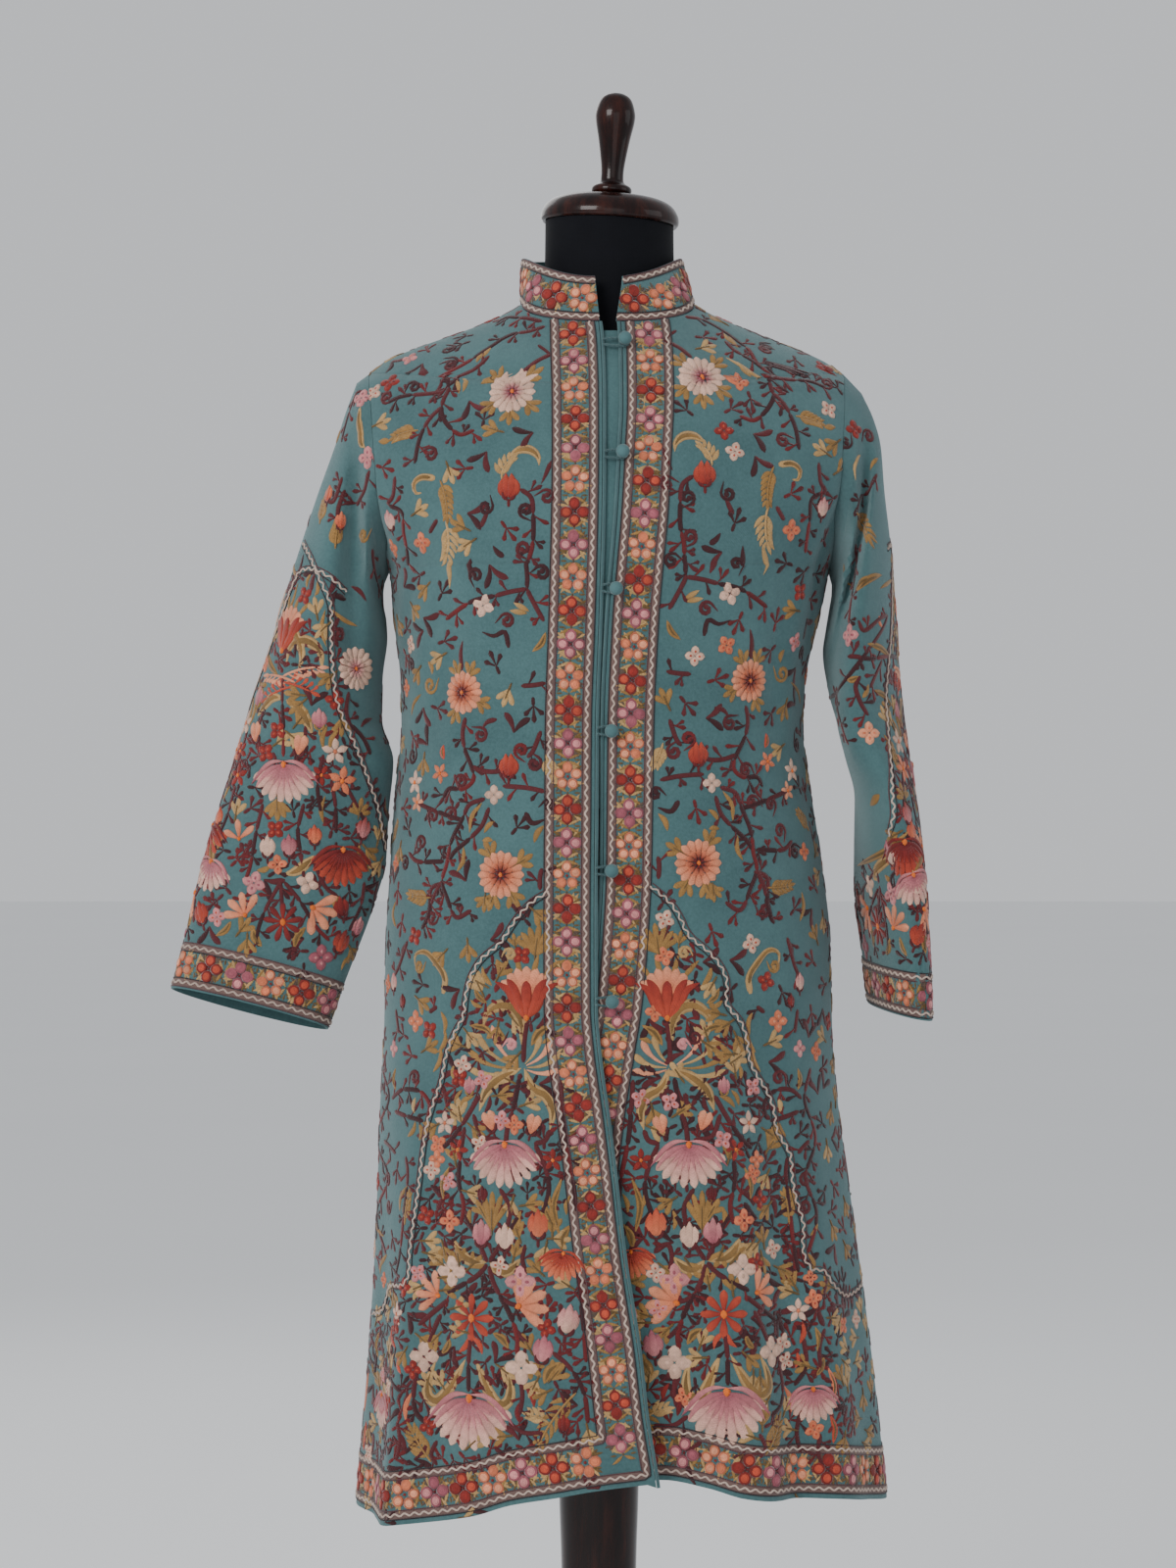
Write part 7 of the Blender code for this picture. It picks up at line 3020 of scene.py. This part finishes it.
def skirt(s: Sheet) -> None:
    """The upper half of the skirt, inside the arch."""
    n = s.trim.needle
    n.palmate(s.pen(546, 975, 8), W.GOLD, 7, 27, 17)
    n.palmate(s.pen(526, 966, -10), W.GOLD, 3, 12)
    s.flowers(n.tulip, (537, 1040, 0, 1.14))
    s.scrolls((520, 974, 20, W.OCHRE, 12), (509, 1058, 200, W.MAROON, 13),
              (521, 1066, 30, W.PINK, 11))
    s.leaves((502, 1006, 492, 986, 6), (497, 1024, 484, 1008, 6.5), (493, 1028, 480, 1020, 5),
             (505, 1013, 512, 1003, 6, W.CRIMSON), (542, 1067, 563, 1046, 9),
             (479, 1046, 505, 1058, 7.5), (463, 1102, 464, 1086, 5), (553, 1065, 566, 1060, 5),
             (464, 1128, 472, 1112, 5), (468, 1130, 484, 1118, 5.5),
             (527, 1108, 519, 1126, 5, W.MAROON), (521, 1116, 506, 1134, 5, W.MAROON),
             (535, 1108, 541, 1130, 5, W.MAROON), (500, 1118, 494, 1136, 5, W.MAROON))
    s.ribbon([(493, 1048), (497, 1034), (511, 1026), (525, 1030), (532, 1046), (532, 1066)], 13.3)
    s.ribbon([(532, 1090), (511, 1100), (496, 1114), (489, 1134)], 11.9)
    s.ribbon([(535, 1090), (543, 1110), (557, 1118), (564, 1134), (561, 1153)], 11.9)
    for turn, long, tip in (
        (-106, 46, W.OCHRE), (-88, 50, W.GOLD), (-70, 48, W.OCHRE), (-52, 42, W.SALMON),
        (106, 30, W.SALMON), (84, 32, W.OCHRE), (62, 32, W.SALMON), (42, 30, W.OCHRE),
    ):
        n.leaf(s.pen(532, 1090, turn), 0, 5, 0, long, 7.5, tip, bend=-math.copysign(34, turn),
               outline=Outline.DROP)
    s.vines(((538, 1041), (535, 1062), (534, 1084)),
            ((489, 1118), (475, 1142), (462, 1161), (451, 1172)),
            ((561, 1153), (556, 1164), (545, 1167)),
            ((516, 1168), (518, 1150), (524, 1130), (530, 1100)), leaflets=False, width=5)
    s.vines(((483, 1137), (491, 1159), (510, 1163)),
            ((572, 1102), (574, 1134), (577, 1164), (584, 1201), (588, 1236)),
            ((474, 1150), (470, 1178), (468, 1205), (473, 1230), (470, 1250)),
            ((546, 1168), (556, 1190), (560, 1215), (553, 1240)),
            ((497, 1288), (486, 1262), (474, 1240)), ((499, 1288), (516, 1262), (530, 1240)),
            ((510, 1213), (520, 1232), (518, 1252)), width=4.8)
    s.flowers(n.bud, (479, 1117, 0, 0.8, W.MAUVE, W.PINK, W.GOLD),
              (503, 1154, -20, 1, W.PEACH, W.SALMON, W.MAROON, 2),
              (541, 1158, 15, 1, W.PEACH, W.SALMON, W.MAROON, 2),
              (492, 1226, 0, 0.7, W.CRIMSON, W.MAROON))
    s.flowers(n.star, (454, 1146, 0, 1.1, W.CREAM, W.PEACH), (467, 1173, 20, 1.05, W.RED),
              (564, 1184, 0, 1.05, W.RED))
    s.flowers(n.blossom, (446, 1183, 0, 0.8, W.PEACH, W.SALMON), (459, 1246, 0, 1, W.PEACH, W.CORAL))
    s.flowers(n.fan, (515, 1168, 0, 1.02))
    for x, y, turn in ((470, 1212, -20), (553, 1218, 12), (538, 1222, 0), (486, 1215, -10)):
        n.sprig(s.pen(x, y, turn, 1.1), W.WINE)
    s.leaves((453, 1226, 459, 1190, 6.5), (480, 1252, 481, 1232, 6), (531, 1256, 532, 1234, 6),
             (571, 1262, 574, 1200, 7), (566, 1236, 560, 1214, 5), (578, 1240, 583, 1218, 5))
    n.palmate(s.pen(502, 1256, 0), W.GOLD, 5, 34, 13)
    n.palmate(s.pen(494, 1240, -30), W.GOLD, 3, 16)


def lower(s: Sheet) -> None:
    """The lower half of the skirt, down to the border."""
    n = s.trim.needle
    s.flowers(n.bud, (491, 1272, 0, 1.2, W.MAUVE, W.PINK), (515, 1276, 0, 1.2, W.CREAM, W.IVORY),
              (549, 1264, 0, 1.3, W.PEACH, W.CORAL), (577, 1362, 10, 1.35, W.CREAM, W.PINK),
              (552, 1391, 8, 1.25, W.PINK, W.MAUVE))
    s.leaves((573, 1276, 582, 1250, 9.5), (386, 1385, 388, 1358, 7),
             (537, 1417, 545, 1436, 6, W.RED), (530, 1452, 531, 1430, 6, W.CRIMSON),
             (555, 1412, 572, 1390, 11), (459, 1366, 450, 1382, 8), (503, 1360, 519, 1377, 9),
             (482, 1364, 492, 1382, 6, W.CORAL), (479, 1364, 468, 1380, 6, W.CORAL),
             (404, 1376, 401, 1352, 6, W.CORAL), (409, 1402, 407, 1384, 5, W.CORAL))
    s.ribbon([(463, 1264), (470, 1279), (482, 1287), (497, 1288)], 11.9)
    s.ribbon([(500, 1288), (508, 1297), (520, 1296), (532, 1284)], 11.9)
    s.ribbon([(475, 1387), (466, 1404), (457, 1419), (445, 1430), (436, 1422), (438, 1405),
              (445, 1388)], 12.6)
    s.ribbon([(485, 1387), (491, 1401), (500, 1423), (510, 1435), (520, 1427), (520, 1408),
              (515, 1392)], 12.6)
    s.vines(((497, 1290), (488, 1301), (472, 1311), (455, 1320)),
            ((499, 1292), (503, 1308), (511, 1324), (521, 1343), (528, 1366), (527, 1382)),
            ((458, 1326), (441, 1340), (427, 1352)), ((450, 1341), (443, 1356), (437, 1372)),
            ((426, 1396), (422, 1420), (424, 1440), (434, 1452)), width=5.2)
    s.vines(((511, 1324), (520, 1330), (528, 1332)), ((526, 1357), (534, 1366), (541, 1371)),
            ((480, 1364), (478, 1390), (478, 1420)), ((537, 1300), (533, 1285), (536, 1270)),
            ((564, 1380), (578, 1392), (590, 1408), (597, 1426), (600, 1452)),
            ((590, 1300), (593, 1330), (596, 1360), (598, 1390)),
            ((531, 1408), (533, 1425), (530, 1444)), ((519, 1452), (535, 1462), (556, 1462)),
            ((446, 1470), (440, 1484), (446, 1495)), ((505, 1478), (518, 1486), (530, 1482)))
    s.flowers(n.blossom, (461, 1297, 0, 1.35, W.IVORY, W.CREAM), (531, 1308, 0, 1.35, W.PINK, W.MAUVE),
              (433, 1384, 0, 1.35, W.CREAM, W.IVORY), (532, 1396, 0, 1.45, W.CREAM, W.IVORY))
    s.flowers(n.profile, (447, 1322, -68, 1, W.PEACH, W.SALMON, 4),
              (529, 1333, 62, 1.25, W.PEACH, W.SALMON, 5, 22, 130))
    s.flowers(n.star, (481, 1345, 0, 2.1, W.RED, W.ORANGE, 8, 20, W.CORAL),
              (405, 1341, 0, 1.1, W.IVORY, W.PEACH))
    s.flowers(n.fan, (575, 1279, 10, 0.66, W.PEACH, W.CORAL, W.RED), (479, 1427, 0, 1.22),
              (391, 1424, 0, 0.8))
    n.fern(s.pen(588, 1421, -135), 60, -20, 6, W.GOLD, 13)
    n.fern(s.pen(560, 1452, -60), 20, -20, 3, W.OCHRE, 9)
    n.fern(s.pen(440, 1492, -40), 34, 10, 5, W.GOLD, 12)
    n.palmate(s.pen(562, 1408, 40), W.GOLD, 3, 20)
    for x, y, turn in ((500, 1340, 150), (462, 1352, 200), (513, 1358, 120), (552, 1440, 90),
                       (590, 1462, 180), (461, 1486, 160), (548, 1478, 20), (578, 1470, 0)):
        n.sprig(s.pen(x, y, turn, 1.2), W.MAROON)
    n.bud(s.pen(575, 1462, 0, 0.8), W.CRIMSON, W.RED)


def side_strip(s: Sheet) -> None:
    """Outside the arch, down to the side seam."""
    n = s.trim.needle
    s.vines(((416, 960), (408, 984), (403, 995)), ((438, 1033), (446, 1027)),
            ((404, 1030), (407, 1054)), ((400, 1121), (411, 1112), (427, 1113), (438, 1126),
                                        (436, 1142)),
            ((403, 1134), (418, 1140), (432, 1144)), ((392, 1164), (398, 1170), (404, 1177)),
            ((391, 1090), (397, 1122), (386, 1160), (396, 1200), (385, 1238), (394, 1280)),
            ((414, 1180), (416, 1200), (412, 1240), (408, 1280), (404, 1300)),
            ((378, 1290), (376, 1310), (380, 1325)))
    s.ribbon([(424, 987), (424, 974), (435, 972), (446, 984), (454, 998), (452, 1014)], 7, W.GOLD,
             W.OCHRE, Outline.TAIL)
    s.scrolls((428, 986, 200, W.GOLD, 12), (423, 1100, 0), (396, 1204, 30), (397, 1231, 200))
    s.leaves((450, 1032, 453, 1056), (455, 1052, 447, 1074), (450, 1068, 442, 1094, 6),
             (404, 1112, 404, 1090, 7), (423, 1136, 424, 1120, 6, W.OCHRE),
             (424, 1144, 416, 1160, 6), (428, 1146, 428, 1164, 6), (388, 1300, 395, 1280, 6),
             (392, 1262, 384, 1248, 5), (408, 1236, 416, 1210, 6))
    s.flowers(n.bud, (402, 1011, 0, 0.8, W.IVORY, W.PINK), (411, 1028, 0, 0.6, W.RED, W.CRIMSON))
    s.flowers(n.blossom, (424, 1042, 0, 0.95, W.PEACH, W.SALMON), (392, 1306, 0, 0.7, W.PEACH, W.RED),
              (402, 1070, 0, 0.75, W.PINK, W.CREAM))
    n.fern(s.pen(413, 1250, 4), 30, 8, 4, W.GOLD, 8)
    s.vines(((378, 1360), (384, 1380), (382, 1405)), ((400, 1370), (398, 1400), (410, 1420)),
            ((405, 1450), (408, 1470), (404, 1490)), ((384, 1470), (386, 1490), (380, 1505)))
    s.leaves((388, 1410, 380, 1388, 7), (414, 1450, 421, 1420, 6, W.PEACH),
             (372, 1440, 376, 1400, 7, W.PEACH), (371, 1480, 374, 1450, 7, W.CORAL))


def spine(s: Sheet) -> None:
    """The column of motifs down the middle of the back; the drawing's middle is at 631."""
    n, x = s.trim.needle, 631
    n.rosette(s.pen(x, 372, 0, 1.1), W.CREAM, W.IVORY, W.MAUVE, (0, 72, 144, 216, 288))
    n.rosette(s.pen(x, 560, 0, 1.1), W.PEACH, W.SALMON, W.CRIMSON, (0, 60, 120, 180, 240, 300))
    n.rosette(s.pen(x, 760, 0, 1.0), W.CREAM, W.IVORY, W.MAUVE, (0, 90, 180, 270))
    for top, end in ((398, 445), (490, 530), (592, 640), (690, 728), (792, 866)):
        s.vine((x, top), (x + 5, (top + end) / 2), (x, end))
    for y, kind in ((465, 0), (665, 1)):
        n.blossom(s.pen(x, y, 0, 1.2), (W.RED, W.PINK)[kind], (W.CRIMSON, W.MAUVE)[kind])
        for side in (-1, 1):
            n.curl(s.pen(x + side * 14, y + 24, side * 30), 14, W.MAROON)
            n.fern(s.pen(x + side * 8, y - 8, side * 60), 24, side * 20, 4, W.GOLD, 8)
    s.flowers(n.tulip, (x, 960, 0, 1.1), (x, 1235, 0, 1.1))
    n.palmate(s.pen(x, 900, 0), W.GOLD, 7, 24, 20)
    s.flowers(n.fan, (x, 1050, 0, 1.2), (x, 1330, 0, 1.3))
    s.flowers(n.star, (x, 1130, 0, 1.9, W.RED, W.ORANGE, 8, 20, W.CORAL),
              (x, 1418, 0, 1.9, W.RED, W.ORANGE, 8, 20, W.CORAL))
    n.rosette(s.pen(x, 1470, 0, 0.9), W.CREAM, W.IVORY, W.MAUVE, (-90, 90))
    s.vines(((x, 968), (x, 1005), (x, 1044)), ((x, 1095), (x, 1110)), ((x, 1150), (x, 1180)),
            ((x, 1242), (x, 1285), (x, 1322)), ((x, 1378), (x, 1398)), width=5)
    for side in (-1, 1):
        for y in (1000, 1160, 1280, 1385, 1440):
            s.ribbon([(x, y + 20), (x + side * 12, y + 18), (x + side * 22, y + 4),
                      (x + side * 20, y - 12)], 11.2)
        for y, tone in ((1020, W.CREAM), (1100, W.PINK), (1190, W.IVORY), (1300, W.PEACH),
                        (1400, W.CREAM)):
            n.blossom(s.pen(x + side * 30, y, 0, 1.1), tone, W.PEACH)
        for y in (1075, 1215, 1350, 1455):
            n.sprig(s.pen(x + side * 18, y, side * 40, 1.3), W.WINE)


@dataclass
class SleeveSheet(Sheet):
    """The visible half of the right sleeve's drawing, on either sleeve.

    Attributes:
        like: the right sleeve's cloth, on which the marks are found.
        fold: whether it is mirrored about the arch's middle.
    """

    like: Cloth | None = None
    fold: bool = False

    def places(self, marks: Sequence[Sequence[float]]) -> Array:
        """Grid places of marks on the drawing."""
        found = self.like.place(np.array(marks, float))
        away = found[:, :1] < AWAY / 2
        rows, columns = found[:, 0], found[:, 1]
        if self.fold:
            middle = self.like.place([SLEEVE_MIDDLE])[0][1]
            count = self.like.points.shape[1]
            off = (columns - middle + count / 2) % count - count / 2
            columns = middle - off
        scale = (self.trim.cloth.points.shape[0] - 1) / (self.like.points.shape[0] - 1)
        if self.flip:
            columns = columns + curve(SLEEVE_TURN, rows * scale)[..., 0]
        return np.where(away, AWAY, np.stack([rows * scale, columns], -1))

    def pen(self, x: float, y: float, turn: float = 0.0, size: float = 1.0) -> Pen:
        """A pen at a mark of the drawing."""
        flip = self.flip != self.fold
        return Pen(self.trim.cloth, self.places([(x, y)])[0], turn, size, flip)


def sleeves(right: Trim, left: Trim) -> None:
    """The drawings on both sleeves."""
    for trim, flip in ((right, False), (left, True)):
        sides = []
        for fold in (False, True):
            sheet = SleeveSheet(trim, flip, like=right.cloth, fold=fold)
            path = through(sheet.path(SLEEVE_ARCH), 50)
            trim.braid(path, strip=0, black_first=(flip == fold))
            sides.append(within(trim, path))
            forearm(sheet, fold)
            upper_arm(sheet, fold)
        trim.fill(np.minimum(*sides), np.maximum(*sides), *SLEEVE_FILL)


def forearm(s: Sheet, fold: bool) -> None:
    """Inside the sleeve's arch."""
    n = s.trim.needle
    if not fold:
        s.flowers(n.tulip, (288, 665, 4, 1.05))
        s.flowers(n.fan, (289.6, 780, 0, 0.95))
        s.flowers(n.star, (288.6, 941, 0, 1.8, W.RED, W.ORANGE, 9, 20, W.CRIMSON),
                  (243, 791, 0, 1.15, W.RED))
        s.flowers(n.blossom, (259, 901, 20, 1.05, W.PINK, W.MAUVE))
        s.flowers(n.bud, (273, 875, 0, 1, W.CREAM, W.IVORY), (295, 874, 0, 1, W.PINK, W.MAUVE))
        s.flowers(n.fan, (216, 879, 18, 0.75))
        s.flowers(n.profile, (250, 934, -30, 0.95), (244, 856, -8, 0.8, W.PEACH, W.SALMON, 3))
        s.flowers(n.bud, (207, 943, -20, 1.1, W.CORAL, W.RED))
        n.palmate(s.pen(283, 815, 180), W.GOLD, 5, 20, 20)
        s.vine((289, 690), (289, 735), (289, 772), leaflets=False, width=4)
        s.vines(((288, 897), (270, 930), (262, 955), (264, 966)), ((286, 900), (288, 930)),
                ((268, 820), (262, 846), (256, 880), (250, 900)),
                ((240, 745), (226, 800), (214, 850), (208, 880)), width=4)
        s.leaves((276, 884, 262, 888, 6), (284, 690, 274, 664, 8), (267, 966, 258, 946, 9),
                 (236, 940, 220, 955, 7), (219, 870, 226, 840, 5), (222, 868, 230, 852, 5))
    s.leaves((333, 660, 332, 622, 4.5), (313, 600, 318, 585, 5), (304, 590, 300, 574, 5),
             (330, 765, 334, 740, 5.4), (336, 766, 346, 744, 5.4), (377, 890, 366, 860, 7.5),
             (300, 968, 312, 946, 9), (348, 990, 360, 975, 6), (330, 840, 332, 812, 5),
             (340, 925, 346, 915, 5))
    s.ribbon([(292, 677), (297, 659), (312, 654), (326, 664), (329, 684)], 11.9)
    s.ribbon([(292, 714), (306, 724), (315, 740), (319, 750)], 11.9)
    s.ribbon([(290, 892), (302, 889), (314, 880), (320, 873)], 11.2)
    n.fern(s.pen(289, 690, 68), 40, 20, 6, W.SALMON, 11, 46, True)
    n.fern(s.pen(289, 696, 100), 34, 16, 5, W.CORAL, 10, -46, True)
    s.flowers(n.bud, (304, 771, 12, 1.05, W.PEACH, W.SALMON, W.MAROON, 2),
              (326, 744, 0, 0.95, W.MAUVE, W.PINK, W.GOLD),
              (321, 862, 0, 0.9, W.PEACH, W.CORAL), (369, 856, 10, 1, W.PINK, W.RED),
              (350, 936, -12, 1, W.CRIMSON, W.RED), (344, 972, 20, 1.1, W.CORAL, W.CRIMSON),
              (362, 955, 12, 0.9, W.MAUVE, W.PINK))
    s.flowers(n.star, (342, 767, 0, 1.25, W.CREAM, W.PEACH), (349, 797, 10, 1.35, W.PEACH),
              (328, 791, 30, 1.0, W.RED))
    s.flowers(n.fan, (350, 867, 2, 0.9, W.CORAL, W.RED, W.CRIMSON))
    s.flowers(n.blossom, (314, 901, 20, 1.0, W.CREAM, W.IVORY), (328, 977, 0, 1.15, W.MAUVE, W.PINK))
    n.profile(s.pen(319, 926, 125, 1.1), W.PEACH, W.SALMON, 4)
    n.palmate(s.pen(366, 832, 10), W.GOLD, 5, 16)
    s.vines(((338, 796), (342, 820), (343, 850)), ((330, 770), (324, 800), (328, 830)),
            ((312, 740), (309, 760), (296, 772)), ((290, 900), (305, 918), (322, 945), (336, 960)),
            ((310, 820), (304, 846), (306, 868)), ((352, 800), (364, 822), (378, 850)),
            ((320, 880), (332, 905), (345, 915)), ((372, 900), (368, 925), (356, 950)), width=4)
    for x, y, turn in ((317, 826, 40), (300, 832, -10), (343, 862, 180), (380, 885, 160),
                       (356, 905, 170), (310, 985, 180), (300, 962, 200), (334, 950, 10)):
        n.sprig(s.pen(x, y, turn, 1.25), W.WINE)


def upper_arm(s: Sheet, fold: bool) -> None:
    """Above and beside the sleeve's arch."""
    n = s.trim.needle
    if s.flip and not fold:
        own = Sheet(s.trim)
        own.vines(((895, 484), (884, 504), (872, 527)),
                  ((873, 555), (874, 577), (870, 604), (866, 636)),
                  ((876, 633), (882, 644), (898, 646), (915, 657)),
                  ((865, 670), (891, 672), (915, 672)), ((900, 674), (893, 690), (888, 702)),
                  ((878, 690), (873, 702), (886, 730)), ((850, 700), (856, 730), (866, 760)))
        own.scrolls((887, 446, 20), (850, 398, 0), (862, 450, 180, W.WINE))
        own.flowers(n.blossom, (872, 438, 0, 0.9, W.RED, W.CRIMSON), (866, 648, 0, 1, W.PINK, W.MAUVE),
                    (887, 748, 0, 1, W.SALMON, W.PEACH))
        own.leaves((885, 657, 909, 672, 7.5), (869, 598, 861, 575, 7), (891, 704, 911, 722, 7),
                   (886, 698, 880, 712, 6), (873, 604, 888, 588, 7), (874, 604, 900, 587, 8),
                   (876, 690, 864, 694, 7), (900, 640, 897, 628, 4.5, W.PEACH),
                   (873, 490, 878, 464, 5, W.OCHRE), (888, 480, 896, 468, 5))
        n.fern(own.pen(874, 523, 118), 34, 30, 5, W.GOLD, 9)
        n.fern(own.pen(902, 750, 150), 32, 16, 5, W.GOLD, 9)
        n.leaf(own.pen(888, 822), 0, 0, 60, 20, 9, W.GOLD)
        return
    n.rosette(s.pen(362.5, 682.5, 0, 0.95), W.CREAM, W.IVORY, W.PINK)
    s.vines(((356, 706), (355, 734), (370, 752), (378, 770)), ((347, 538), (345, 520), (352, 500)),
            ((345, 660), (340, 645), (346, 630)), ((380, 560), (384, 590), (390, 610)))
    s.leaves((368, 742, 380, 733, 5, W.MAROON), (358, 598, 374, 614, 5, W.MAROON),
             (340, 620, 344, 602, 5, W.WINE), (400, 840, 393, 812, 8, W.MAROON))
    s.scrolls((346, 648, 0), (371, 545, 200, W.GOLD, 13), (384, 452, 0, W.WINE))
    n.fern(s.pen(342, 560, 5), 22, 6, 4, W.GOLD, 9)
    s.flowers(n.bud, (347, 540, 6, 0.8, W.CORAL, W.PEACH))
    s.ribbon([(370, 450), (366, 432), (368, 415), (378, 404)], 8.4)
    n.blossom(s.pen(375, 467, 0, 1), W.PINK, W.MAUVE)
    s.vines(((377, 480), (372, 500), (364, 516)), ((395, 700), (398, 730), (396, 760)))


def dress_cloth(cloth: Cloth, finish: bpy.types.Material) -> Any:
    """Args:
        cloth: the cut piece.
        finish: its material.

    Returns:
        The object.
    """
    made = in_place(cloth.build(finish), cloth.name)
    wide, tall, area = cloth.cut_size()
    LOG.info("%s: cut %.3f x %.3f m, %.4f m2", cloth.name, wide, tall, area)
    list(cloth.rests_on)
    min(area, wide * tall)
    return made


def main() -> None:
    """Builds every sub-assembly in order."""
    logging.basicConfig(level=logging.INFO, format="%(name)s %(message)s")
    wool = TwillWool("teal_wool_twill", (0.082, 0.168, 0.174), (0.029, 0.072, 0.078)).make()
    binding = CordLook("teal_bound_edge", (0.076, 0.164, 0.172), (0.026, 0.066, 0.073), 0.0016).make()
    FormAndStand(Jersey().make(), PolishedWood().make()).build()
    FrontFastening(binding, wool).build()
    body = JacketBody()
    pieces = [
        body.front(True),
        body.front(False),
        body.back(),
        SleeveShape("sleeve_right", RIGHT_SLEEVE, -1, creases=RIGHT_CREASES).cut(),
        SleeveShape("sleeve_left", LEFT_SLEEVE, 1, creases=LEFT_CREASES).cut(),
        CollarShape().cut(),
    ]
    yarn = YarnLook().make()
    cream = CordLook("cream_braid", (0.62, 0.49, 0.41), (0.30, 0.21, 0.17), 0.0018).make()
    dark = CordLook("dark_cord", (0.020, 0.012, 0.016), (0.007, 0.004, 0.006)).make()
    brown = CordLook("brown_cord", (0.10, 0.035, 0.04), (0.045, 0.014, 0.018)).make()
    looks = Looks(
        yarn,
        CordLook("brown_strip", (0.19, 0.115, 0.10), (0.085, 0.052, 0.048), 0.0016).make(),
        braid_tree(cream),
        braid_tree(dark),
        braid_tree(brown),
        petal_tree(yarn),
    )
    trims = [Trim(cloth, seed=11 + k) for k, cloth in enumerate(pieces)]
    plan = BorderPlan()
    plan.front(trims[0], True)
    plan.front(trims[1], False)
    plan.hem(trims[2])
    plan.cuff(trims[3])
    plan.cuff(trims[4])
    plan.collar(trims[5])
    design(trims)
    for trim in trims:
        sewn = trim.pieces(looks)
        dress_cloth(trim.cloth, wool)
    Studio().build()


if __name__ == "__main__":
    main()
